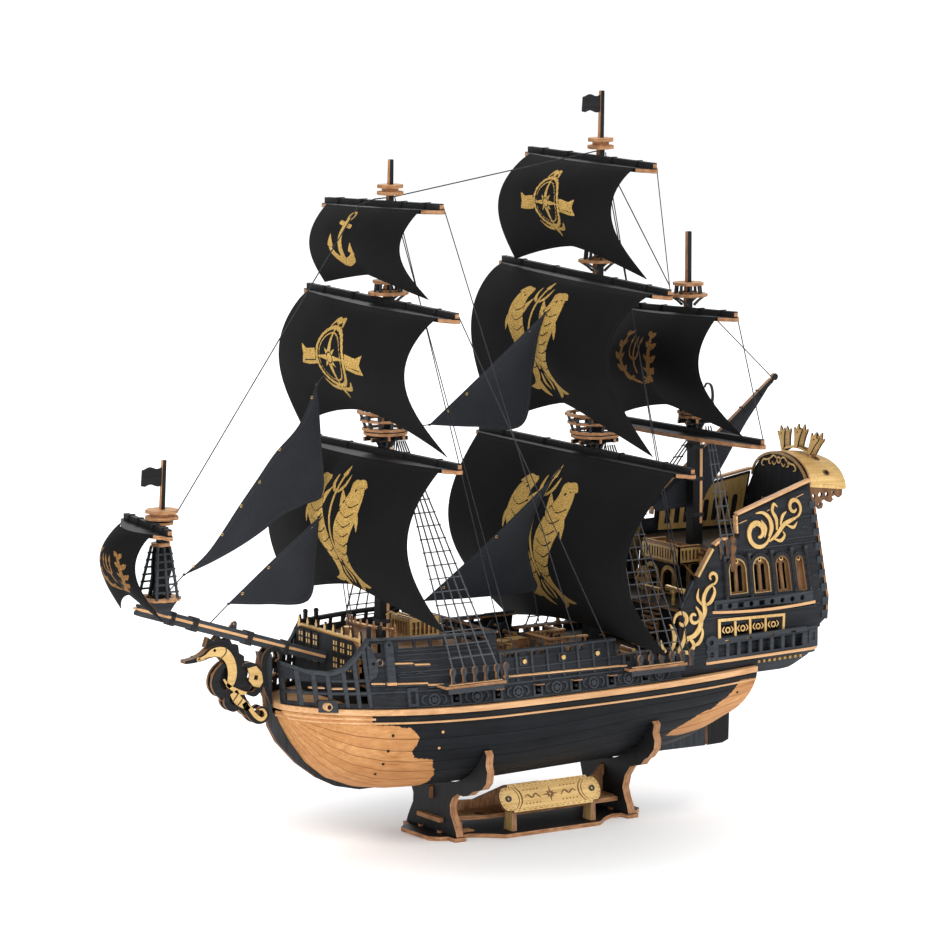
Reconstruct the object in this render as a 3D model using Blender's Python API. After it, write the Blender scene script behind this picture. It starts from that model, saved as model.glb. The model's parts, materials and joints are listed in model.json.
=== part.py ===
"""Three-masted galleon model on a display stand: laser-cut ply sheets, fabric sails and thread rigging.

World frame: +Z up, Z = 0 under the stand's base plate, X = 0 and Y = 0 at the base plate's centre,
bow towards -X, port side towards -Y. The drawing is in millimetres from a datum on the centre line,
DATUM away from the world's origin, and becomes metres when a mesh is stored.
"""

import math

import bmesh
import bpy
from mathutils import Vector
from mathutils.geometry import tessellate_polygon

for old in list(bpy.data.objects):
    bpy.data.objects.remove(old, do_unlink=True)

MM = 0.001

# ---------------------------------------------------------------- driving dimensions (mm)
DATUM = (-20.25, 0.0, 9.9)   # the drawing's origin in the world frame
GAP = 0.35                 # clearance kept between pieces that touch
PLY = 2.0                  # one sheet of ply
BASE_T = 3.0               # base plate
BASE_TOP = BASE_T - DATUM[2]
CRADLE_T = 6.0             # two sheets glued face to face
CRADLE_X = (-54.5, 95.0)
KEEL_T = 4.0               # keel spine, two sheets
KEEL_Z = 30.0              # underside of the keel
WALE_T = 4.0
BEAM = 77.0                # greatest half breadth
BOW_X = -192.0
DECK_Z = 115.5             # top of the main deck
FORE_Z = 136.5             # top of the forecastle deck
QUARTER_Z = 148.5          # top of the quarterdeck
POOP_Z = 184.0             # top of the poop deck
WAIST_A, WAIST_B = -44.5, 56.0
STERN_A, STERN_X = 114.4, 252.0
YARD = 4.0                 # square section of a yard
SAIL_T = 1.0
RUDDER_X = 187.0           # rudder hinge line
MAST_STEPS = dict(fore=-96.0, main=84.0, mizzen=174.0)

MATERIALS = {
    "black_ply": ((0.028, 0.030, 0.033), 0.72, 0.0),
    "slate_ply": ((0.060, 0.068, 0.078), 0.70, 0.0),
    "natural_ply": ((0.62, 0.36, 0.17), 0.62, 0.0),
    "gold_ply": ((0.78, 0.55, 0.19), 0.42, 0.35),
    "sail_cloth": ((0.020, 0.020, 0.022), 0.92, 0.0),
    "stay_cloth": ((0.045, 0.048, 0.055), 0.90, 0.0),
    "thread": ((0.075, 0.078, 0.085), 0.85, 0.0),
}


def material(name):
    found = bpy.data.materials.get(name)
    if found:
        return found
    colour, rough, metal = MATERIALS[name]
    made = bpy.data.materials.new(name)
    made.use_nodes = True
    shader = made.node_tree.nodes["Principled BSDF"]
    shader.inputs["Base Color"].default_value = (*colour, 1.0)
    shader.inputs["Roughness"].default_value = rough
    shader.inputs["Metallic"].default_value = metal
    return made


def empty(name, parent=None):
    made = bpy.data.objects.new(name, None)
    bpy.context.scene.collection.objects.link(made)
    made.parent = parent
    return made


STAND = empty("stand_frame")
SHIP = empty("ship_frame")


def store(name, bm, mat, parent=None, at=(0, 0, 0), sharp=32):
    """Keep a mesh drawn in mm as an object whose origin is the mm point at."""
    bmesh.ops.recalc_face_normals(bm, faces=bm.faces)
    for v in bm.verts:
        v.co = (v.co - Vector(at)) * MM
    mesh = bpy.data.meshes.new(name)
    bm.to_mesh(mesh)
    bm.free()
    mesh.shade_smooth()
    mesh.set_sharp_from_angle(angle=math.radians(sharp))
    mesh.materials.append(material(mat))
    made = bpy.data.objects.new(name, mesh)
    bpy.context.scene.collection.objects.link(made)
    made.location = (Vector(at) + Vector(DATUM)) * MM
    made.parent = parent if parent is not None else SHIP
    return made


# ---------------------------------------------------------------- shape builders
def slab(name, outline, holes, place, mat, **kw):
    """A flat outline with holes, given a thickness by place(u, v, w) for w = 0 and w = 1."""
    loops = [outline] + list(holes)
    flat = [p for loop in loops for p in loop]
    tris = tessellate_polygon([[Vector((u, v, 0.0)) for u, v in loop] for loop in loops])
    bm = bmesh.new()
    low = [bm.verts.new(place(u, v, 0.0)) for u, v in flat]
    top = [bm.verts.new(place(u, v, 1.0)) for u, v in flat]
    for a, b, c in tris:
        bm.faces.new((low[a], low[b], low[c]))
        bm.faces.new((top[c], top[b], top[a]))
    start = 0
    for loop in loops:
        n = len(loop)
        for i in range(n):
            a, b = start + i, start + (i + 1) % n
            bm.faces.new((low[a], low[b], top[b], top[a]))
        start += n
    return store(name, bm, mat, **kw)


def across_x(x0, x1):
    return lambda u, v, w: (x0 + (x1 - x0) * w, u, v)


def across_y(y0, y1):
    return lambda u, v, w: (u, y0 + (y1 - y0) * w, v)


def across_z(z0, z1):
    return lambda u, v, w: (u, v, z0 + (z1 - z0) * w)


def loft(rings, bm=None):
    bm = bm or bmesh.new()
    made = [[bm.verts.new(p) for p in ring] for ring in rings]
    n = len(made[0])
    for a, b in zip(made, made[1:]):
        for i in range(n):
            j = (i + 1) % n
            bm.faces.new((a[i], a[j], b[j], b[i]))
    bm.faces.new(made[0])
    bm.faces.new(list(reversed(made[-1])))
    return bm


def turned(profile, lean=lambda z: 0.0, sides=10, y=0.0):
    """Rings (z, radius) round a line whose x is lean(z)."""
    return loft([[(lean(z) + r * math.cos(math.tau * (k + 0.5) / sides),
                   y + r * math.sin(math.tau * (k + 0.5) / sides), z) for k in range(sides)]
                 for z, r in profile])


def box_bm(lo, hi, bm=None):
    x0, y0, z0 = lo
    x1, y1, z1 = hi
    return loft([[(x0, y0, z0), (x1, y0, z0), (x1, y1, z0), (x0, y1, z0)],
                 [(x0, y0, z1), (x1, y0, z1), (x1, y1, z1), (x0, y1, z1)]], bm)


def sheet(point, nu, nv, thick, bm=None):
    """A curved sheet point(u, v), u and v from 0 to 1, thickened along its own normals."""
    bm = bm or bmesh.new()
    grid = [[Vector(point(i / nu, j / nv)) for j in range(nv + 1)] for i in range(nu + 1)]

    def normal(i, j):
        a = grid[min(i + 1, nu)][j] - grid[max(i - 1, 0)][j]
        b = grid[i][min(j + 1, nv)] - grid[i][max(j - 1, 0)]
        return a.cross(b).normalized()

    front = [[bm.verts.new(grid[i][j] + normal(i, j) * thick / 2) for j in range(nv + 1)] for i in range(nu + 1)]
    back = [[bm.verts.new(grid[i][j] - normal(i, j) * thick / 2) for j in range(nv + 1)] for i in range(nu + 1)]
    for i in range(nu):
        for j in range(nv):
            bm.faces.new((front[i][j], front[i + 1][j], front[i + 1][j + 1], front[i][j + 1]))
            bm.faces.new((back[i][j + 1], back[i + 1][j + 1], back[i + 1][j], back[i][j]))
    for i in range(nu):
        bm.faces.new((front[i][0], back[i][0], back[i + 1][0], front[i + 1][0]))
        bm.faces.new((front[i + 1][nv], back[i + 1][nv], back[i][nv], front[i][nv]))
    for j in range(nv):
        bm.faces.new((front[0][j + 1], back[0][j + 1], back[0][j], front[0][j]))
        bm.faces.new((front[nu][j], back[nu][j], back[nu][j + 1], front[nu][j + 1]))
    return bm


def lattice(name, point, columns, rows, filled, thick, mat, **kw):
    """A sheet of cells, some left open, thickened by a Solidify modifier."""
    bm = bmesh.new()
    verts = {}

    def corner(c, r):
        if (c, r) not in verts:
            verts[c, r] = bm.verts.new(point(c, r))
        return verts[c, r]

    for c in range(columns):
        for r in range(rows):
            if filled(c, r):
                bm.faces.new((corner(c, r), corner(c + 1, r), corner(c + 1, r + 1), corner(c, r + 1)))
    made = store(name, bm, mat, **kw)
    solid = made.modifiers.new("thickness", "SOLIDIFY")
    solid.thickness = thick * MM
    solid.offset = 0.0
    solid.use_even_offset = False
    solid.use_rim = True
    return made


def join_to(made, bm, name):
    """Union made with a helper solid that isn't itself a piece."""
    helper = store(name, bm, "black_ply", parent=made.parent)
    helper.hide_render = True
    helper.display_type = "WIRE"
    union = made.modifiers.new("join", "BOOLEAN")
    union.operation = "UNION"
    union.solver = "EXACT"
    union.object = helper


def cut_from(made, bm, name):
    helper = store(name, bm, "black_ply", parent=made.parent)
    helper.hide_render = True
    helper.display_type = "WIRE"
    cut = made.modifiers.new("cut", "BOOLEAN")
    cut.operation = "DIFFERENCE"
    cut.solver = "EXACT"
    cut.object = helper


def mirrored(outline):
    """An outline given on the +u side, closed by its mirror image."""
    return list(outline) + [(-u, v) for u, v in reversed(outline) if abs(u) > 1e-6]


def circle(u, v, r, n=10):
    return [(u + r * math.cos(math.tau * k / n), v + r * math.sin(math.tau * k / n)) for k in range(n)]


def rectangle(u0, v0, u1, v1):
    return [(u0, v0), (u1, v0), (u1, v1), (u0, v1)]


def arched(u0, v0, u1, v1, n=6):
    """A rectangle whose top is a half ellipse that rises half as high as the opening is wide."""
    mid, half = (u0 + u1) / 2, (u1 - u0) / 2
    spring = v1 - half
    return [(u0, v0), (u1, v0)] + [(mid + half * math.cos(math.pi * k / n), spring + half * math.sin(math.pi * k / n))
                                    for k in range(n + 1)]


# ---------------------------------------------------------------- hull form
def half_breadth(x):
    """Half breadth at the wale."""
    if x <= -25:
        return BEAM * math.sqrt(max(0.0, 1 - ((-25 - x) / (-25 - BOW_X)) ** 2.2))
    return BEAM - 10 * ((x + 25) / 211) ** 3


def sheer(x):
    """Middle height of the wale, which rises a little towards the bow and the stern."""
    return 95.8 + 3.2 * (abs(x - 10) / 190) ** 3


RABBET = [(-191, 97), (-186, 86), (-178, 72), (-165, 55), (-150, 43), (-130, 35), (-110, 32), (-90, 31),
          (100, 31), (130, 33), (150, 37), (170, 45), (183, 51)]


def along(table, x):
    for (xa, za), (xb, zb) in zip(table, table[1:]):
        if x <= xb:
            return za + (zb - za) * max(0.0, (x - xa) / (xb - xa))
    return table[-1][1]


def fullness(x):
    """Exponent of the section's curve: full forward and amidships, finer aft."""
    return 2.2 - 0.6 * min(1.0, max(0.0, (x + 20) / 115))


def section(x, s, skin=0.0):
    """Point (y, z) of the hull's skin at station x, s = 0 at the keel and 1 at the wale."""
    low = along(RABBET, x) + skin
    top = sheer(x) - WALE_T / 2 - 0.4
    wide = half_breadth(x) - skin
    a, power = s * math.pi / 2, 2 / fullness(x)
    return (2.4 + (wide - 2.4) * max(0.0, math.sin(a)) ** power,
            low + (top - low) * (1 - max(0.0, math.cos(a)) ** power))


def side_y(x, z):
    """Outer half breadth of the upper works, which lean inwards as they rise."""
    return half_breadth(x) - 2.4 - 0.16 * (z - sheer(x) - WALE_T / 2)


LOWER_STERN = [(114, 69.5), (186, 64.5), (252, 57.0)]


def stern_y(x, z):
    """Outer half breadth of the stern's sides."""
    mid = 65.5 - 0.04 * (x - 114)
    if z >= 145:
        return mid - (0.11 + 0.155 * max(0.0, x - 150) / 102) * (z - 145)
    return along(LOWER_STERN, x) + (mid - along(LOWER_STERN, x)) * (z - 100) / 45


def steps(a, b, n):
    return [a + (b - a) * k / n for k in range(n + 1)]


# ---------------------------------------------------------------- stand
MID_X = (CRADLE_X[0] + CRADLE_X[1]) / 2
base_half = [(92, 19), (86, 25), (80, 27), (80, 35.5), (70.5, 35.5), (70.5, 27.5), (62, 26.5), (52, 32.5), (41, 43)]
base_outline = ([(MID_X + x, y) for x, y in base_half] + [(MID_X - x, y) for x, y in reversed(base_half)]
                + [(MID_X - x, -y) for x, y in base_half] + [(MID_X + x, -y) for x, y in reversed(base_half)])
slab("base_plate", base_outline, [], across_z(BASE_TOP - BASE_T, BASE_TOP), "black_ply", parent=STAND)


def cradle(name, x, wide_x, horn_z, outside):
    lo = BASE_TOP + GAP
    inside = []
    for k in range(18):
        y, z = section(wide_x, 0.04 + 0.05 * k)
        y2, z2 = section(wide_x, 0.05 + 0.05 * k)
        out = Vector((z2 - z, -(y2 - y))).normalized() * 0.75
        if z + out.y > horn_z:
            break
        inside.append((y + out.x, z + out.y))
    inner = [(0.0, KEEL_Z - GAP - 0.4), (2.8, KEEL_Z - GAP - 0.4), (2.8, inside[0][1])] + inside
    slab(name, mirrored(inner + outside + [(34.5, lo), (0, lo)]),
         [rectangle(-16.5, 0.6, 16.5, 5.2), rectangle(-2.6, 16.4, 2.6, 26.4)],
         across_x(x - CRADLE_T / 2, x + CRADLE_T / 2), "black_ply", parent=STAND)


cradle("front_cradle", CRADLE_X[0], CRADLE_X[0] + CRADLE_T / 2, 60.0,
       [(71.5, 63.5), (74.0, 60.5), (73.0, 53), (75.0, 48), (73.5, 40), (68, 34.5), (56, 31), (50, 27), (43, 25.2), (35, 25.6),
        (28, 21.5), (25.0, 16), (25.5, 9.5), (30, 2.5), (33, -3)])
cradle("rear_cradle", CRADLE_X[1], CRADLE_X[1] - CRADLE_T / 2, 64.0,
       [(64.5, 68), (67.0, 65.5), (65.5, 59), (68.0, 54), (67.0, 47.5), (60, 40.5), (55, 38), (50, 33), (44, 31.5), (36.5, 29.5),
        (29.5, 21.5), (26.5, 12), (29.5, 5), (32.5, 0), (34, -4)])

# Name plate: a rounded plate leaning back on two feet.
PLATE_X, PLATE_RISE = 21.0, 10.6
plate = [(-34, -PLATE_RISE)] + [(-34 - 9.5 * math.cos(a), PLATE_RISE * 0.98 * math.sin(a)) for a in (-1.1, -0.55, 0.0, 0.55, 1.1)] + [(-34, PLATE_RISE)]
plate = plate + [(-u, v) for u, v in reversed(plate)]
PLATE_LEAN = math.radians(28)


def leaning(u, v, w):
    return (PLATE_X + u, -37.5 + 2.0 * w * math.cos(PLATE_LEAN) + v * math.sin(PLATE_LEAN),
            17.5 + v * math.cos(PLATE_LEAN) - 2.0 * w * math.sin(PLATE_LEAN))


name_plate = slab("name_plate", plate, [], leaning, "gold_ply", parent=STAND)
for k, x0 in enumerate((-10.5, 58.5)):
    foot = [(-38.5, BASE_TOP + GAP), (-27.0, BASE_TOP + GAP), (-30.0, 16.0), (-37.2, 16.0)]
    join_to(name_plate, loft([[(x, y, z) for y, z in foot] for x in (x0 - 2, x0 + 2)]), f"plate_foot_shape_{k}")

# Stretcher between the cradles: a level board with a chart on it and an upright web, their tabs through both cradles.
BOARD_Z = 1.4
board = [(-60.5, 15.5), (-51.0, 15.5), (-45, 16.2), (-26, 23.5), (66, 23.5), (70, 21.5), (91.3, 21.5), (91.3, 15.5), (101.0, 15.5)]
slab("chart_stretcher", board + [(x, -y) for x, y in reversed(board)], [], across_z(BOARD_Z, BOARD_Z + BASE_T), "natural_ply", parent=STAND)
WEB_Z = BOARD_Z + BASE_T + GAP
web = [(-60.5, 25.5), (-60.5, 17.2), (-51.0, 17.2), (-51.0, WEB_Z), (91.3, WEB_Z), (91.3, 17.2), (101.0, 17.2), (101.0, 25.5),
       (91.3, 25.5), (85, 20), (77, 12.5), (60, 11.3), (36, 18.6), (5, 18.6), (-22, 11.3), (-38, 12.5), (-46, 20), (-51.0, 25.5)]
slab("stretcher_web", web, [], across_y(-1.5, 1.5), "natural_ply", parent=STAND)

# ---------------------------------------------------------------- hull
spine = [(-203, 139), (-199.5, 120), (-197, 102), (-194.5, 84), (-188, 72), (-172, 55), (-155, 42.5), (-140, 35),
         (-120, KEEL_Z + 0.3), (-60, KEEL_Z), (0, KEEL_Z), (100, KEEL_Z), (184, KEEL_Z - 0.6), (184, 93.2),
         (1.9, 93.2), (1.9, 64), (-1.9, 64), (-1.9, 93.2), (-191.6, 93.2), (-191.6, 136)]
slab("keel_spine", spine, [], across_y(-KEEL_T / 2, KEEL_T / 2), "black_ply")

frame_line = [section(0.0, s, 2.4) for s in steps(0.1, 1.0, 9)]
frame_line = [(2.3, 64.4), (2.3, frame_line[0][1])] + [(y - 0.3, min(z, 93.2)) for y, z in frame_line]
slab("hull_frame", mirrored([(0.0, 64.4)] + frame_line + [(0.0, 93.2)]), [circle(36, 74, 11), circle(-36, 74, 11)],
     across_x(-PLY * 0.75, PLY * 0.75), "natural_ply")


STATIONS = [-190.6, -189.4, -187.5, -184, -179, -172, -163, -152, -139, -124, -106, -85, -60, -30, 0, 35, 70, 100, 125, 150, 170, 184]


def planking(name, side):
    rings = []
    for x in STATIONS[1:]:
        out = [section(x, s) for s in steps(0.0, 1.0, 8)]
        inn = [section(x, s, 2.0) for s in steps(0.0, 1.0, 8)]
        rings.append([(x, side * y, z) for y, z in out + list(reversed(inn))])
    store(name, loft(rings), "natural_ply" if side < 0 else "black_ply")


planking("planking_port", -1)
planking("planking_starboard", 1)


def deck(name, stations, half, top, thick, mat):
    """A sheet that follows a half breadth and a height along the ship."""
    rings = []
    for x in stations:
        y, z = half(x), top(x)
        rings.append([(x, -y, z - thick), (x, y, z - thick), (x, y, z), (x, -y, z)])
    return store(name, loft(rings), mat)


deck("wale_plate", STATIONS, lambda x: half_breadth(x) + 1.2, lambda x: sheer(x) + WALE_T / 2, WALE_T, "natural_ply")

# Upper sides: a wall from the stem to the quarterdeck, with head lattice, gun ports and rail openings.
SIDE_X = [-189.4, -186.5, -182.5, -177, -171, -164.5, -157, -149, -141, -131, -122, -111, -100, -92, -84, -74, -66, -56, -48, -44.5,
          -34, -26, -16, -8, 2, 10, 20, 28, 38, 46, 55.5, 58.5, 68, 76, 88, 96, 108, 113.8]
PORT_COLUMNS = {13, 15, 17, 20, 22, 24, 26, 28, 32, 34}


def side_top(x):
    if x < -140:
        return along([(-192, 132.5), (-178, 126.5), (-164, 125), (-151, 131), (-145, 143), (-140, 146.5)], x)
    if x <= WAIST_A:
        return 148.5
    return 133.3 if x <= WAIST_B else 121.5


def side_point(side):
    def point(c, r):
        x = SIDE_X[c]
        top = side_top(x)
        low = sheer(x) + WALE_T / 2
        z = (low + 0.4, low + 3.6, low + 11.6, DECK_Z - 0.3, top - 4.0, top)[r]
        return (x, side * (side_y(x, z) - 1.0), z)
    return point


def side_filled(c, r):
    if c < 8:                                   # open head rails at the bow
        return not (r in (1, 3) and c % 2 == 1)
    if r == 1:
        return c not in PORT_COLUMNS
    if r == 3 and c >= 19:
        return c not in (20, 24, 28, 33)
    return True


for side, word in ((-1, "port"), (1, "starboard")):
    wall = lattice(f"side_{word}", side_point(side), len(SIDE_X) - 1, 5, side_filled, PLY, "slate_ply")
    for k, (x0, x1, z0, y1) in enumerate(((-95.0, -48.0, 112.8, 79.0), (61.5, 113.0, 109.8, 78.0))):
        join_to(wall, loft([[(x, side * (side_y(x, z0) - 1.0), z0), (x, side * y1, z0), (x, side * y1, z0 + PLY), (x, side * (side_y(x, z0) - 1.0), z0 + PLY)]
                            for x in steps(x0, x1, 2)]), f"channel_{word}_{k}")

cut_from(deck("main_deck", [x for x in SIDE_X if x > -143], lambda x: side_y(x, DECK_Z) - 2.8, lambda x: DECK_Z, PLY, "natural_ply"),
         box_bm((-30, -14, 100), (-8, 14, 130)), "hatch_opening")
cut_from(deck("forecastle_deck", [x for x in SIDE_X if -143 < x < -44], lambda x: side_y(x, FORE_Z) - 2.8, lambda x: FORE_Z, PLY, "natural_ply"),
         turned([(120, 6.4), (150, 6.4)], lambda z: -99.7, sides=12), "fore_mast_opening")

slab("beakhead_bulkhead", mirrored([(0, 100.8), (44, 100.8), (42.2, 143), (38, 146), (0, 146)]),
     [rectangle(s * a - 3, z, s * a + 3, z + 9) for s in (-1, 1) for a in (14, 24, 34) for z in (123, 135)],
     across_x(-146.0, -144.0), "black_ply")

# ---------------------------------------------------------------- figurehead: a long-snouted sea beast
spine_line = [((-263, 137), 2.4), ((-254, 137), 2.6), ((-246, 138.5), 4.5), ((-238, 141.5), 7.0), ((-229, 141), 9.0),
              ((-222, 134), 8.5), ((-218, 124), 7.5), ((-215.5, 113), 9.0), ((-212.5, 103), 9.5), ((-208, 95), 7.5),
              ((-204, 89), 5.0)]


def ribbon(line):
    left, right = [], []
    for k, ((x, z), w) in enumerate(line):
        xa, za = line[max(k - 1, 0)][0]
        xb, zb = line[min(k + 1, len(line) - 1)][0]
        n = Vector((-(zb - za), xb - xa)).normalized()
        left.append((x + n.x * w, z + n.y * w))
        right.append((x - n.x * w, z - n.y * w))
    return left + list(reversed(right))


slab("figurehead", ribbon(spine_line), [], across_y(-4.0, 4.0), "gold_ply")

# ---------------------------------------------------------------- rudder, hung behind the sternpost
slab("rudder", [(RUDDER_X - 0.8, 29.4), (200, 29.8), (205.5, 32), (206, 52), (201, 70), (RUDDER_X + 6, 92), (RUDDER_X - 0.8, 92)], [],
     across_y(-KEEL_T / 2, KEEL_T / 2), "black_ply", at=(RUDDER_X, 0, 60))

# ---------------------------------------------------------------- stern
STERN_COLUMNS = [STERN_A, 120, 125.5, 130.7, 139.5, 148.5, 160, 166.5, 174, 175.6, 178, 184.5, 196, 202.5, 214, 222.5, 229, 240, 251.6]
STERN_OPEN = {5, 7, 8, 9, 11, 13}
deck("quarterdeck", [115.0] + STERN_COLUMNS[1:], lambda x: stern_y(x, QUARTER_Z) - 3.0, lambda x: QUARTER_Z, PLY, "natural_ply")

slab("poop_bulkhead", mirrored([(0, QUARTER_Z + GAP), (stern_y(165, 150) - 3.2, QUARTER_Z + GAP), (stern_y(165, 182) - 3.2, POOP_Z - PLY - GAP),
                                (0, POOP_Z - PLY - GAP)]),
     [arched(-6, 151, 6, 170)] + [arched(s * 34 - 5, 156, s * 34 + 5, 172) for s in (-1, 1)],
     across_x(164.0, 166.0), "slate_ply")

def stern_point(side):
    def point(c, r):
        x = STERN_COLUMNS[c]
        low = sheer(x) + WALE_T / 2 + 0.4 if x < 186 else along([(186, 101.2), (229, 108.7), (244, 118.5), (251.8, 128)], x)
        top = along([(114.4, 147.5), (130.7, 169.1), (152, 194.6), (174, 195.9), (175.6, 211.1), (251.8, 228)], x)
        z = (low, max(117, low + 1.2), max(129.5, low + 2.4), 141.5, 145.0, 155.5, 181.5, 189, top)[r]
        z = min(z, top - 1.2 * (8 - r))
        return (x, side * (stern_y(x, z) - PLY / 2), z)
    return point


def stern_filled(c, r):
    if r == 5:
        return c not in STERN_OPEN
    return r != 2 or c not in (5, 11, 13, 15)


for side, word in ((-1, "port"), (1, "starboard")):
    lattice(f"stern_side_{word}", stern_point(side), len(STERN_COLUMNS) - 1, 8, stern_filled, PLY, "slate_ply")
    # Lower gallery: a walkway with its balustrade, standing out from the side.
    rings = []
    for x in [c for c in STERN_COLUMNS if 130 < c < 230]:
        z = 105.4 + 2.2 * (x - 130.7) / 98
        y = max(stern_y(x, z), stern_y(x, z + 22)) + GAP
        rings.append([(x, side * a, b) for a, b in ((y, z), (y + 7, z), (y + 7, z + 22), (y + 5, z + 22), (y + 5, z + 2), (y, z + 2))])
    store(f"gallery_{word}", loft(rings), "slate_ply")

transom_half = [(stern_y(252, z) + 0.5, z) for z in (128, 145, 165, 190, 212)] + [(34.5, 226)]
arch = [(33.5 * math.cos(a), 226 + 18 * math.sin(a)) for a in (0.35, 0.7, 1.05, 1.35)]
slab("transom", mirrored([(0, 128)] + transom_half + arch + [(0, 244)]),
     [arched(u - 6, 158, u + 6, 182) for u in (-30, -10, 10, 30)] + [rectangle(u - 5, 196, u + 5, 210) for u in (-18, 0, 18)],
     across_x(252.4, 254.4), "slate_ply")

cut_from(deck("poop_deck", [166.6] + [c for c in STERN_COLUMNS if c > 170][:-1] + [251.4], lambda x: stern_y(x, POOP_Z) - 3.0, lambda x: POOP_Z, PLY, "natural_ply"),
         turned([(170, 6.4), (200, 6.4)], lambda z: MAST_STEPS["mizzen"], sides=12), "mizzen_mast_opening")

roof = []
for x, drop in ((255.0, 0.0), (266.0, 0.3), (278.0, 2.0), (289.0, 5.0)):
    half, rise = 35.0, 21.0
    outer = [(half * math.cos(a), 226 + rise * math.sin(a) - drop) for a in steps(0.0, math.pi, 12)]
    inner = [((half - 1.6) * math.cos(a), 226 + (rise - 1.6) * math.sin(a) - drop) for a in steps(math.pi, 0.0, 12)]
    roof.append([(x, y, z) for y, z in outer + inner])
stern_roof = store("stern_roof", loft(roof), "gold_ply")

# Three lanterns on one curved bar that sits on the roof's crown.
LAMP_X = 270.0
bar = [(20 * math.sin(a), 226 + 1.0 + 21.6 * math.cos(a * 0.62)) for a in steps(-1.15, 1.15, 8)]
bar_out = [(u * 1.04, v + 1.8) for u, v in bar]
lanterns = slab("stern_lanterns", bar + list(reversed(bar_out)), [], across_x(LAMP_X - 2.0, LAMP_X + 2.0), "gold_ply")
for k, a in enumerate((-0.36, 0.0, 0.36)):
    base = Vector((LAMP_X, 46 * math.sin(a), 226 + 22.2 * math.cos(a * 1.35)))
    up = Vector((0.16, math.sin(a), math.cos(a))).normalized()
    side_v = Vector((0, math.cos(a), -math.sin(a)))
    fwd = up.cross(side_v)
    rings = [[base + up * h + (side_v * su + fwd * sf) * r for su, sf in ((-1, -1), (1, -1), (1, 1), (-1, 1))]
             for h, r in ((0.0, 1.3), (2.5, 2.2), (11.0, 3.9), (13.0, 3.9), (14.5, 1.4), (17.5, 1.0))]
    join_to(lanterns, loft(rings), f"lantern_shape_{k}")

balcony = store("balcony", box_bm((143.0, -23.0, 173.0), (163.5, 23.0, 187.0)), "gold_ply")
cut_from(balcony, box_bm((145.0, -21.0, 175.0), (170.0, 21.0, 195.0)), "balcony_well")

# ---------------------------------------------------------------- deck fittings that turn
CAPSTAN = (2.0, 0.0)
drum = turned([(DECK_Z + GAP, 6.0), (DECK_Z + 2, 6.0), (DECK_Z + 2.2, 3.6), (DECK_Z + 8, 4.6), (DECK_Z + 8.2, 6.4), (DECK_Z + 11.5, 6.4)],
              lean=lambda z: CAPSTAN[0], sides=12)
capstan = store("capstan", drum, "gold_ply", at=(CAPSTAN[0], CAPSTAN[1], DECK_Z))
join_to(capstan, box_bm((CAPSTAN[0] - 15, -1, DECK_Z + 9), (CAPSTAN[0] + 15, 1, DECK_Z + 10.8)), "capstan_bar_x")
join_to(capstan, box_bm((CAPSTAN[0] - 1, -15, DECK_Z + 9.2), (CAPSTAN[0] + 1, 15, DECK_Z + 10.6)), "capstan_bar_y")

WHEEL = (128.0, 0.0, QUARTER_Z + 12.0)
wheel_holes = []
for k in range(4):
    a0, a1 = math.tau * k / 4 + 0.22, math.tau * (k + 1) / 4 - 0.22
    wheel_holes.append([(WHEEL[1] + r * math.cos(a), WHEEL[2] + r * math.sin(a)) for r, a in
                        ((2.6, a0 + 0.25), (5.6, a0), (5.6, (a0 + a1) / 2), (5.6, a1), (2.6, a1 - 0.25))])
wheel_rim = []
for k in range(8):
    a = math.tau * k / 8
    for d, r in ((-0.30, 7.4), (-0.10, 7.4), (-0.07, 10.2), (0.07, 10.2), (0.10, 7.4)):
        wheel_rim.append((WHEEL[1] + r * math.cos(a + d), WHEEL[2] + r * math.sin(a + d)))
slab("ship_wheel", wheel_rim, wheel_holes, across_x(WHEEL[0] - 1.0, WHEEL[0] + 1.0), "gold_ply", at=WHEEL)

GUN = (121.5, 48.5, 161.0)
for side, word in ((-1, "port"), (1, "starboard")):
    g = Vector((GUN[0], side * GUN[1], GUN[2]))
    barrel = []
    for d, r in ((-9.0, 1.2), (-8.0, 2.3), (-2.0, 2.1), (4.0, 1.7), (10.5, 1.5), (11.0, 2.1), (13.0, 2.1)):
        barrel.append([(g.x + r * math.cos(math.tau * k / 8), g.y + side * d, g.z + r * math.sin(math.tau * k / 8)) for k in range(8)])
    gun = store(f"swivel_gun_{word}", loft(barrel), "gold_ply", at=tuple(g))
    join_to(gun, turned([(QUARTER_Z + GAP, 1.5), (g.z - 3, 1.2), (g.z - 2.6, 2.6), (g.z - 0.5, 2.6)], lean=lambda z, x=g.x: x, sides=8, y=g.y),
            f"swivel_stem_{word}")

# ---------------------------------------------------------------- masts
def fore_x(z):
    return -99 + 0.0254 * (z - 166)


def main_x(z):
    return 84 + 0.02 * (z - 267)


def mizzen_x(z):
    return 174.0 if z <= 291 else (167.0 if z >= 300 else 174.0 - 7.0 * (z - 291) / 9)


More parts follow.
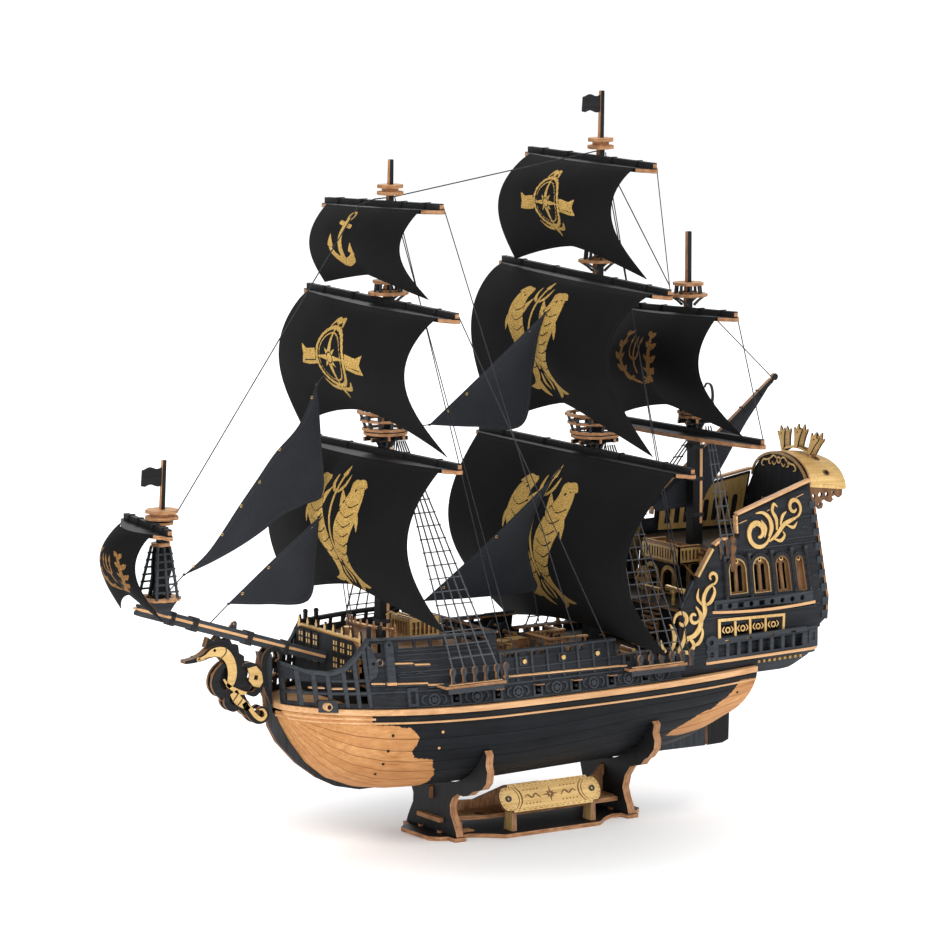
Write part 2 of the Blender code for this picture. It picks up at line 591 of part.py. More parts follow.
store("fore_mast", turned([(DECK_Z + GAP, 4.5), (276, 4.2), (281, 5), (282.5, 10), (287, 17), (300, 21), (303, 21), (303.4, 4.2), (380, 3.5),
                           (385, 3.5), (385.4, 12), (387, 14.7), (390, 12), (396, 11.5), (396.4, 3.2), (448, 3), (456.5, 3),
                           (457, 9.7), (464, 9.7), (464.4, 1.9), (482, 1.8)], fore_x), "black_ply")
store("main_mast", turned([(DECK_Z + GAP, 5), (258, 4.5), (264.5, 5), (266, 10), (270, 18), (286, 22.5), (289, 22.5), (289.4, 4.2),
                           (396, 3.8), (398, 13), (401, 15), (411, 12), (411.4, 3.5), (474, 3.2), (482, 3.2), (482.4, 9.8),
                           (490, 9.8), (490.4, 1.9), (524.5, 1.8)], main_x), "black_ply")
store("mizzen_mast", turned([(QUARTER_Z + GAP, 5.2), (268, 4.6), (274, 5), (276, 10), (280, 14.5), (290, 14.5), (290.4, 4),
                             (300, 3.2), (364, 3), (369.5, 3), (370, 14.7), (380, 12), (380.4, 2), (418, 1.8)], mizzen_x), "black_ply")

# Bowsprit and the small mast at its end.
TIP, HEEL = Vector((-300, 0, 178)), Vector((-148.6, 0, 129.5))
run = (HEEL - TIP).normalized()
perp = Vector((-run.z, 0, run.x))
if perp.z < 0:
    perp = -perp
bar_rings = []
for p in (TIP, HEEL):
    bar_rings.append([p + perp * 4.2 + Vector((0, -4, 0)), p + perp * 4.2 + Vector((0, 4, 0)),
                      p - perp * 4.2 + Vector((0, 4, 0)), p - perp * 4.2 + Vector((0, -4, 0))])
store("bowsprit", loft(bar_rings), "black_ply")


def sprit_x(z):
    return -281.5 + 0.055 * (z - 183)


store("sprit_mast", turned([(183.2, 16), (185.2, 16), (185.6, 2.4), (220.5, 2.2), (221, 6.5), (223.5, 6.5), (224, 2.2), (239.6, 2.2),
                            (240, 12), (246, 12), (246.4, 1.8), (281, 1.8)], sprit_x), "black_ply")

# ---------------------------------------------------------------- yards and square sails
# A yard is a square bar on a crescent batten; the sail hangs from the batten's curved front edge.
BATTEN_T = 3.0
# name: yard x, z, half length and roll; head half width and bow; clew half width, leech hollow, forward belly and its power, reach; drop, foot arch and its power
SAILS = {
    "fore_course": (-102.9, 274.4, 110.0, -0.010, 99.0, 12.0, 106.0, 6.0, 25.4, 0.9, -1.3, 113.0, 20.5, 1.25),
    "fore_topsail": (-99.4, 381.4, 101.0, 0.018, 88.5, 8.0, 99.5, 7.0, 26.0, 0.82, 1.4, 97.6, 22.5, 1.7),
    "fore_topgallant": (-97.5, 450.5, 78.0, -0.042, 63.5, 6.0, 70.6, 5.1, 16.9, 0.9, 2.4, 59.4, 11.8, 1.1),
    "main_course": (74.0, 262.2, 139.5, 0.0, 129.7, 3.0, 106.1, 0.5, 39.1, 0.97, 11.6, 137.0, 12.0, 1.6),
    "main_topsail": (74.6, 390.1, 108.7, 0.030, 98.2, 7.0, 104.0, 10.0, 30.8, 0.72, -2.0, 118.5, 28.0, 1.2),
    "main_topgallant": (80.0, 475.7, 81.6, 0.010, 68.3, 6.0, 86.0, 1.8, 23.4, 0.8, -1.0, 78.6, 17.0, 1.35),
    "mizzen_topsail": (161.5, 359.5, 68.5, -0.040, 56.5, 8.0, 78.0, 1.8, 24.7, 0.9, 8.5, 83.4, 16.0, 1.3),
    "sprit_sail": (-289.5, 236.3, 31.7, 0.060, 22.4, 9.0, 30.0, 0.2, 16.4, 0.8, 3.2, 60.8, 15.0, 1.4),
}
TOGETHER = {"fore_topgallant", "main_topgallant", "mizzen_topsail", "sprit_sail"}   # sail sewn to its yard
FORWARD = 8.5                                                                       # from the yard to the sail's upper corners


def yard_bm(x, z, half, roll):
    h = YARD / 2
    rings = []
    for y in (-half, half):
        zy = z + roll * y
        rings.append([(x - h, y, zy - h), (x + h, y, zy - h), (x + h, y, zy + h), (x - h, y, zy + h)])
    return loft(rings)


def batten_bm(x, z, half, roll, head, bow, clear):
    """Crescent board under the yard, its front edge clear of the line that the sail's head follows."""
    edge = []
    for u in steps(-1.0, 1.0, 8):
        edge.append((x - FORWARD - bow * (1 - u * u) + clear, head * u))
    mid = head + 0.55 * (half - head)
    port = [(x + 2, -half), (x + 1.4, -half - 2.2), (x - 1.0, -half - 3.0), (x - 3.2, -half - 1.4), (x - 0.62 * FORWARD, -mid)]
    outline = port + edge + [(a, -b) for a, b in reversed(port)]
    rings = []
    for k in (0, 1):
        rings.append([(a, b, z - 1.6 - BATTEN_T * (1 - k) + roll * b) for a, b in outline])
    return loft(rings)


def square_sail(x, z, half, roll, head, bow, clew, hollow, belly, power, reach, drop, arch, arch_power):
    def point(a, v):
        u = 2 * a - 1
        wide = head + (clew - head) * v - hollow * math.sin(math.pi * v)
        swell = bow * (1 - u * u) + belly * math.sin(math.pi * v ** power)
        swell -= reach * v * (1 - 0.06 * reach * (1 - u * u))
        return (x - FORWARD - swell, u * wide, z - 1.9 + roll * u * wide * (1 - v) - (drop - arch * (1 - abs(u) ** arch_power)) * v)
    return point


for name, row in SAILS.items():
    sail = store(name, sheet(square_sail(*row), 8, 7, SAIL_T), "sail_cloth")
    x, z, half, roll, head, bow = row[:6]
    if name in TOGETHER:
        join_to(sail, batten_bm(x, z, half, roll, head, bow, -0.2), f"{name}_batten_shape")
        join_to(sail, yard_bm(x, z, half, roll), f"{name}_yard_shape")
    else:
        yard = store(f"{name}_yard", yard_bm(x, z, half, roll), "black_ply")
        join_to(yard, batten_bm(x, z, half, roll, head, bow, 0.5 + GAP), f"{name}_batten_shape")
crossjack = store("crossjack_yard", yard_bm(166.6, 269.8, 96.0, -0.016), "black_ply")
join_to(crossjack, batten_bm(166.6, 269.8, 96.0, -0.016, 84.0, 6.0, 0.5), "crossjack_batten_shape")


# ---------------------------------------------------------------- fore-and-aft sails
def stay_plane(low, high, offset):
    """A sail plane on the centre line at the height low that leans to port, by offset at the height high."""
    def place(u, v, w):
        return (u, -offset * (v - low) / (high - low) + (w - 0.5) * SAIL_T, v)
    return place


slab("outer_jib", [(-152.5, 325.7), (-149.5, 286), (-148, 247.5), (-164, 240), (-182, 234), (-198, 224), (-216, 215), (-238, 206), (-261, 198.6),
                   (-244, 211), (-232, 224), (-217, 243), (-202, 261), (-187, 279), (-167, 298)], [], across_y(-SAIL_T / 2, SAIL_T / 2), "stay_cloth")
slab("inner_jib", [(-151.5, 230.5), (-154.5, 200), (-160.7, 171), (-195, 171.6), (-226, 175), (-188, 204)], [],
     across_y(-SAIL_T / 2, SAIL_T / 2), "stay_cloth")
slab("main_topmast_staysail", [(29.0, 367), (25.4, 350), (24.2, 325), (21, 284), (-20, 285.5), (-60, 290), (-17, 327)], [],
     stay_plane(284, 367, 17.0), "stay_cloth")
slab("main_staysail", [(39.5, 245.6), (29.6, 226), (23.0, 206), (23.4, 190), (28.6, 174), (31, 161), (-16, 160.3), (-64.5, 162), (-11, 203)], [],
     stay_plane(161, 245.6, 12.0), "stay_cloth")

SPAR_A, SPAR_B, SPAR_Y = (140.0, 214.0), (255.5, 304.5), 9.5
lateen = slab("lateen_sail", [(143, 215.6), (253, 301.8), (251, 297), (239, 284), (226, 268), (209, 243), (193, 221), (185, 211), (146, 209)], [],
              across_y(SPAR_Y - SAIL_T / 2, SPAR_Y + SAIL_T / 2), "stay_cloth")
run2 = Vector((SPAR_B[0] - SPAR_A[0], 0, SPAR_B[1] - SPAR_A[1])).normalized()
up2 = Vector((-run2.z, 0, run2.x))
join_to(lateen, loft([[Vector((px, SPAR_Y, pz)) + up2 * a * 1.6 + Vector((0, b * 1.6, 0)) for a, b in ((-1, -1), (1, -1), (1, 1), (-1, 1))]
                      for px, pz in (SPAR_A, SPAR_B)]), "lateen_spar_shape")


# ---------------------------------------------------------------- shrouds: port and starboard ladders of one gang over the masthead
def shroud_gang(name, foot_a, foot_b, foot_y, deck_z, foot_z, head_a, head_b, head_y, head_z, strands, rungs):
    """Feet stand on the channel at deck_z, go straight up through the deadeyes to foot_z, then lean in to the head."""
    width = 1.1
    levels = [(deck_z, 0.0), (deck_z + 1.2, 0.0), (foot_z - 1.1, 0.0), (foot_z, 0.0)]
    for k in range(rungs):
        t = 0.14 + 0.80 * k / rungs
        levels += [(None, t), (None, t + 1.0 / (head_z - foot_z))]
    levels.append((None, 1.0))
    n = len(levels)
    rows = 2 * n - 1

    def point(c, r):
        side = -1 if r < n else 1
        z, t = levels[r] if r < n else levels[2 * n - 1 - r]
        if z is None:
            z = foot_z + (head_z - foot_z) * t
        strand, edge = divmod(c, 2)
        share = strand / (strands - 1)
        foot = foot_a + (foot_b - foot_a) * share
        head = head_a + (head_b - head_a) * share
        return (foot + (head - foot) * t + (edge - 0.5) * width, side * (foot_y + (head_y - foot_y) * t), z)

    def filled(c, r):
        k = r if r < n - 1 else 2 * n - 2 - r
        return c % 2 == 0 or r == n - 1 or k % 2 == 0 and k < n - 1

    lattice(name, point, 2 * strands - 1, rows, filled, 0.9, "thread")


shroud_gang("fore_shrouds", -92.5, -51.0, 77.0, DECK_Z - 0.3, 130.0, -89.5, -83.0, 6.5, 278.5, 4, 6)
shroud_gang("main_shrouds", 73.0, 111.0, 76.0, 112.2, 123.0, 90.6, 97.1, 7.0, 262.0, 4, 6)
shroud_gang("mizzen_shrouds", 156.5, 168.0, 60.5, 188.0, 197.5, 180.6, 185.0, 7.0, 272.5, 3, 3)


# ---------------------------------------------------------------- stays between the mastheads
def thread_line(name, route, radius=0.45, most=78):
    """A taut thread through the route's points, held at each of them."""
    points = [Vector(p) for p in route]
    runs = [(b - a).length for a, b in zip(points, points[1:])]
    each = [max(2, round((most - len(points)) * run / sum(runs))) for run in runs]
    line = [points[0]]
    for (a, b), k in zip(zip(points, points[1:]), each):
        line += [a.lerp(b, (j + 1) / k) for j in range(k)]
    curve = bpy.data.curves.new(name, "CURVE")
    curve.dimensions = "3D"
    spline = curve.splines.new("POLY")
    spline.points.add(len(line) - 1)
    for dot, p in zip(spline.points, line):
        dot.co = tuple((a + b) * MM for a, b in zip(p, DATUM)) + (1.0,)
    curve.bevel_depth = radius * MM
    curve.bevel_resolution = 2
    curve.use_fill_caps = True
    curve.materials.append(material("thread"))
    made = bpy.data.objects.new(name, curve)
    bpy.context.scene.collection.objects.link(made)
    made.parent = SHIP
    return made


# From the sprit masthead over the fore topgallant batten to the fore masthead, to the main masthead, and down to the mizzen's cap.
thread_line("masthead_stay", [(-265.4, 1.5, 243.0), (-116.6, 1.5, 450.6), (-102.6, 2.6, 454.2), (-95.6, 4.0, 454.3), (-88.0, 4.0, 454.6),
                              (82.0, 4.2, 479.4), (86.0, 4.6, 480.0), (92.0, 4.2, 480.0), (151.4, 1.5, 378.0)])
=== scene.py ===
"""Looks for the three-masted galleon model: dyed and natural ply, gold print, cloth sails and thread rigging.

Drawing coordinates are the part's: millimetres from a datum on the centre line, bow towards -X, port towards -Y.
"""

import json
import math

import bmesh
import bpy
import numpy as np
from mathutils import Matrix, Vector
from mathutils.geometry import tessellate_polygon

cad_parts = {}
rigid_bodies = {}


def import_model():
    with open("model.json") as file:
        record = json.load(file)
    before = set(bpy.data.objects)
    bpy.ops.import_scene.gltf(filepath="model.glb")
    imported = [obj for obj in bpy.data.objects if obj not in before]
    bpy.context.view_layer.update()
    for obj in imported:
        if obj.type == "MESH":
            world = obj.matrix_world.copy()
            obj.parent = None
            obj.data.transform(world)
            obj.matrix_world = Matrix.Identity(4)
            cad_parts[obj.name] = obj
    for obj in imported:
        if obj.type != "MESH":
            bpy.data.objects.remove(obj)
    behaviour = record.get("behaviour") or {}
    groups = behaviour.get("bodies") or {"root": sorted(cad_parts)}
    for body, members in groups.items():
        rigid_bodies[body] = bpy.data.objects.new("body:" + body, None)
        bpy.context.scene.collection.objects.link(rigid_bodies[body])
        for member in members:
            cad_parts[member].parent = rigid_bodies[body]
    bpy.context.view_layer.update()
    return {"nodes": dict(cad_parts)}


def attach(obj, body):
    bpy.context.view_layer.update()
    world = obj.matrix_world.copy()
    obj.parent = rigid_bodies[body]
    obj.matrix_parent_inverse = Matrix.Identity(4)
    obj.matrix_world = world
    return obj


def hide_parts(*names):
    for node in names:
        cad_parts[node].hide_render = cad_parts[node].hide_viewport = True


for old in list(bpy.data.objects):
    bpy.data.objects.remove(old, do_unlink=True)

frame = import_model()
NODES = frame["nodes"]
MM = 0.001
DATUM = Vector((-20.25, 0.0, 9.9))


def world(p):
    return (Vector(p) + DATUM) * MM


# ================================================================ camera, light, floor
scene = bpy.context.scene
scene.view_settings.view_transform = "Standard"
cam = bpy.data.objects.new("view_camera", bpy.data.cameras.new("view_camera"))
scene.collection.objects.link(cam)
cam.location = (-1.87975, -2.8836, 0.7576)
cam.rotation_euler = (math.radians(90 - 8.14), 0.0, math.radians(-32.4))
cam.data.sensor_width = 36.0
cam.data.lens = 185.4
cam.data.clip_end = 200.0
scene.camera = cam


def area_light(name, at, target, size, power, colour=(1, 1, 1)):
    data = bpy.data.lights.new(name, "AREA")
    data.shape, data.size, data.energy, data.color = "DISK", size, power, colour
    made = bpy.data.objects.new(name, data)
    scene.collection.objects.link(made)
    made.location = at
    made.rotation_euler = (Vector(target) - Vector(at)).to_track_quat("-Z", "Y").to_euler()
    return made


area_light("key_light", (-2.2, -1.6, 2.6), (0, 0, 0.25), 1.6, 62.0, (1.0, 0.985, 0.96))
area_light("fill_light", (1.6, -3.0, 1.5), (0, 0, 0.25), 1.8, 30.0, (0.97, 0.985, 1.0))
area_light("back_light", (1.2, 2.6, 2.4), (0, 0, 0.3), 1.6, 34.0)
sky = bpy.data.worlds.new("studio")
scene.world = sky
sky.use_nodes = True
sky.node_tree.nodes["Background"].inputs["Color"].default_value = (0.97, 0.98, 1.0, 1.0)
sky.node_tree.nodes["Background"].inputs["Strength"].default_value = 0.62

floor_bm = bmesh.new()
bmesh.ops.create_grid(floor_bm, x_segments=8, y_segments=8, size=60.0)
floor_mesh = bpy.data.meshes.new("studio_floor")
floor_bm.to_mesh(floor_mesh)
floor_bm.free()
floor = bpy.data.objects.new("studio_floor", floor_mesh)
scene.collection.objects.link(floor)
floor.location.z = -0.0001
floor_mat = bpy.data.materials.new("studio_floor")
floor_mat.use_nodes = True
paint = floor_mat.node_tree.nodes["Principled BSDF"]
paint.inputs["Base Color"].default_value = (0.90, 0.90, 0.90, 1)
paint.inputs["Roughness"].default_value = 0.9
paint.inputs["Specular IOR Level"].default_value = 0.1
paint.inputs["Emission Color"].default_value = (1, 1, 1, 1)
# The floor glows, and its glow is turned down near the model: a painted soft shadow round the stand.
floor_nt = floor_mat.node_tree
floor_place = floor_nt.nodes.new("ShaderNodeTexCoord")
floor_reach = floor_nt.nodes.new("ShaderNodeVectorMath")
floor_reach.operation = "LENGTH"
floor_move = floor_nt.nodes.new("ShaderNodeVectorMath")
floor_move.operation = "ADD"
floor_move.inputs[1].default_value = (0.035, 0.045, 0.0)
floor_nt.links.new(floor_place.outputs["Object"], floor_move.inputs[0])
floor_nt.links.new(floor_move.outputs["Vector"], floor_reach.inputs[0])
floor_painted_shadow = floor_nt.nodes.new("ShaderNodeMapRange")
floor_painted_shadow.interpolation_type = "SMOOTHSTEP"
floor_painted_shadow.inputs["From Min"].default_value = 0.06
floor_painted_shadow.inputs["From Max"].default_value = 0.26
floor_painted_shadow.inputs["To Min"].default_value = 0.10
floor_painted_shadow.inputs["To Max"].default_value = 0.48
floor_nt.links.new(floor_reach.outputs["Value"], floor_painted_shadow.inputs["Value"])
# Less glow near the stand: painted shadow under the model.
floor_nt.links.new(floor_painted_shadow.outputs["Result"], paint.inputs["Emission Strength"])
floor.data.materials.append(floor_mat)


# ================================================================ materials
def new_mat(name, rough, metal=0.0, spec=0.4, sheen=0.0, coat=0.0):
    m = bpy.data.materials.new(name)
    m.use_nodes = True
    nt = m.node_tree
    sh = nt.nodes["Principled BSDF"]
    sh.inputs["Roughness"].default_value = rough
    sh.inputs["Metallic"].default_value = metal
    sh.inputs["Specular IOR Level"].default_value = spec
    sh.inputs["Sheen Weight"].default_value = sheen
    sh.inputs["Coat Weight"].default_value = coat
    return m, nt, sh


def add(nt, kind, out=0, **ins):
    """A node with its inputs set by name or number; a socket links and a value is kept."""
    made = nt.nodes.new(kind)
    for key, value in ins.items():
        if key[0] == "_":
            setattr(made, key[1:], value)
            continue
        socket = made.inputs[int(key[1:])] if key[0] == "i" and key[1:].isdigit() else made.inputs[key.replace("__", " ")]
        if isinstance(value, bpy.types.NodeSocket):
            nt.links.new(value, socket)
        else:
            socket.default_value = value
    return made


def place_of(nt, scale, rotate=(0, 0, 0), coord="Object"):
    where = nt.nodes.new("ShaderNodeTexCoord")
    return add(nt, "ShaderNodeMapping", Vector=where.outputs[coord], Scale=scale, Rotation=rotate).outputs[0]


def noise(nt, scale, detail=3.0, rough=0.55, distort=0.0, rotate=(0, 0, 0)):
    return add(nt, "ShaderNodeTexNoise", Vector=place_of(nt, scale, rotate), Scale=1.0, Detail=detail, Roughness=rough, Distortion=distort).outputs["Fac"]


def ramp(nt, fac, stops):
    made = nt.nodes.new("ShaderNodeValToRGB")
    nt.links.new(fac, made.inputs[0])
    marks = made.color_ramp.elements
    while len(marks) < len(stops):
        marks.new(0.5)
    for mark, (at, colour) in zip(marks, stops):
        mark.position = at
        mark.color = (*colour, 1.0) if len(colour) == 3 else colour
    return made.outputs[0]


def mix(nt, fac, a, b):
    made = nt.nodes.new("ShaderNodeMix")
    made.data_type = "RGBA"
    for k, value in ((0, fac), (6, a), (7, b)):
        if isinstance(value, bpy.types.NodeSocket):
            nt.links.new(value, made.inputs[k])
        else:
            made.inputs[k].default_value = (*value, 1.0) if k else value
    return made.outputs[2]


def maths(nt, how, a, b=0.0, c=0.0):
    made = nt.nodes.new("ShaderNodeMath")
    made.operation = how
    for socket, value in zip(made.inputs, (a, b, c)):
        if isinstance(value, bpy.types.NodeSocket):
            nt.links.new(value, socket)
        else:
            socket.default_value = value
    return made.outputs[0]


def bump(nt, sh, height, strength, distance=0.0003):
    made = add(nt, "ShaderNodeBump", Height=height, Strength=strength, Distance=distance)
    nt.links.new(made.outputs[0], sh.inputs["Normal"])
    return made


def shade(c, k):
    return tuple(x * k for x in c)


def grain_colour(nt, dark, light, along="x", streak=420.0, patch=26.0):
    """Wood figure: long streaks along one axis over slow patches."""
    stretch = {"x": (streak * 0.045, streak, streak), "y": (streak, streak * 0.045, streak), "z": (streak, streak, streak * 0.045)}[along]
    streaks = noise(nt, stretch, 4.0, 0.62, 0.35)
    slow = noise(nt, (patch, patch, patch), 2.0)
    both = maths(nt, "ADD", maths(nt, "MULTIPLY", streaks, 0.72), maths(nt, "MULTIPLY", slow, 0.34))
    return ramp(nt, both, [(0.34, dark), (0.68, light)]), streaks


BLACK = ((0.0050, 0.0052, 0.0057), (0.0150, 0.0155, 0.0170))
SLATE = ((0.020, 0.0222, 0.0255), (0.055, 0.061, 0.069))
BIRCH = ((0.50, 0.245, 0.098), (0.80, 0.475, 0.235))
EDGE = ((0.235, 0.105, 0.048), (0.60, 0.335, 0.170))
GOLD = ((0.52, 0.30, 0.085), (0.80, 0.545, 0.215))


def wood(name, tones, along="x", rough=0.62, metal=0.0, spec=0.18, streak=420.0, relief=0.25, coat=0.0, pits=None):
    m, nt, sh = new_mat(name, rough, metal, spec, coat=coat)
    colour, streaks = grain_colour(nt, *tones, along=along, streak=streak)
    height = streaks
    if pits:                                    # fine speckle of gold print on ply
        specks = noise(nt, (2600, 2600, 2600), 2.0)
        mask = ramp(nt, specks, [(0.30, (1, 1, 1)), (0.44, (0, 0, 0))])
        colour = mix(nt, mask, colour, pits)
        height = maths(nt, "SUBTRACT", streaks, maths(nt, "MULTIPLY", mask, 0.4))
    nt.links.new(colour, sh.inputs["Base Color"])
    bump(nt, sh, height, relief)
    return m


def ply_edge_colour(nt, axis):
    """Laser-cut edge: burnt tan with darker glue lines between the veneers."""
    stretch = {"x": (1150, 90, 90), "y": (90, 1150, 90), "z": (90, 90, 1150)}[axis]
    layers = noise(nt, stretch, 2.0, 0.5)
    burn = noise(nt, (160, 160, 160), 3.0)
    return ramp(nt, maths(nt, "ADD", maths(nt, "MULTIPLY", layers, 0.6), maths(nt, "MULTIPLY", burn, 0.42)),
                [(0.36, EDGE[0]), (0.56, (0.46, 0.235, 0.112)), (0.70, EDGE[1])])


def ply(name, tones, axis, along="x", rough=0.62, metal=0.0, spec=0.16, relief=0.25, edge_tone=1.0, limit=0.72, planks=None):
    """A ply sheet whose faces look along an axis: dyed faces, natural cut edges."""
    m, nt, sh = new_mat(name, rough, metal, spec)
    face, streaks = grain_colour(nt, *tones, along=along)
    edge = ply_edge_colour(nt, axis)
    if edge_tone != 1.0:
        edge = mix(nt, 1.0 - edge_tone, edge, shade(EDGE[0], 0.35))
    height = streaks
    if planks:
        across, pitch = planks                  # engraved plank lines
        where = add(nt, "ShaderNodeSeparateXYZ", Vector=place_of(nt, (1, 1, 1))).outputs["XYZ".index(across.upper())]
        line = maths(nt, "PINGPONG", where, pitch / 2)
        seam = ramp(nt, maths(nt, "DIVIDE", line, pitch / 2), [(0.05, (1, 1, 1)), (0.12, (0, 0, 0))])
        face = mix(nt, maths(nt, "MULTIPLY", seam, 0.75), face, shade(tones[0], 0.30))
        height = maths(nt, "SUBTRACT", streaks, maths(nt, "MULTIPLY", seam, 1.6))
    normal = add(nt, "ShaderNodeSeparateXYZ", Vector=nt.nodes.new("ShaderNodeTexCoord").outputs["Normal"])
    facing = maths(nt, "ABSOLUTE", normal.outputs["XYZ".index(axis.upper())])
    nt.links.new(mix(nt, maths(nt, "GREATER_THAN", facing, limit), edge, face), sh.inputs["Base Color"])
    bump(nt, sh, height, relief)
    return m


M = {
    "black": wood("black_wood", BLACK, "x", 0.58, relief=0.3),
    "black_z": wood("black_wood_upright", BLACK, "z", 0.58, relief=0.3),
    "slate": wood("slate_wood", SLATE, "x", 0.66, relief=0.4),
    "birch": wood("natural_birch", BIRCH, "x", 0.55, spec=0.4, relief=0.15),
    "birch_z": wood("natural_birch_upright", BIRCH, "z", 0.55, spec=0.4, relief=0.15),
    "gold": wood("gold_print_ply", GOLD, "x", 0.40, 0.30, 0.5, relief=0.2, pits=(0.30, 0.16, 0.045)),
    # A darker copy of the gold print ply, used on inner, recessed and under faces: painted shade.
    "gold_painted_shade": wood("gold_ply_painted_shade", (shade(GOLD[0], 0.55), shade(GOLD[1], 0.62)), "x", 0.45, 0.25, 0.5, pits=(0.12, 0.06, 0.02)),
    "brown": wood("brown_window_ply", ((0.075, 0.035, 0.016), (0.27, 0.135, 0.060)), "z", 0.55),
    "dark": wood("shadow_black", ((0.004, 0.004, 0.0045), (0.010, 0.010, 0.011)), "x", 0.8, spec=0.15),
    "base": ply("stand_ply_level", BLACK, "z", "x", 0.50, relief=0.3),
    "cradle": ply("stand_ply_across", BLACK, "x", "z", 0.50, relief=0.3),
    "ply_x": ply("black_ply_across", BLACK, "x", "z", 0.58),
    "ply_y": ply("black_ply_lengthwise", BLACK, "y", "z", 0.58),
    "ply_z": ply("black_ply_level", BLACK, "z", "x", 0.58),
    "slate_y": ply("slate_ply_lengthwise", SLATE, "y", "z", 0.62, edge_tone=0.95),
    "slate_x": ply("slate_ply_across", SLATE, "x", "z", 0.62),
    "stem": ply("stem_ply", SLATE, "y", "z", 0.62, edge_tone=0.35),
    "gold_x": ply("gold_ply_across", GOLD, "x", "z", 0.42, 0.25, 0.5, edge_tone=0.8),
    "gold_y": ply("gold_ply_lengthwise", GOLD, "y", "z", 0.42, 0.25, 0.5, edge_tone=0.8),
    "gold_z": ply("gold_ply_level", GOLD, "z", "x", 0.42, 0.25, 0.5, edge_tone=0.8),
    "natural_z": ply("natural_ply_level", (shade(BIRCH[0], 0.85), shade(BIRCH[1], 0.9)), "z", "x", 0.6),
    "deck": ply("dark_deck", ((0.030, 0.024, 0.019), (0.085, 0.062, 0.042)), "z", "x", 0.66, planks=("y", 0.0052)),
    "deck_fore": ply("brown_deck", ((0.12, 0.062, 0.030), (0.28, 0.155, 0.075)), "z", "x", 0.6, planks=("y", 0.0046)),
}




def edge_mat(name, axis):
    m, nt, sh = new_mat(name, 0.7, 0.0, 0.25)
    nt.links.new(ply_edge_colour(nt, axis), sh.inputs["Base Color"])
    bump(nt, sh, noise(nt, (900, 900, 900), 3.0), 0.2)
    return m


def thread_mat(name, tones, pitch=0.9):
    """Twisted thread: fine slanting strands."""
    m, nt, sh = new_mat(name, 0.85, 0.0, 0.2, sheen=0.1)
    twist = noise(nt, (2600, 2600, 900), 2.0, 0.5, 0.0, (0.5, 0.4, 0.0))
    nt.links.new(ramp(nt, twist, [(0.36, tones[0]), (0.64, tones[1])]), sh.inputs["Base Color"])
    bump(nt, sh, twist, 0.5, 0.00015)
    return m


M.update({
    "edge_x": edge_mat("cut_edge_across", "x"), "edge_y": edge_mat("cut_edge_lengthwise", "y"), "edge_z": edge_mat("cut_edge_level", "z"),
    "thread": thread_mat("black_thread", ((0.012, 0.012, 0.013), (0.045, 0.046, 0.050))),
    "thread_pale": thread_mat("slate_thread", ((0.045, 0.047, 0.052), (0.135, 0.140, 0.150))),
    "yard": ply("yard_ply", BLACK, "z", "y", 0.58, limit=0.0),
    "yard_end": ply("yard_end_ply", BLACK, "x", "y", 0.58),
    "gold_plate": wood("gold_name_plate", GOLD, "x", 0.38, 0.35, 0.5, relief=0.2, pits=(0.34, 0.19, 0.06)),
    "burnt": wood("burnt_edge", ((0.012, 0.009, 0.007), (0.050, 0.030, 0.018)), "x", 0.75),
    "engraved": wood("engraved_lines", ((0.055, 0.024, 0.010), (0.13, 0.060, 0.026)), "x", 0.8),
    "steel": wood("dark_screw", ((0.02, 0.02, 0.02), (0.06, 0.06, 0.06)), "x", 0.35, 0.9, 0.5),
})


# ================================================================ shape builders
def across_x(x0, x1):
    return lambda u, v, w: (x0 + (x1 - x0) * w, u, v)


def across_y(y0, y1):
    return lambda u, v, w: (u, y0 + (y1 - y0) * w, v)


def across_z(z0, z1):
    return lambda u, v, w: (u, v, z0 + (z1 - z0) * w)


def steps(a, b, n):
    return [a + (b - a) * k / n for k in range(n + 1)]


def along(table, x):
    for (xa, za), (xb, zb) in zip(table, table[1:]):
        if x <= xb:
            return za + (zb - za) * max(0.0, (x - xa) / (xb - xa))
    return table[-1][1]


def circle(u, v, r, n=16, turn=0.0, squeeze=1.0):
    return [(u + r * math.cos(math.tau * k / n + turn), v + squeeze * r * math.sin(math.tau * k / n + turn)) for k in range(n)]


def rect(u0, v0, u1, v1):
    return [(u0, v0), (u1, v0), (u1, v1), (u0, v1)]


def rounded(u0, v0, u1, v1, r, n=3):
    out = []
    for cu, cv, a0 in ((u1 - r, v0 + r, -0.5), (u1 - r, v1 - r, 0.0), (u0 + r, v1 - r, 0.5), (u0 + r, v0 + r, 1.0)):
        out += [(cu + r * math.cos(math.pi * (a0 + 0.5 * k / n)), cv + r * math.sin(math.pi * (a0 + 0.5 * k / n))) for k in range(n + 1)]
    return out


def arched(u0, v0, u1, v1, n=10):
    mid, half = (u0 + u1) / 2, (u1 - u0) / 2
    spring = v1 - half
    return [(u0, v0), (u1, v0)] + [(mid + half * math.cos(math.pi * k / n), spring + half * math.sin(math.pi * k / n)) for k in range(n + 1)]


def mirrored(outline):
    return list(outline) + [(-u, v) for u, v in reversed(outline) if abs(u) > 1e-6]


def spline(points, n=6, closed=False):
    """A Catmull-Rom line through points."""
    pts = [Vector(p) for p in points]
    out, last = [], len(pts) - 1
    for i in range(len(pts) if closed else last):
        if closed:
            a, b, c, d = (pts[(i + k) % len(pts)] for k in (-1, 0, 1, 2))
        else:
            a, b, c, d = pts[max(i - 1, 0)], pts[i], pts[i + 1], pts[min(i + 2, last)]
        for k in range(n):
            t = k / n
            out.append(0.5 * ((2 * b) + (c - a) * t + (2 * a - 5 * b + 4 * c - d) * t * t + (3 * b - a - 3 * c + d) * t ** 3))
    if not closed:
        out.append(pts[-1])
    return [tuple(p) for p in out]


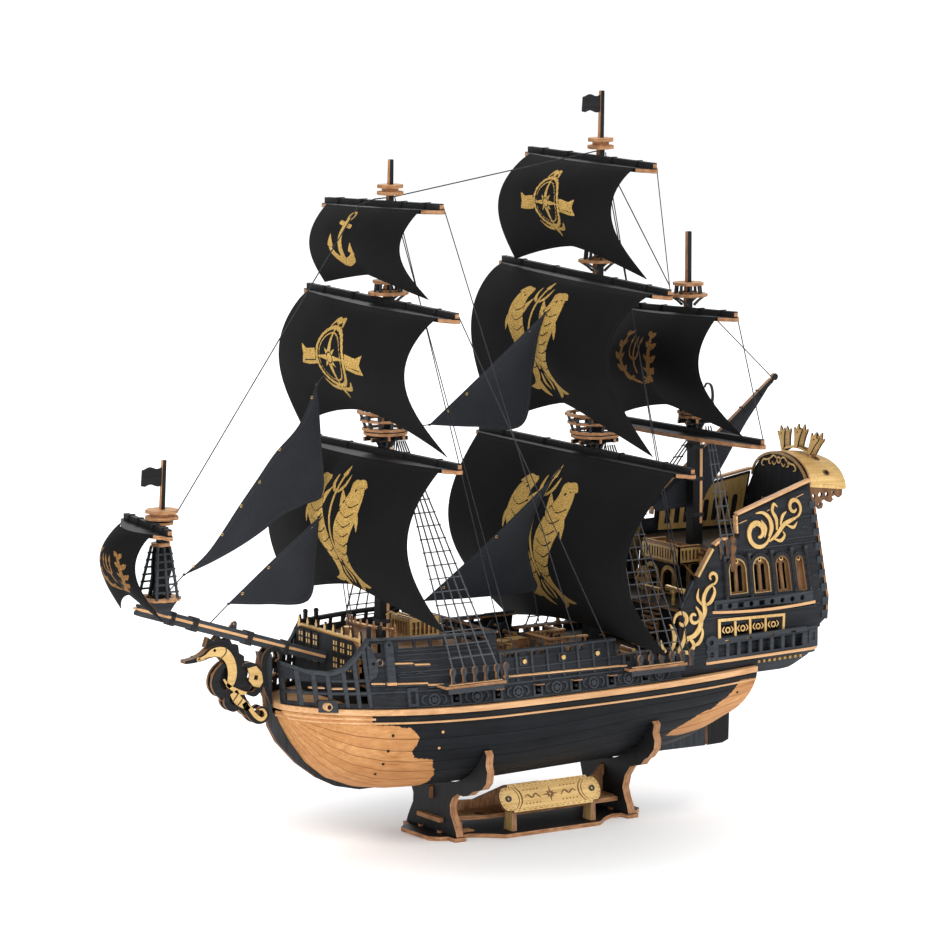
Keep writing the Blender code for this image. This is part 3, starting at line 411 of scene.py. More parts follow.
def ribbon(points, widths, n=6):
    """Outline of a brush stroke along a smooth line with a width at each point."""
    line = [Vector(p) for p in spline(points, n)]
    wide = [w[0] for w in spline([(w, 0) for w in widths], n)]
    left, right = [], []
    for k, p in enumerate(line):
        d = line[min(k + 1, len(line) - 1)] - line[max(k - 1, 0)]
        q = Vector((-d.y, d.x)).normalized() * max(wide[k], 0.12) / 2
        left.append((p.x + q.x, p.y + q.y))
        right.append((p.x - q.x, p.y - q.y))
    return left + right[::-1]


class Kit:
    """Shapes gathered into one piece; each shape has its own material."""

    def __init__(self, *mats):
        self.bm = bmesh.new()
        self.mats = list(mats)

    def index(self, mat):
        if mat not in self.mats:
            self.mats.append(mat)
        return self.mats.index(mat)

    def slab(self, outline, holes, place, face, edge=None):
        loops = [list(outline)] + [list(h) for h in holes]
        flat = [p for loop in loops for p in loop]
        tris = tessellate_polygon([[Vector((u, v, 0.0)) for u, v in loop] for loop in loops])
        low = [self.bm.verts.new(place(u, v, 0.0)) for u, v in flat]
        top = [self.bm.verts.new(place(u, v, 1.0)) for u, v in flat]
        fi, ei = self.index(face), self.index(edge or face)
        made = []
        for a, b, c in tris:
            for tri in ((low[a], low[b], low[c]), (top[c], top[b], top[a])):
                try:
                    f = self.bm.faces.new(tri)
                except ValueError:
                    continue
                f.material_index = fi
                made.append(f)
        start = 0
        for loop in loops:
            n = len(loop)
            for i in range(n):
                a, b = start + i, start + (i + 1) % n
                f = self.bm.faces.new((low[a], low[b], top[b], top[a]))
                f.material_index = ei
                made.append(f)
            start += n
        bmesh.ops.recalc_face_normals(self.bm, faces=made)
        return self

    def loft(self, rings, mat, caps=True, closed=False):
        made = [[self.bm.verts.new(p) for p in ring] for ring in rings]
        n, faces = len(made[0]), []
        for a, b in zip(made, made[1:]):
            for i in range(n):
                j = (i + 1) % n
                faces.append(self.bm.faces.new((a[i], a[j], b[j], b[i])))
        if caps:
            faces += [self.bm.faces.new(made[0]), self.bm.faces.new(list(reversed(made[-1])))]
        for f in faces:
            f.material_index = self.index(mat)
        bmesh.ops.recalc_face_normals(self.bm, faces=faces)
        return self

    def box(self, lo, hi, mat, chamfer=0.0):
        (x0, y0, z0), (x1, y1, z1) = lo, hi
        c = min(chamfer, abs(x1 - x0) / 3, abs(y1 - y0) / 3, abs(z1 - z0) / 3)
        if c <= 0:
            return self.loft([[(x0, y0, z0), (x1, y0, z0), (x1, y1, z0), (x0, y1, z0)], [(x0, y0, z1), (x1, y0, z1), (x1, y1, z1), (x0, y1, z1)]], mat)
        ring = lambda d, z: [(x0 + d, y0 + d, z), (x1 - d, y0 + d, z), (x1 - d, y1 - d, z), (x0 + d, y1 - d, z)]
        return self.loft([ring(c, z0), ring(0, z0 + c), ring(0, z1 - c), ring(c, z1)], mat)

    def turned(self, profile, at, mat, sides=14, axis="z"):
        rings = []
        for h, r in profile:
            ring = []
            for k in range(sides):
                a, b = r * math.cos(math.tau * (k + 0.5) / sides), r * math.sin(math.tau * (k + 0.5) / sides)
                p = {"z": (a, b, h), "y": (a, h, b), "x": (h, a, b)}[axis]
                ring.append((at[0] + p[0], at[1] + p[1], at[2] + p[2]))
            rings.append(ring)
        return self.loft(rings, mat)

    def tube(self, points, radius, mat, sides=6, closed=False):
        pts = [Vector(p) for p in points]
        rings = []
        for k, p in enumerate(pts):
            if closed:
                d = pts[(k + 1) % len(pts)] - pts[k - 1]
            else:
                d = pts[min(k + 1, len(pts) - 1)] - pts[max(k - 1, 0)]
            d.normalize()
            u = d.cross(Vector((0, 0, 1)) if abs(d.z) < 0.9 else Vector((1, 0, 0))).normalized()
            v = d.cross(u)
            r = radius[k] if isinstance(radius, (list, tuple)) else radius
            rings.append([p + (u * math.cos(math.tau * s / sides) + v * math.sin(math.tau * s / sides)) * r for s in range(sides)])
        if closed:
            rings.append(rings[0])
            return self.loft(rings, mat, caps=False)
        return self.loft(rings, mat)

    def store(self, name, body="ship", replaces=(), sharp=35, merge=False, slim=0.0):
        if merge:
            bmesh.ops.remove_doubles(self.bm, verts=self.bm.verts, dist=1e-4)
        if slim:
            for f in self.bm.faces:
                f.smooth = False
        for v in self.bm.verts:
            v.co = (v.co + DATUM) * MM
        mesh = bpy.data.meshes.new(name)
        self.bm.to_mesh(mesh)
        self.bm.free()
        mesh.shade_smooth()
        mesh.set_sharp_from_angle(angle=math.radians(sharp))
        for m in self.mats:
            mesh.materials.append(M[m] if isinstance(m, str) else m)
        made = bpy.data.objects.new(name, mesh)
        scene.collection.objects.link(made)
        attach(made, body)
        if replaces:
            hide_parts(*replaces)
        return made


def finish_node(name, mat):
    o = NODES[name]
    o.data.materials.clear()
    o.data.materials.append(M[mat] if isinstance(mat, str) else mat)


# ================================================================ hull form, as the part's
BASE_TOP, KEEL_Z, WALE_T, BEAM, BOW_X = -6.9, 30.0, 4.0, 77.0, -192.0
DECK_Z, FORE_Z, QUARTER_Z, POOP_Z = 115.5, 136.5, 148.5, 184.0
PLY_T = 2.0
RABBET = [(-191, 97), (-186, 86), (-178, 72), (-165, 55), (-150, 43), (-130, 35), (-110, 32), (-90, 31), (100, 31), (130, 33), (150, 37), (170, 45), (183, 51)]


def half_breadth(x):
    if x <= -25:
        return BEAM * math.sqrt(max(0.0, 1 - ((-25 - x) / (-25 - BOW_X)) ** 2.2))
    return BEAM - 10 * ((x + 25) / 211) ** 3


def sheer(x):
    return 95.8 + 3.2 * (abs(x - 10) / 190) ** 3


def section(x, s, skin=0.0):
    low = along(RABBET, x) + skin
    top = sheer(x) - WALE_T / 2 - 0.4
    wide = half_breadth(x) - skin
    full = 2.2 - 0.6 * min(1.0, max(0.0, (x + 20) / 115))
    a, power = s * math.pi / 2, 2 / full
    return (2.4 + (wide - 2.4) * max(0.0, math.sin(a)) ** power, low + (top - low) * (1 - max(0.0, math.cos(a)) ** power))


def side_y(x, z):
    return half_breadth(x) - 2.4 - 0.16 * (z - sheer(x) - WALE_T / 2)


LOWER_STERN = [(114, 69.5), (186, 64.5), (252, 57.0)]


def stern_y(x, z):
    mid = 65.5 - 0.04 * (x - 114)
    if z >= 145:
        return mid - (0.11 + 0.155 * max(0.0, x - 150) / 102) * (z - 145)
    return along(LOWER_STERN, x) + (mid - along(LOWER_STERN, x)) * (z - 100) / 45


def stern_top(x):
    return along([(114.4, 147.5), (130.7, 169.1), (152, 194.6), (174, 195.9), (175.6, 211.1), (251.8, 228)], x)


def on_side(side, a, b):
    return lambda u, v, w: (u, side * (side_y(u, v) + a + (b - a) * w), v)


def on_stern(side, a, b):
    return lambda u, v, w: (u, side * (stern_y(u, v) + a + (b - a) * w), v)


def dense(outline, step=4.0):
    out = []
    for a, b in zip(outline, outline[1:] + outline[:1]):
        n = max(1, math.ceil(math.hypot(b[0] - a[0], b[1] - a[1]) / step))
        out += [(a[0] + (b[0] - a[0]) * k / n, a[1] + (b[1] - a[1]) * k / n) for k in range(n)]
    return out


SIDES = ((-1, "port"), (1, "starboard"))


# ================================================================ numeric fields for painted and printed areas
def field_poly(x, z, points):
    """Signed distance to a polygon, positive inside."""
    p = np.array(points, float)
    q = np.roll(p, -1, axis=0)
    best, inside = np.full(x.shape, 1e9), np.zeros(x.shape, bool)
    for (ax, az), (bx, bz) in zip(p, q):
        dx, dz = bx - ax, bz - az
        t = np.clip(((x - ax) * dx + (z - az) * dz) / max(dx * dx + dz * dz, 1e-12), 0, 1)
        best = np.minimum(best, np.hypot(x - ax - t * dx, z - az - t * dz))
        cross = ((az > z) != (bz > z)) & (x < (bx - ax) * (z - az) / (bz - az if bz != az else 1e-12) + ax)
        inside ^= cross
    return np.where(inside, best, -best)


def field_seg(x, z, a, b, ra, rb=None):
    rb = ra if rb is None else rb
    dx, dz = b[0] - a[0], b[1] - a[1]
    t = np.clip(((x - a[0]) * dx + (z - a[1]) * dz) / max(dx * dx + dz * dz, 1e-12), 0, 1)
    return ra + (rb - ra) * t - np.hypot(x - a[0] - t * dx, z - a[1] - t * dz)


def field_path(x, z, points, radii):
    line = spline(points, 7)
    wide = [w[0] for w in spline([(r, 0) for r in radii], 7)]
    best = np.full(x.shape, -1e9)
    for k in range(len(line) - 1):
        best = np.maximum(best, field_seg(x, z, line[k], line[k + 1], max(wide[k], 0.05), max(wide[k + 1], 0.05)))
    return best


def field_disc(x, z, c, r):
    return r - np.hypot(x - c[0], z - c[1])


def field_ring(x, z, c, r, w):
    return w / 2 - np.abs(np.hypot(x - c[0], z - c[1]) - r)


def grid_piece(name, outer, inner, mats, body, attributes, closed_rim=True, sharp=50, replaces=()):
    """A closed skin from two grids of world-mm points (rows x columns x 3), with float attributes for both."""
    nu, nv = outer.shape[:2]
    verts = np.concatenate([outer.reshape(-1, 3), inner.reshape(-1, 3)])
    verts = (verts + np.array(DATUM)) * MM
    at = lambda i, j, k: k * nu * nv + i * nv + j
    faces = []
    for i in range(nu - 1):
        for j in range(nv - 1):
            faces.append((at(i, j, 0), at(i + 1, j, 0), at(i + 1, j + 1, 0), at(i, j + 1, 0)))
            faces.append((at(i, j + 1, 1), at(i + 1, j + 1, 1), at(i + 1, j, 1), at(i, j, 1)))
    body_faces = len(faces)
    for i in range(nu - 1):
        faces.append((at(i, 0, 0), at(i, 0, 1), at(i + 1, 0, 1), at(i + 1, 0, 0)))
        faces.append((at(i + 1, nv - 1, 0), at(i + 1, nv - 1, 1), at(i, nv - 1, 1), at(i, nv - 1, 0)))
    for j in range(nv - 1):
        faces.append((at(0, j + 1, 0), at(0, j + 1, 1), at(0, j, 1), at(0, j, 0)))
        faces.append((at(nu - 1, j, 0), at(nu - 1, j, 1), at(nu - 1, j + 1, 1), at(nu - 1, j + 1, 0)))
    mesh = bpy.data.meshes.new(name)
    mesh.from_pydata(verts.tolist(), [], faces)
    for key, values in attributes.items():
        data = mesh.attributes.new(key, "FLOAT", "POINT")
        flat = values.reshape(-1).astype(np.float32)
        back = np.full(flat.shape, -3.0, np.float32) if key == "print" else flat     # a sail is printed on its front only
        data.data.foreach_set("value", np.concatenate([flat, back]))
    for m in mats:
        mesh.materials.append(M[m] if isinstance(m, str) else m)
    if len(mats) > 1:
        index = np.zeros(len(faces), np.int32)
        index[body_faces:] = 1
        mesh.polygons.foreach_set("material_index", index)
    bm = bmesh.new()
    bm.from_mesh(mesh)
    bmesh.ops.recalc_face_normals(bm, faces=bm.faces)
    bm.to_mesh(mesh)
    bm.free()
    mesh.shade_smooth()
    mesh.set_sharp_from_angle(angle=math.radians(sharp))
    made = bpy.data.objects.new(name, mesh)
    scene.collection.objects.link(made)
    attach(made, body)
    if replaces:
        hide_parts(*replaces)
    return made


def attribute(nt, name):
    made = nt.nodes.new("ShaderNodeAttribute")
    made.attribute_name = name
    return made.outputs["Fac"]


# ================================================================ hull planking
def hull_material():
    m, nt, sh = new_mat("hull_planks", 0.6, 0.0, 0.14)
    natural, streaks = grain_colour(nt, (0.40, 0.165, 0.052), (0.70, 0.365, 0.148), "x", streak=330.0)
    dyed, _ = grain_colour(nt, (0.0040, 0.0044, 0.0053), (0.0118, 0.0132, 0.0160), "x", streak=330.0)
    tone = attribute(nt, "tone")
    natural = mix(nt, maths(nt, "MULTIPLY", tone, 0.55), natural, (0.46, 0.195, 0.066))
    dyed = mix(nt, maths(nt, "MULTIPLY", tone, 0.5), dyed, (0.0150, 0.0168, 0.0204))
    torn = noise(nt, (520, 520, 520), 4.0, 0.65)
    edge = maths(nt, "ADD", attribute(nt, "bare"), maths(nt, "MULTIPLY", maths(nt, "SUBTRACT", torn, 0.5), 2.6))
    bare = ramp(nt, maths(nt, "MULTIPLY_ADD", edge, 1.4, 0.5), [(0.30, (0, 0, 0)), (0.62, (1, 1, 1))])
    colour = mix(nt, bare, dyed, natural)
    seam = attribute(nt, "seam")
    dark = mix(nt, bare, (0.003, 0.003, 0.004), (0.15, 0.062, 0.024))
    colour = mix(nt, maths(nt, "MULTIPLY", seam, 0.8), colour, dark)
    nt.links.new(colour, sh.inputs["Base Color"])
    bump(nt, sh, maths(nt, "ADD", maths(nt, "MULTIPLY", streaks, 0.5), maths(nt, "MULTIPLY", bare, 0.8)), 0.22)
    return m


M["hull"] = hull_material()
SEAMS = [0.0, 0.14, 0.28, 0.41, 0.53, 0.64, 0.74, 0.84, 1.0]
BOW_BARE = [(-205, 15), (-205, 102), (-142, 102), (-142, 88.6), (-131, 88.0), (-124, 87.2), (-121, 85.0), (-117, 85.9), (-111, 82), (-108.9, 78.0),
            (-109.7, 73.6), (-112.6, 68.5), (-112.2, 66.0), (-109.6, 64.4), (-110.4, 62.6), (-105.1, 61.4), (-99, 60.6), (-95.0, 59.4), (-94.0, 55.6),
            (-92.6, 52.6), (-90.8, 51.6), (-89.5, 48.6), (-87.5, 47.4), (-87.9, 43.5), (-86, 40.2), (-88, 15)]
STERN_BARE = [(164, 84.5), (158, 78), (153, 75.5), (148.3, 70.6), (141, 69.8), (135, 66), (125.6, 60), (117.3, 54.2), (108, 52.6), (130, 50.0), (150, 51.0),
              (167, 53), (176, 57.5), (192, 62), (192, 91), (168, 92)]


def plank_grid(side, skin):
    xs = np.array(sorted(set([-189.4, -188.6, -187.5, -186, -184, -181.5] + [round(-179 + 1.65 * k, 3) for k in range(220)] + [184.0])))
    rows = []
    for a, b in zip(SEAMS, SEAMS[1:]):
        gap = 0.006
        rows += [(a + gap, 0.0, 0.0), (a + 2.2 * gap, -0.18, 0.0), ((a + b) / 2, -0.25, 0.0), (b - 2.2 * gap, -0.18, 0.0), (b - gap, 0.0, 0.0), (b, 0.42, 1.0)]
    rows = [(0.0, 0.0, 0.0)] + rows[:-1] + [(1.0, 0.0, 0.0)]
    pts = np.zeros((len(xs), len(rows), 3))
    seam, tone = np.zeros((len(xs), len(rows))), np.zeros((len(xs), len(rows)))
    for i, x in enumerate(xs):
        corners = [section(x, s, skin) for s in SEAMS]
        for j, (s, sink, dark) in enumerate(rows):
            k = min(len(SEAMS) - 2, max(0, next((n for n in range(len(SEAMS) - 1) if s <= SEAMS[n + 1]), 0)))
            t = (s - SEAMS[k]) / (SEAMS[k + 1] - SEAMS[k])
            (ya, za), (yb, zb) = corners[k], corners[k + 1]
            yc, zc = section(x, s, skin)
            y, z = 0.6 * (ya + (yb - ya) * t) + 0.4 * yc, 0.6 * (za + (zb - za) * t) + 0.4 * zc
            ny, nz = zb - za, -(yb - ya)
            size = math.hypot(ny, nz) or 1.0
            fade = min(1.0, (x + 189.5) / 6)
            pts[i, j] = (x, side * (y - sink * ny / size * fade), z - sink * nz / size * fade)
            seam[i, j] = dark
            tone[i, j] = (0.15, 0.8, 0.35, 0.95, 0.5, 0.1, 0.7, 0.3)[k]
    return pts, seam, tone


for side, word in SIDES:
    outer, seam, tone = plank_grid(side, 0.0)
    inner, _, _ = plank_grid(side, 2.0)
    bare = np.maximum(field_poly(outer[..., 0], outer[..., 2], BOW_BARE), field_poly(outer[..., 0], outer[..., 2], STERN_BARE))
    grid_piece(f"hull_planks_{word}", outer, inner, ["hull"], "ship", {"bare": np.clip(bare, -6, 6), "seam": seam, "tone": tone}, sharp=60,
               replaces=(f"planking_{word}",))


def skin_y(x, z):
    """Half breadth of the planked hull at a height."""
    lo, hi = 0.0, 1.0
    for _ in range(24):
        mid = (lo + hi) / 2
        if section(x, mid)[1] < z:
            lo = mid
        else:
            hi = mid
    return section(x, lo)[0]


def moulding(kit, xs, zmid, high, out_y, proud, mat, side, back=0.6):
    """A strip that follows the side: its middle height and the skin's half breadth are functions of x."""
    rings = []
    for x in xs:
        z = zmid(x)
        lo, hi = z - high / 2, z + high / 2
        rings.append([(x, side * (out_y(x, lo) - back), lo), (x, side * (out_y(x, lo) + proud), lo + 0.25), (x, side * (out_y(x, hi) + proud), hi - 0.25),
                      (x, side * (out_y(x, hi) - back), hi)])
    kit.loft(rings, mat)


def nail(kit, x, y, z, side, mat, r=0.95, out=0.55, normal=None):
    n = Vector(normal or (0.0, side, 0.0)).normalized()
    u = n.cross(Vector((0, 0, 1))).normalized()
    v = n.cross(u)
    at = Vector((x, y, z))
    kit.loft([[at + n * h + (u * math.cos(math.tau * k / 12) + v * math.sin(math.tau * k / 12)) * q for k in range(12)]
              for h, q in ((-0.5, r), (out * 0.6, r), (out, r * 0.7))], mat)


for side, word in SIDES:
    kit = Kit("birch", "dark")
    xs = [-189.4, -188.5, -187, -185, -182, -178, -172, -165, -156, -146, -134, -120, -105, -88, -70, -50, -25, 0, 30, 60, 90, 115, 140, 160, 175, 184]
    moulding(kit, xs, lambda x: sheer(x) - 7.6, 1.7, skin_y, 1.0, "birch", side)
    moulding(kit, [x for x in xs if x < -140] + [-140], lambda x: sheer(x) - 4.6, 1.9, skin_y, 0.8, "birch", side)
    moulding(kit, [-140] + [x for x in xs if x > -140], lambda x: sheer(x) - 4.6, 3.4, skin_y, 0.35, "black", side)
    kit.store(f"wale_strips_{word}")
    kit = Kit("dark", "birch")
    for x, z, m in ((-127.7, 80.5, "black"), (-129.5, 69.0, "black"), (-130.2, 58.7, "black"), (-131.9, 50.3, "black"), (168.3, 81.9, "dark"),
                    (-92.0, 80.9, "birch"), (-93.1, 68.9, "birch")):
        y = skin_y(x, z)
        up = (skin_y(x, z - 1) - skin_y(x, z + 1)) / 2
        ahead = (skin_y(x - 1, z) - skin_y(x + 1, z)) / 2
        n = Vector((ahead, 1.0, up)).normalized()
        nail(kit, x, side * (y + 0.15), z, side, m, 1.05, 0.5, (n.x, side * n.y, n.z))
    kit.store(f"hull_nails_{word}")


# ================================================================ pierced walls on a curved surface
def wall(name, xs, zs, point, low, top, openings, thick, mats, body="ship", replaces=(), step=4.0, sharp=40):
    """A thin wall of small cells between low(x) and top(x); openings are (x0, z0, x1, z1), and its cut edges are the second material."""
    cuts = sorted({round(v, 3) for o in openings for v in (o[0], o[2])} | {round(x, 3) for x in xs})
    line = [cuts[0]]
    for c in cuts[1:]:
        n = max(1, math.ceil((c - line[-1]) / step))
        a = line[-1]
        line += [a + (c - a) * k / n for k in range(1, n + 1)]
    levels = sorted({round(v, 3) for o in openings for v in (o[1], o[3])} | set(zs))
    bm = bmesh.new()
    verts = {}

    def corner(i, j):
        if (i, j) not in verts:
            x = line[i]
            z = min(max(levels[j], low(x)), top(x))
            verts[i, j] = bm.verts.new([(a + b) * MM for a, b in zip(point(x, z), DATUM)])
        return verts[i, j]

    for i in range(len(line) - 1):
        xm = (line[i] + line[i + 1]) / 2
        for j in range(len(levels) - 1):
            zm = (levels[j] + levels[j + 1]) / 2
            if levels[j + 1] <= max(low(line[i]), low(line[i + 1])) + 0.02 or levels[j] >= min(top(line[i]), top(line[i + 1])) - 0.02:
                continue
            if any(o[0] < xm < o[2] and o[1] < zm < o[3] for o in openings):
                continue
            bm.faces.new((corner(i, j), corner(i + 1, j), corner(i + 1, j + 1), corner(i, j + 1)))
    mesh = bpy.data.meshes.new(name)
    bm.to_mesh(mesh)
    bm.free()
    mesh.shade_smooth()
    for m in mats:
        mesh.materials.append(M[m])
    made = bpy.data.objects.new(name, mesh)
    scene.collection.objects.link(made)
    solid = made.modifiers.new("thickness", "SOLIDIFY")
    solid.thickness = thick * MM
    solid.offset = 0.0
    solid.use_even_offset = False
    solid.material_offset_rim = 1
    solid.use_rim = True
    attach(made, body)
    if replaces:
        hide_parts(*replaces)
    return made


# ================================================================ cloth
def cloth_material(name, base, print_tones, weave=0.9):
    m, nt, sh = new_mat(name, 0.95, 0.0, 0.06, sheen=0.02)
    uv = nt.nodes.new("ShaderNodeUVMap")
    uv.uv_map = "cloth_mm"
    parts = add(nt, "ShaderNodeSeparateXYZ", Vector=uv.outputs[0])
    warp = maths(nt, "SINE", maths(nt, "MULTIPLY", parts.outputs[0], math.tau / 0.55))
    weft = maths(nt, "SINE", maths(nt, "MULTIPLY", parts.outputs[1], math.tau / 0.55))
    threads = maths(nt, "MULTIPLY", warp, weft)
    fuzz = noise(nt, (1900, 1900, 1900), 3.0, 0.6)
    slow = noise(nt, (22, 22, 22), 2.0)
    tone = maths(nt, "ADD", maths(nt, "MULTIPLY", fuzz, 0.65), maths(nt, "MULTIPLY", slow, 0.4))
    colour = ramp(nt, tone, [(0.35, shade(base, 0.72)), (0.70, shade(base, 1.32))])
    printed = attribute(nt, "print")
    speck = noise(nt, (1500, 1500, 1500), 3.0, 0.7)
    ink = ramp(nt, maths(nt, "ADD", maths(nt, "MULTIPLY", printed, 1.5), maths(nt, "ADD", 0.5, maths(nt, "MULTIPLY", maths(nt, "SUBTRACT", speck, 0.55), 0.8))),
               [(0.36, (0, 0, 0)), (0.60, (1, 1, 1))])
    worn = ramp(nt, speck, [(0.36, shade(print_tones[0], 0.55)), (0.50, print_tones[0]), (0.60, print_tones[1])])
    colour = mix(nt, ink, colour, worn)
    hem = attribute(nt, "hem")
    stitch_run = maths(nt, "GREATER_THAN", maths(nt, "SINE", maths(nt, "MULTIPLY", maths(nt, "ADD", parts.outputs[0], parts.outputs[1]), math.tau / 1.9)), -0.25)
    stitch = maths(nt, "MULTIPLY", maths(nt, "LESS_THAN", maths(nt, "ABSOLUTE", maths(nt, "SUBTRACT", hem, 2.4)), 0.16), stitch_run)
    colour = mix(nt, maths(nt, "MULTIPLY", stitch, 0.55), colour, shade(base, 3.2))
    nt.links.new(colour, sh.inputs["Base Color"])
    fold = maths(nt, "LESS_THAN", hem, 3.0)
    height = maths(nt, "ADD", maths(nt, "MULTIPLY", threads, 0.18), maths(nt, "ADD", maths(nt, "MULTIPLY", fold, 0.9), maths(nt, "MULTIPLY", fuzz, 0.25)))
    bump(nt, sh, height, 0.30, 0.00025)
    return m


PRINT = ((0.46, 0.275, 0.070), (0.80, 0.555, 0.190))
M["sail"] = cloth_material("black_sail_cloth", (0.0088, 0.0088, 0.0092), PRINT)
M["sail_brown"] = cloth_material("black_sail_cloth_brown_print", (0.0080, 0.0080, 0.0084), ((0.20, 0.095, 0.030), (0.42, 0.235, 0.085)))
M["jib"] = cloth_material("slate_sail_cloth", (0.029, 0.031, 0.036), PRINT)


def cloth(name, point, nu, nv, motif, mat, body="ship", thick=0.55, replaces=(), edge=None, wave=0.0):
    """A sail point(u, v) in mm with u, v from 0 to 1; motif(s, t) is a field in mm, s to the viewer's right seen from ahead, t down."""
    grid = np.array([[point(i / nu, j / nv) for j in range(nv + 1)] for i in range(nu + 1)], float)
    du = np.gradient(grid, axis=0)
    dv = np.gradient(grid, axis=1)
    normal = np.cross(du, dv)
    normal /= np.maximum(np.linalg.norm(normal, axis=2, keepdims=True), 1e-9)
    down = np.concatenate([np.zeros((nu + 1, 1)), np.cumsum(np.linalg.norm(np.diff(grid, axis=1), axis=2), axis=1)], axis=1)
    across = -grid[..., 1]
    uu, vv = np.meshgrid(np.arange(nu + 1) / nu, np.arange(nv + 1) / nv, indexing="ij")
    wide = np.linalg.norm(np.diff(grid, axis=0), axis=2).sum(0)[None, :]
    tall = down[:, -1][:, None]
    hem = np.minimum.reduce([uu * wide, (1 - uu) * wide, vv * tall, (1 - vv) * tall])
    printed = motif(across, down) if motif else np.full(uu.shape, -3.0)
    outer, inner = grid + normal * thick / 2, grid - normal * thick / 2
    made = grid_piece(name, outer, inner, [mat], body, {"print": np.clip(printed, -3, 3), "hem": np.minimum(hem, 8)}, sharp=60, replaces=replaces)
    uv = made.data.uv_layers.new(name="cloth_mm")
    loop = np.zeros(len(made.data.loops), np.int32)
    made.data.loops.foreach_get("vertex_index", loop)
    flat = np.stack([across.reshape(-1), down.reshape(-1)], axis=1)
    flat = np.concatenate([flat, flat])[loop]
    uv.data.foreach_set("uv", flat.astype(np.float32).reshape(-1))
    quad = grid[1:, 1:] - grid[:-1, :-1], grid[1:, :-1] - grid[:-1, 1:]
    area = float(np.linalg.norm(np.cross(*quad), axis=2).sum() / 2) * 1e-6
    return made, area


# ---------------------------------------------------------------- printed designs, all of common kinds
def anchor_field(s, t, c, h, tilt=0.0):
    """A plain anchor of height h round c, t down."""
    ca, sa = math.cos(tilt), math.sin(tilt)
    x, y = (s - c[0]) * ca + (t - c[1]) * sa, -(s - c[0]) * sa + (t - c[1]) * ca
    k = h / 40.0
    f = field_seg(x, y, (0, -13 * k), (0, 17 * k), 2.1 * k, 2.7 * k)
    f = np.maximum(f, field_ring(x, y, (0, -16.5 * k), 3.4 * k, 1.9 * k))
    f = np.maximum(f, field_seg(x, y, (-8 * k, -9.5 * k), (8 * k, -9.5 * k), 1.5 * k))
    f = np.maximum(f, field_path(x, y, [(-14 * k, 5 * k), (-11.5 * k, 12 * k), (-5 * k, 17 * k), (0, 19 * k), (5 * k, 17 * k), (11.5 * k, 12 * k), (14 * k, 5 * k)],
                                 [0.8 * k, 2.6 * k, 3.2 * k, 3.6 * k, 3.2 * k, 2.6 * k, 0.8 * k]))
    for m in (-1, 1):
        f = np.maximum(f, field_poly(x, y, [(m * 16.5 * k, 9 * k), (m * 13.6 * k, -0.5 * k), (m * 8.6 * k, 7.6 * k)]))
    return f


def rope_field(x, y, points, r, pitch=2.4):
    return field_path(x, y, points, [r] * len(points))


def medallion_field(s, t, c, k, banner=True):
    """A rope ring with a compass star in it, crossed by a plain ribbon banner."""
    x, y = s - c[0], t - c[1]
    ring = field_ring(x, y * 0.80, (0, 0), 14.5 * k, 2.4 * k)
    notch = np.sin(np.arctan2(y * 0.80, x) * 28) * 0.5
    ring = np.maximum(ring + np.minimum(notch, 0), field_ring(x, y * 0.80, (0, 0), 11.6 * k, 0.8 * k))
    star = np.full(x.shape, -1e9)
    for n in range(8):
        a = math.tau * n / 8
        r = (15.5 if n % 2 == 0 else 8.5) * k
        q = (math.sin(a) * r, -math.cos(a) * r * (1.42 if n in (0, 4) else 1.0))
        b = 2.1 * k
        star = np.maximum(star, field_poly(x, y, [q, (math.cos(a) * b, math.sin(a) * b), (-math.cos(a) * b, -math.sin(a) * b)]))
    hub = np.minimum(-field_ring(x, y, (0, 0), 3.2 * k, 0.9 * k), star)
    f = np.maximum(np.maximum(ring, hub), field_disc(x, y, (0, 0), 1.6 * k))
    if banner:
        for m in (-1, 1):
            body = field_poly(x, y, [(m * 16.5 * k, -4.0 * k), (m * 27 * k, -2.6 * k), (m * 33.5 * k, -5.4 * k), (m * 30.8 * k, 0.8 * k), (m * 33.5 * k, 6.4 * k),
                                     (m * 26 * k, 6.6 * k), (m * 16.0 * k, 5.2 * k)])
            line = np.minimum(field_seg(x, y, (m * 17 * k, 2.9 * k), (m * 30 * k, 4.4 * k), 0.35 * k), 1)
            f = np.maximum(f, np.minimum(body, -line))
            f = np.maximum(f, field_path(x, y, [(m * 4 * k, 21 * k), (m * 10 * k, 19.5 * k), (m * 14.5 * k, 14 * k)], [1.5 * k, 1.3 * k, 0.4 * k]))
    f = np.maximum(f, field_poly(x, y, [(-2.4 * k, 20 * k), (2.4 * k, 20 * k), (0, 29 * k)]))
    f = np.maximum(f, field_path(x, y, [(-6 * k, -19 * k), (-3 * k, -24 * k), (0, -22 * k), (3 * k, -24 * k), (6 * k, -19 * k)], [0.6 * k, 1.5 * k, 1.9 * k, 1.5 * k, 0.6 * k]))
    return f


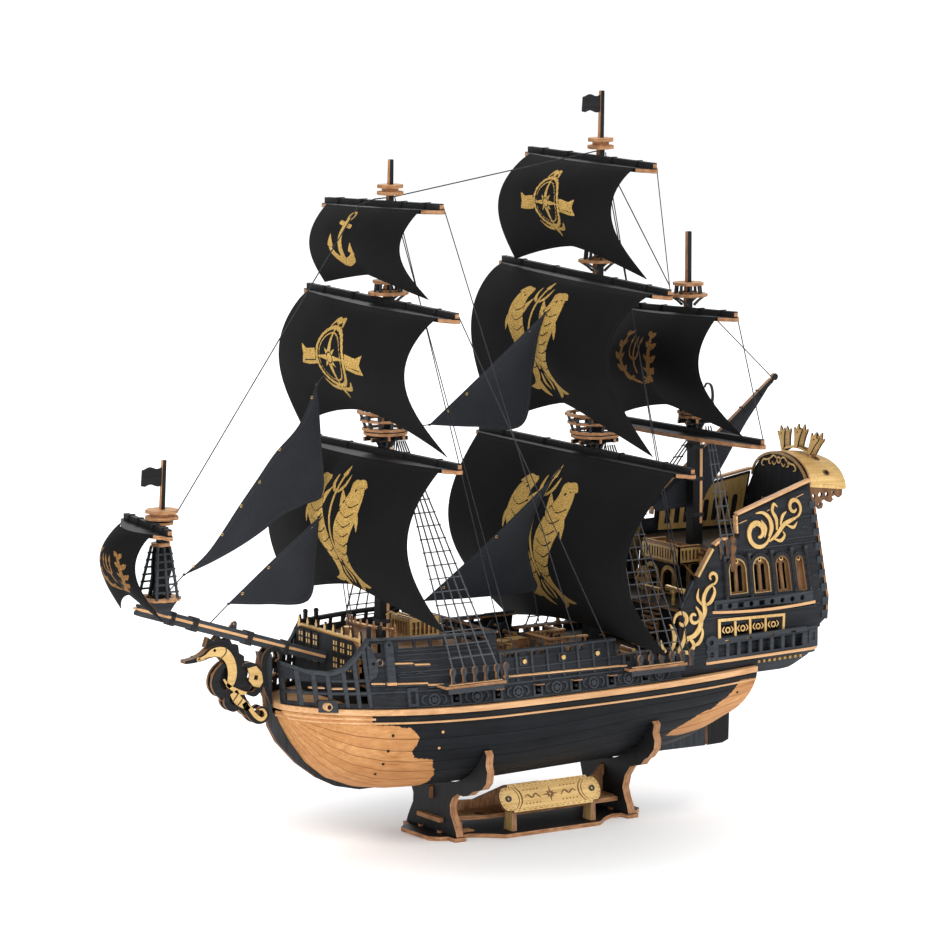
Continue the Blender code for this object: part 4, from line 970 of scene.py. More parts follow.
def dolphins_field(s, t, c, k):
    """Two leaping fish back to back over a trident, with leaf scrolls: an old sea ornament."""
    x, y = s - c[0], t - c[1]
    f = np.full(x.shape, -1e9)
    for m in (-1, 1):
        u = x * m
        body = field_path(u, y, [(15.5 * k, -28 * k), (20.5 * k, -21 * k), (19.0 * k, -9 * k), (12.5 * k, 4 * k), (7.5 * k, 17 * k), (7.0 * k, 29 * k), (11 * k, 38 * k)],
                          [3.0 * k, 6.8 * k, 8.8 * k, 8.0 * k, 5.8 * k, 3.6 * k, 1.8 * k])
        beak = field_path(u, y, [(16 * k, -27 * k), (21.5 * k, -29.5 * k), (27 * k, -26.5 * k)], [3.0 * k, 2.1 * k, 0.8 * k])
        tail = np.maximum(field_path(u, y, [(9 * k, 35 * k), (14 * k, 42 * k), (21 * k, 43 * k)], [1.4 * k, 2.6 * k, 0.5 * k]),
                          field_path(u, y, [(9 * k, 35 * k), (9.5 * k, 44 * k), (5 * k, 50 * k)], [1.4 * k, 2.5 * k, 0.5 * k]))
        fin = field_poly(u, y, [(12 * k, -18 * k), (5.5 * k, -23.5 * k), (9.5 * k, -10 * k)])
        side_fin = field_path(u, y, [(22 * k, -12 * k), (27.5 * k, -6 * k), (28.5 * k, 1.5 * k)], [2.4 * k, 2.0 * k, 0.4 * k])
        fish = np.maximum.reduce([body, beak, tail, fin, side_fin])
        lines = np.full(x.shape, -1e9)
        for q in range(7):
            yy = (-14 + 6.4 * q) * k
            xx = (19.2 - 0.33 * (yy / k + 14)) * k
            lines = np.maximum(lines, field_path(u, y, [(xx - 7 * k, yy - 1.6 * k), (xx, yy + 1.8 * k), (xx + 7 * k, yy - 1.4 * k)], [0.42 * k] * 3))
        fish = np.minimum(fish, -lines)
        fish = np.minimum(fish, -field_disc(u, y, (18.6 * k, -23.6 * k), 1.05 * k))
        fish = np.minimum(fish, -field_path(u, y, [(21 * k, -25.2 * k), (24 * k, -26.0 * k)], [0.4 * k, 0.35 * k]))
        f = np.maximum(f, fish)
        f = np.maximum(f, field_path(u, y, [(1.2 * k, 30 * k), (3.2 * k, 38 * k), (1.4 * k, 44 * k)], [0.5 * k, 1.3 * k, 0.4 * k]))
        f = np.maximum(f, field_path(u, y, [(2.5 * k, -21 * k), (6 * k, -25.5 * k), (6.4 * k, -33 * k)], [1.0 * k, 1.3 * k, 0.4 * k]))
    f = np.maximum(f, field_seg(x, y, (0, -32 * k), (0, 26 * k), 1.0 * k))
    f = np.maximum(f, field_poly(x, y, [(0, -41 * k), (-2.5 * k, -32 * k), (2.5 * k, -32 * k)]))
    return f


def shield_field(s, t, c, k):
    """A leaf wreath round a small trident."""
    x, y = s - c[0], t - c[1]
    f = np.full(x.shape, -1e9)
    for m in (-1, 1):
        u = x * m
        stem = field_path(u, y, [(1.5 * k, 19 * k), (10 * k, 15 * k), (14.5 * k, 5 * k), (14 * k, -6 * k), (9.5 * k, -15.5 * k)], [1.0 * k, 1.7 * k, 1.7 * k, 1.3 * k, 0.4 * k])
        f = np.maximum(f, stem)
        for q, (a, b) in enumerate(((9.5, 16.5), (13.6, 10.2), (15.2, 2.6), (14.6, -5.2), (12.0, -12.4))):
            ang = 0.75 - 0.5 * q
            out = (a * k + math.cos(ang) * 6.4 * k, b * k - math.sin(1.05 - 0.12 * q) * 4.6 * k)
            f = np.maximum(f, field_path(u, y, [(a * k, b * k), ((a * k + out[0]) / 2, (b * k + out[1]) / 2 + 0.8 * k), out], [0.6 * k, 1.9 * k, 0.2 * k]))
            inn = (a * k - 5.0 * k, b * k - 3.6 * k)
            f = np.maximum(f, field_path(u, y, [(a * k, b * k), ((a * k + inn[0]) / 2, (b * k + inn[1]) / 2 + 0.6 * k), inn], [0.5 * k, 1.2 * k, 0.2 * k]))
    f = np.maximum(f, field_seg(x, y, (0, -8 * k), (0, 11 * k), 0.9 * k))
    for m in (-1, 0, 1):
        f = np.maximum(f, field_path(x, y, [(0, 3 * k), (m * 4.4 * k, 0), (m * 4.6 * k, -8 * k)], [0.7 * k, 0.8 * k, 0.35 * k]))
        f = np.maximum(f, field_poly(x, y, [(m * 4.6 * k - 1.5 * k, -7 * k), (m * 4.6 * k + 1.5 * k, -7 * k), (m * 4.6 * k, -12.5 * k)]))
    return f


# ---------------------------------------------------------------- square sails
FORWARD = 8.5
SAILS = {
    "fore_course": (-102.9, 274.4, 110.0, -0.010, 99.0, 12.0, 106.0, 6.0, 25.4, 0.9, -1.3, 113.0, 20.5, 1.25),
    "fore_topsail": (-99.4, 381.4, 101.0, 0.018, 88.5, 8.0, 99.5, 7.0, 26.0, 0.82, 1.4, 97.6, 22.5, 1.7),
    "fore_topgallant": (-97.5, 450.5, 78.0, -0.042, 63.5, 6.0, 70.6, 5.1, 16.9, 0.9, 2.4, 59.4, 11.8, 1.1),
    "main_course": (74.0, 262.2, 139.5, 0.0, 129.7, 3.0, 106.1, 0.5, 39.1, 0.97, 11.6, 137.0, 12.0, 1.6),
    "main_topsail": (74.6, 390.1, 108.7, 0.030, 98.2, 7.0, 104.0, 10.0, 30.8, 0.72, -2.0, 118.5, 28.0, 1.2),
    "main_topgallant": (80.0, 475.7, 81.6, 0.010, 68.3, 6.0, 86.0, 1.8, 23.4, 0.8, -1.0, 78.6, 17.0, 1.35),
    "mizzen_topsail": (161.5, 359.5, 68.5, -0.040, 56.5, 8.0, 78.0, 1.8, 24.7, 0.9, 8.5, 83.4, 16.0, 1.3),
    "sprit_sail": (-289.5, 236.3, 31.7, 0.060, 22.4, 9.0, 30.0, 0.2, 16.4, 0.8, 3.2, 60.8, 15.0, 1.4),
}
TOGETHER = {"fore_topgallant", "main_topgallant", "mizzen_topsail", "sprit_sail"}
PRINTS = {
    "fore_topgallant": lambda s, t: anchor_field(s, t, (-9, 27), 43, 0.20),
    "fore_topsail": lambda s, t: medallion_field(s, t, (-2, 47), 1.24),
    "fore_course": lambda s, t: dolphins_field(s, t, (11, 54), 1.14),
    "main_topgallant": lambda s, t: medallion_field(s, t, (-2, 40), 1.06),
    "main_topsail": lambda s, t: dolphins_field(s, t, (-2, 52), 1.12),
    "main_course": lambda s, t: dolphins_field(s, t, (4, 66), 1.34),
    "mizzen_topsail": lambda s, t: shield_field(s, t, (-6, 38), 1.25),
    "sprit_sail": lambda s, t: shield_field(s, t, (0, 34), 0.98),
}


def square_sail(x, z, half, roll, head, bow, clew, hollow, belly, power, reach, drop, arch, arch_power):
    def point(a, v):
        u = 2 * a - 1
        wide = head + (clew - head) * v - hollow * math.sin(math.pi * v)
        swell = bow * (1 - u * u) + belly * math.sin(math.pi * v ** power)
        swell -= reach * v * (1 - 0.06 * reach * (1 - u * u))
        ripple = 0.22 * math.sin(u * 9.0) * math.sin(math.pi * min(1.0, v * 1.3)) * (1 - v)
        return (x - FORWARD - swell + ripple, u * wide, z - 1.9 + roll * u * wide * (1 - v) - (drop - arch * (1 - abs(u) ** arch_power)) * v)
    return point


SHEETS = {}
for name, row in SAILS.items():
    x, z, half, roll, head, bow = row[:6]
    nu, nv = max(40, int(2 * max(head, row[6]) / 1.35)), max(40, int(row[11] * 1.12 / 1.35))
    sail, area = cloth(f"{name}_cloth", square_sail(*row), nu, nv, PRINTS[name], "sail_brown" if name in ("mizzen_topsail", "sprit_sail") else "sail",
                       replaces=(name,) if name not in TOGETHER else ())
    width = 2 * max(head, row[6]) * MM
    SHEETS[name] = (sail, width, area)
    # The crescent batten and the yard on it.
    kit = Kit("ply_z", "black")
    edge = [(x - FORWARD - bow * (1 - u * u) + 0.45, head * u) for u in steps(-1.0, 1.0, 28)]
    mid = head + 0.55 * (half - head)
    tip = spline([(x + 2, -half + 2), (x + 2, -half), (x + 1.2, -half - 2.2), (x - 1.0, -half - 3.0), (x - 3.2, -half - 1.4), (x - 0.5 * FORWARD, -half + 3.0), (x - 0.72 * FORWARD, -mid),
                  (x - FORWARD + 0.2, -head - 1.0)], 4)
    outline = tip + edge + [(a, -b) for a, b in reversed(tip)]
    kit.slab(outline, [], lambda u, v, w, z=z, roll=roll: (u, v, z - 4.6 + 3.0 * w + roll * v), "black", "black")
    for s in (-1, 1):                                       # the tips keep their natural cut edge
        end = [(a - 0.12, -s * b) for a, b in tip]
        grown = [(a, b + s * 0.14) for a, b in end] + [(x + 1.6, s * (head + 1.0))]
        kit.slab(grown, [], lambda u, v, w, z=z, roll=roll: (u, v, z - 4.4 + 2.6 * w + roll * v), "black", "edge_z")
    c = 0.35
    rings = []
    for y, d in ((-half, c), (-half + c, 0.0), (half - c, 0.0), (half, c)):
        zy, h = z + roll * y, 2.0 - d
        rings.append([(x - h, y, zy - h + 0.3), (x + h, y, zy - h + 0.3), (x + h, y, zy + h + 0.6), (x - h, y, zy + h + 0.6)])
    kit.loft(rings, "black")
    for s in (-1, 1):
        kit.loft([[(x + a * 1.5, y, z + roll * y + 0.3 + b * 1.5) for a, b in ((-1, -1), (1, -1), (1, 1), (-1, 1))] for y in (s * (half - 1.0), s * (half + 0.3))], "edge_z")
    for y in [k * half / 4 for k in (-3, -1.4, 1.4, 3)]:                     # thread lashings that hold yard and batten
        for d in (-1.0, 0.0, 1.0):
            zy = z + roll * (y + d)
            kit.tube([(x - 2.5, y + d, zy - 5.0), (x - 2.7, y + d, zy + 2.9), (x + 2.6, y + d, zy + 2.9), (x + 2.5, y + d, zy - 5.0)], 0.42, "thread", 6, closed=True)
    SHEETS[name] += (kit.store(f"{name}_spar", replaces=(f"{name}_yard",) if name not in TOGETHER else (name,)),)

kit = Kit("ply_z", "black")
edge = [(166.6 - FORWARD - 6 * (1 - u * u) + 0.5, 84 * u) for u in steps(-1.0, 1.0, 24)]
tip = spline([(168.6, -94), (168.6, -96), (167.8, -98.2), (165.6, -99.0), (163.4, -97.4), (162.0, -93.0), (159.9, -90.0), (158.3, -84.6)], 4)
kit.slab(tip + edge + [(a, -b) for a, b in reversed(tip)], [], lambda u, v, w: (u, v, 269.8 - 4.6 + 3.0 * w - 0.016 * v), "black", "edge_z")
kit.loft([[(166.6 + a * (2 - d), y, 269.8 - 0.016 * y + b * (2 - d) + 0.3) for a, b in ((-1, -1), (1, -1), (1, 1), (-1, 1))]
          for y, d in ((-96, 0.35), (-95.6, 0), (95.6, 0), (96, 0.35))], "black")
kit.store("crossjack_spar", replaces=("crossjack_yard",))

for name, (sail, width, area, spar) in SHEETS.items():
    drop = SAILS[name][11] * MM


# ---------------------------------------------------------------- fore-and-aft sails
def flat_sail(name, top, left, right, place, nodes, nu=46, nv=46, holes=(), billow=1.2):
    """A sail between a left and a right edge, each a list of (x, z) from the head down; it bellies a little."""
    a, b = spline(left, 8), spline(right, 8)

    def at(line, t):
        k = min(len(line) - 2, int(t * (len(line) - 1)))
        f = t * (len(line) - 1) - k
        return line[k][0] + (line[k + 1][0] - line[k][0]) * f, line[k][1] + (line[k + 1][1] - line[k][1]) * f

    def point(u, v):
        (xa, za), (xb, zb) = at(a, v), at(b, v)
        x, z = xa + (xb - xa) * u, za + (zb - za) * u
        return place(x, z, billow * math.sin(math.pi * u) * math.sin(math.pi * min(1.0, 0.08 + v)))
    sail, area = cloth(name, point, nu, nv, None, "jib", replaces=nodes)
    return sail, area, point


def stay_place(low, high, offset, y0=0.0):
    return lambda x, z, b: (x, y0 - offset * (z - low) / (high - low) - b, z)


JIBS = {}
JIBS["outer_jib_cloth"] = flat_sail("outer_jib_cloth", None, [(-153.0, 325.2), (-167, 298), (-187, 279), (-202, 261), (-217, 243), (-232, 224), (-244, 211), (-260.6, 198.9)],
                                    [(-152.2, 325.0), (-149.5, 286), (-148, 247.8), (-164, 240.2), (-182, 234), (-198, 224.2), (-216, 215), (-238, 206), (-260.4, 198.7)],
                                    lambda x, z, b: (x, -b, z), ("outer_jib",))
JIBS["inner_jib_cloth"] = flat_sail("inner_jib_cloth", None, [(-151.8, 230.2), (-188, 204), (-225.6, 175.2)], [(-151.4, 230), (-154.5, 200), (-160.5, 171.4), (-195, 171.8), (-225.4, 174.9)],
                                    lambda x, z, b: (x, -b, z), ("inner_jib",))
JIBS["main_topmast_staysail_cloth"] = flat_sail("main_topmast_staysail_cloth", None, [(28.4, 366.6), (-17, 327), (-59.6, 290.2)],
                                                [(28.9, 366), (25.4, 350), (24.2, 325), (21, 284.2), (-20, 285.7), (-59.4, 290.0)], stay_place(284, 367, 17.0), ("main_topmast_staysail",))
JIBS["main_staysail_cloth"] = flat_sail("main_staysail_cloth", None, [(39.0, 245.2), (-11, 203), (-64.1, 162.2)],
                                        [(39.4, 245), (29.6, 226), (23.0, 206), (23.4, 190), (28.6, 174), (30.8, 161.2), (-16, 160.5), (-63.9, 162.0)], stay_place(161, 245.6, 12.0), ("main_staysail",))
JIBS["lateen_cloth"] = flat_sail("lateen_cloth", None, [(252.0, 301.0), (215, 272.2), (180, 244.6), (143.4, 215.9)],
                                 [(251.6, 300.4), (239, 284), (226, 268), (209, 243), (193, 221), (185, 211.2), (165, 210), (146.4, 209.2), (143.6, 214.6)], lambda x, z, b: (x, 9.5 - b * 0.5, z), ("lateen_sail",))
for name, hung in (("outer_jib_cloth", "fore_topsail_spar"), ("inner_jib_cloth", "bowsprit"), ("main_topmast_staysail_cloth", "fore_mast"), ("main_staysail_cloth", "fore_mast"),
                   ("lateen_cloth", "mizzen_mast")):
    sail, area, _ = JIBS[name]
    co = np.array([v.co for v in sail.data.vertices])[:, [0, 2]]
    best = None                                              # the smallest rectangle of cloth the sail can be cut from
    for k in range(90):
        c, q = math.cos(math.pi * k / 180), math.sin(math.pi * k / 180)
        turned = co @ np.array([[c, -q], [q, c]])
        wide, tall = sorted(float(v) for v in turned.max(0) - turned.min(0))
        if best is None or wide * tall < best[0] * best[1]:
            best = (wide, tall)


# ================================================================ masts
def fore_x(z):
    return -99 + 0.0254 * (z - 166)


def main_x(z):
    return 84 + 0.02 * (z - 267)


def mizzen_x(z):
    return 174.0 if z <= 291 else (167.0 if z >= 300 else 174.0 - 7.0 * (z - 291) / 9)


def sprit_x(z):
    return -281.5 + 0.055 * (z - 183)


def pole(kit, x_at, z0, z1, w0, w1, mat="ply_y", dx=0.0, y=0.0):
    kit.loft([[(x_at(z) + dx + a * h, y + b * h, z) for a, b in ((-1, -1), (1, -1), (1, 1), (-1, 1))]
              for z, h in ((z0, w0 / 2 - 0.3), (z0 + 0.4, w0 / 2), (z1 - 0.4, w1 / 2), (z1, w1 / 2 - 0.3))], mat)


def plate(kit, outline, holes, at, t, face="ply_z", edge=None):
    kit.slab(outline, holes, lambda u, v, w: (at[0] + u, at[1] + v, at[2] + t * w), face, edge)


def lobed(r, n, deep, turn=0.0, count=64):
    return [((r - deep * (0.5 - 0.5 * math.cos(n * (a + turn)))) * math.cos(a), (r - deep * (0.5 - 0.5 * math.cos(n * (a + turn)))) * math.sin(a))
            for a in (math.tau * k / count for k in range(count))]


def top_basket(kit, x, z0, z1, r0, r1, posts=12):
    """A round fighting top: floor, leaning posts and two rims, on crossed bearers."""
    for y in (-5.2, 5.2):
        kit.box((x - r0 + 1, y - 1, z0 - 4.6), (x + r0 - 1, y + 1, z0 - 1.6), "ply_y", 0.2)
    for dx in (-6.2, 6.2):
        kit.box((x + dx - 1, -r0 + 1, z0 - 3.2), (x + dx + 1, r0 - 1, z0 - 0.1), "ply_x", 0.2)
    plate(kit, lobed(r0, 16, 0.7), [rect(-3.4, -3.4, 3.4, 3.4)], (x, 0, z0), 2.0)
    plate(kit, lobed(r0 + 1.0, 16, 0.5), [list(reversed(circle(0, 0, r0 - 3.4, 40)))], (x, 0, z0 + 3.0), 1.8, "natural_z")
    for k in range(8):                                        # curved bearers under the floor
        a = math.tau * (k + 0.5) / 8
        c, s = math.cos(a), math.sin(a)
        kit.loft([[(x + c * (r + u * h) - s * v * 0.8, s * (r + u * h) + c * v * 0.8, z) for u, v in ((-1, -1), (1, -1), (1, 1), (-1, 1))]
                  for z, r, h in ((z0 - 9.0, 4.6, 0.6), (z0 - 5.0, 6.2, 1.2), (z0 - 2.2, (r0 + 6) / 2, 1.8), (z0 - 0.2, r0 - 3.4, 2.6))], "slate")
    mid = (z0 + z1) / 2 + 1.0
    rm = r0 + (r1 - r0) * 0.55
    for z, r, face in ((mid, rm, "ply_z"), (z1 - 1.9, r1, "natural_z")):
        plate(kit, lobed(r, posts, 0.9), [list(reversed(circle(0, 0, r - 3.6, 40)))], (x, 0, z), 1.9, face)
    for k in range(posts):
        a = math.tau * (k + 0.5) / posts
        c, s = math.cos(a), math.sin(a)
        rings = []
        for z, r in ((z0 + 1.6, r0 - 2.4), (z1 - 1.6, r1 - 1.9)):
            rings.append([(x + c * (r + u * 0.8) - s * v * 1.0, s * (r + u * 0.8) + c * v * 1.0, z) for u, v in ((-1, -1), (1, -1), (1, 1), (-1, 1))])
        kit.loft(rings, "slate")


def masthead(kit, x_at, z0, z1, r, r2, arms=True):
    """Doubling of two masts: two plates with a curved bracket each side."""
    x = x_at((z0 + z1) / 2)
    plate(kit, lobed(r, 12, 0.8), [rect(-2.4, -2.4, 2.4, 2.4)], (x, 0, z0), 2.0, "natural_z")
    plate(kit, lobed(r2, 8, 1.1), [rect(-2.2, -2.2, 2.2, 2.2)], (x, 0, z1 - 2.2), 2.2, "natural_z")
    plate(kit, lobed(r2 * 0.62, 6, 0.6), [rect(-2.2, -2.2, 2.2, 2.2)], (x, 0, z0 + 2.0), 1.6, "ply_z")
    for k in range(8):
        a = math.tau * (k + 0.5) / 8
        c, s = math.cos(a), math.sin(a)
        kit.loft([[(x + c * (q + u * 0.7) - s * v * 0.9, s * (q + u * 0.7) + c * v * 0.9, z) for u, v in ((-1, -1), (1, -1), (1, 1), (-1, 1))]
                  for z, q in ((z0 + 1.5, r2 - 1.6), (z1 - 2.0, r2 - 2.4))], "slate")
    if arms:
        for s in (-1, 1):
            arc = ribbon([(x - 3.0, z0 - 6.5), (x - 7.5, z0 - 3.0), (x - r + 1.2, z0 + 0.4)], [1.5, 1.3, 1.0])
            kit.slab(arc, [], across_y(s * 3.4 - 0.9, s * 3.4 + 0.9), "slate", "brown")
            arc = ribbon([(x + 3.0, z0 - 6.5), (x + 7.5, z0 - 3.0), (x + r - 1.2, z0 + 0.4)], [1.5, 1.3, 1.0])
            kit.slab(arc, [], across_y(s * 3.4 - 0.9, s * 3.4 + 0.9), "slate", "brown")


def cap_tiers(kit, x, z0, z1, r):
    t = (z1 - z0) / 3
    plate(kit, lobed(r, 8, 0.9), [], (x, 0, z0), t, "natural_z")
    plate(kit, lobed(r * 0.66, 6, 0.5), [], (x, 0, z0 + t), t, "ply_z")
    plate(kit, lobed(r * 0.98, 8, 0.9, 0.3), [], (x, 0, z0 + 2 * t), t, "natural_z")


def flag(kit, x, y, z0, z1, long):
    """A stiff little black flag, cut with a wave."""
    n = 9
    top = [(x - 1.4 - long * k / n, z1 - 0.9 * math.sin(k * 0.85) - 0.02 * k) for k in range(n + 1)]
    low = [(x - 1.4 - long * k / n, z0 - 0.9 * math.sin(k * 0.85) + 0.02 * k) for k in range(n, -1, -1)]
    top[-1] = (top[-1][0] - 0.4, top[-1][1])
    low[0] = (low[0][0] - 1.2, low[0][1] + 1.0)
    kit.slab(top + low, [], across_y(y - 0.6, y + 0.6), "black")


for name, x_at, deck_z, tops in (("fore_mast", fore_x, DECK_Z + 0.35, dict(low=(8.4, 7.4, 291), mid=(6.0, 5.4, 284, 392), high=(4.4, 4.0, 386, 462), pole=(3.3, 3.0, 464, 482))),
                                 ("main_mast", main_x, DECK_Z + 0.35, dict(low=(9.4, 8.0, 280), mid=(6.6, 5.8, 268, 404), high=(4.8, 4.4, 396, 486), pole=(3.3, 3.0, 489.6, 524.5))),
                                 ("mizzen_mast", mizzen_x, QUARTER_Z + 0.35, dict(low=(9.4, 8.0, 290), mid=(5.2, 4.8, 300, 374), high=(3.6, 3.4, 372, 418), pole=None))):
    kit = Kit("ply_y")
    t = tops["low"]
    pole(kit, x_at, deck_z, t[2], t[0], t[1], "black_z")
    w2 = t[1] / 2
    for s in (-1, 1):
        kit.loft([[(x_at(z) + a, s * b, z) for a, b in ((w2 - 2.3, w2 - 0.4), (w2 + 0.05, w2 - 0.4), (w2 + 0.05, w2 + 0.45), (w2 - 2.3, w2 + 0.45))] for z in (deck_z + 2, t[2] - 6)], "birch_z")
    for z in ([150, 176, 204, 232] if name != "mizzen_mast" else [205, 232, 256]):      # thread bands round the lower mast
        for k in range(3):
            x, h = x_at(z), t[0] / 2 + 0.1
            kit.tube([(x - h, -h, z + k * 1.0), (x + h, -h, z + k * 1.0), (x + h, h, z + k * 1.0), (x - h, h, z + k * 1.0)], 0.5, "thread", 6, closed=True)
    q = tops["mid"]
    pole(kit, x_at, q[2], q[3], q[0], q[1])
    q = tops["high"]
    pole(kit, x_at, q[2], q[3], q[0], q[1])
    if tops["pole"]:
        q = tops["pole"]
        pole(kit, x_at, q[2] - 3, q[3], q[0], q[1])
    if name == "fore_mast":
        top_basket(kit, x_at(290), 286.0, 303.0, 16.0, 20.6)
        masthead(kit, x_at, 386.0, 396.2, 14.6, 11.4)
        cap_tiers(kit, x_at(460), 457.0, 464.2, 9.7)
    elif name == "main_mast":
        top_basket(kit, x_at(280), 271.0, 289.0, 18.0, 22.3)
        masthead(kit, x_at, 399.5, 411.2, 14.9, 12.0)
        cap_tiers(kit, x_at(486), 482.2, 490.2, 9.8)
        flag(kit, x_at(516), 0, 509.5, 521.5, 14.5)
    else:
        top_basket(kit, 174.0, 279.0, 290.0, 12.6, 14.4, 10)
        pole(kit, lambda z: 174.0 + (167.0 - 174.0) * max(0.0, min(1.0, (z - 288) / 14)), 288.0, 303.0, 6.4, 5.4)
        masthead(kit, x_at, 369.8, 380.2, 14.6, 11.6)
        kit.box((164.0, -1.0, 300), (164.9, 1.0, 368), "birch_z")                     # the natural strip on the topmast's front
        kit.slab(ribbon([(183.5, 281.5), (188.5, 286.5), (190.0, 294.0), (188.5, 301.5), (184.5, 303.5), (182.5, 300.5)], [1.5, 1.7, 1.5, 1.4, 1.1, 0.6]), [], across_y(-0.9, 0.9), "slate")
    kit.store(f"{name}_built", replaces=(name,))


# ---------------------------------------------------------------- rigging
def thread(name, route, d, mat="thread", replaces=()):
    pts = [Vector(p) for p in route]
    runs = [(b - a).length for a, b in zip(pts, pts[1:])]
    line = [pts[0]]
    for (a, b), run in zip(zip(pts, pts[1:]), runs):
        n = max(1, round(run / 16))
        line += [a.lerp(b, (k + 1) / n) for k in range(n)]
    curve = bpy.data.curves.new(name, "CURVE")
    curve.dimensions = "3D"
    line_spline = curve.splines.new("POLY")
    line_spline.points.add(len(line) - 1)
    for dot, p in zip(line_spline.points, line):
        dot.co = (*((p + DATUM) * MM), 1.0)
    curve.bevel_depth = d / 2 * MM
    curve.bevel_resolution = 2
    curve.use_fill_caps = True
    curve.materials.append(M[mat])
    made = bpy.data.objects.new(name, curve)
    scene.collection.objects.link(made)
    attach(made, "ship")
    if replaces:
        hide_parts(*replaces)
    return made


GANGS = (("fore", -88.0, -51.0, 77.6, 114.9, 126.0, -89.5, -83.0, 5.2, 281.0, 5), ("main", 73.5, 110.5, 76.4, 111.9, 119.5, 90.0, 97.6, 5.6, 264.5, 5),
         ("mizzen", 156.5, 168.0, 59.6, 184.6, 195.0, 180.0, 184.5, 5.4, 272.0, 3))
for gang, foot_a, foot_b, foot_y, deck_z, foot_z, head_a, head_b, head_y, head_z, strands in GANGS:
    for side, word in SIDES:
        ends = []
        for k in range(strands):
            share = k / (strands - 1)
            ends.append((Vector((foot_a + (foot_b - foot_a) * share, side * foot_y, foot_z)),
                         Vector((head_a + (head_b - head_a) * share, side * head_y, head_z))))
        rungs = Kit("thread_pale")
        count = 15 if gang != "mizzen" else 7
        for r in range(count):
            t = 0.05 + 0.86 * r / count
            row = [a.lerp(b, t) for a, b in ends]
            out = (row[-1] - row[0]).normalized()
            rungs.tube([row[0] - out * 1.2] + row + [row[-1] + out * 1.2], 0.48, "thread_pale", 5)
            for p in row:
                rungs.tube([p - out * 0.8, p, p + out * 0.8], 0.62, "thread_pale", 5)
        made_rungs = rungs.store(f"{gang}_ratlines_{word}")
        for k, (a, b) in enumerate(ends):
            thread(f"{gang}_shroud_{word}_{k + 1}", [a, b], 1.15, "thread_pale", replaces=(f"{gang}_shrouds",) if (side < 0 and k == 0) else ())
        # Deadeye posts on the channel, one for each strand and one more at the after end.
        posts = Kit("slate_x", "birch")
        n = strands + 1 if gang != "mizzen" else strands
        for k in range(n):
            x = foot_a + (foot_b - foot_a) * k / (strands - 1) if k < strands else foot_b + (foot_b - foot_a) / (strands - 1) * 0.85
            y = side * foot_y
            lean = 0.6
            outline = [(-1.3, deck_z - 3.0), (1.3, deck_z - 3.0), (1.0, deck_z + 1.6), (1.0, foot_z - 5.0), (1.9, foot_z - 3.4), (2.2, foot_z - 1.4), (1.7, foot_z + 0.4), (0.6, foot_z + 1.2),
                       (-0.6, foot_z + 1.2), (-1.7, foot_z + 0.4), (-2.2, foot_z - 1.4), (-1.9, foot_z - 3.4), (-1.0, foot_z - 5.0), (-1.0, deck_z + 1.6)]
            posts.slab(outline, [list(reversed(circle(0, foot_z - 1.3, 0.7, 8)))], lambda u, v, w, x=x, y=y: (x + u, y + side * (w - 0.5) * 1.8, v), "slate_y")
            posts.slab(circle(0, deck_z + 1.9, 1.5, 10), [], lambda u, v, w, x=x, y=y: (x + u, y + side * (0.9 + 0.5 * w), v), "slate_y")
        posts.store(f"{gang}_deadeyes_{word}")

thread("masthead_stay_thread", [(-265.4, 1.5, 243.0), (-116.6, 1.5, 450.6), (-102.6, 2.6, 454.2), (-95.6, 4.0, 454.3), (-88.0, 4.0, 454.6),
                                (82.0, 4.2, 479.4), (86.0, 4.6, 480.0), (92.0, 4.2, 480.0), (151.4, 1.5, 378.0)], 0.9, replaces=("masthead_stay",))
for name, a, b in (
        ("fore_backstay_port_1", (fore_x(456) + 2.4, -2.4, 455.5), (-41.5, -78.6, 121.0)),
        ("fore_backstay_port_2", (fore_x(448) + 2.4, -2.4, 447.5), (-36.0, -77.0, 135.0)),
        ("fore_backstay_starboard", (fore_x(456) + 2.4, 2.4, 455.5), (-41.5, 78.6, 121.0)),
        ("fore_topgallant_brace", (-95.0, -76.6, 453.8), (19.0, -75.6, 134.0)),
        ("fore_topsail_brace", (-97.0, -99.6, 379.5), (44.0, -75.2, 134.0)),
        ("main_leech_line", (82.0, -80.8, 474.5), (76.0, -107.2, 388.6)),
        ("main_backstay_port_1", (main_x(480) + 2.6, -2.6, 479.5), (116.2, -76.2, 118.0)),
        ("main_backstay_port_2", (main_x(470) + 2.6, -2.6, 469.0), (119.0, -66.4, 153.6)),
        ("main_backstay_starboard", (main_x(480) + 2.6, 2.6, 479.5), (116.2, 76.2, 118.0)),
        ("mizzen_leech_line", (163.0, -68.0, 361.0), (168.4, -95.0, 270.4)),
        ("lateen_spar_lift", (163.6, -34.0, 359.8), (250.5, 9.0, 303.0)),
        ("fore_clew_line_1", (-119.0, 22.0, 180.2), (-143.0, -30.0, 146.5)),
        ("fore_clew_line_2", (-121.5, 12.0, 181.8), (-143.0, -34.0, 146.5))):
    thread(name, [a, b], 0.8)

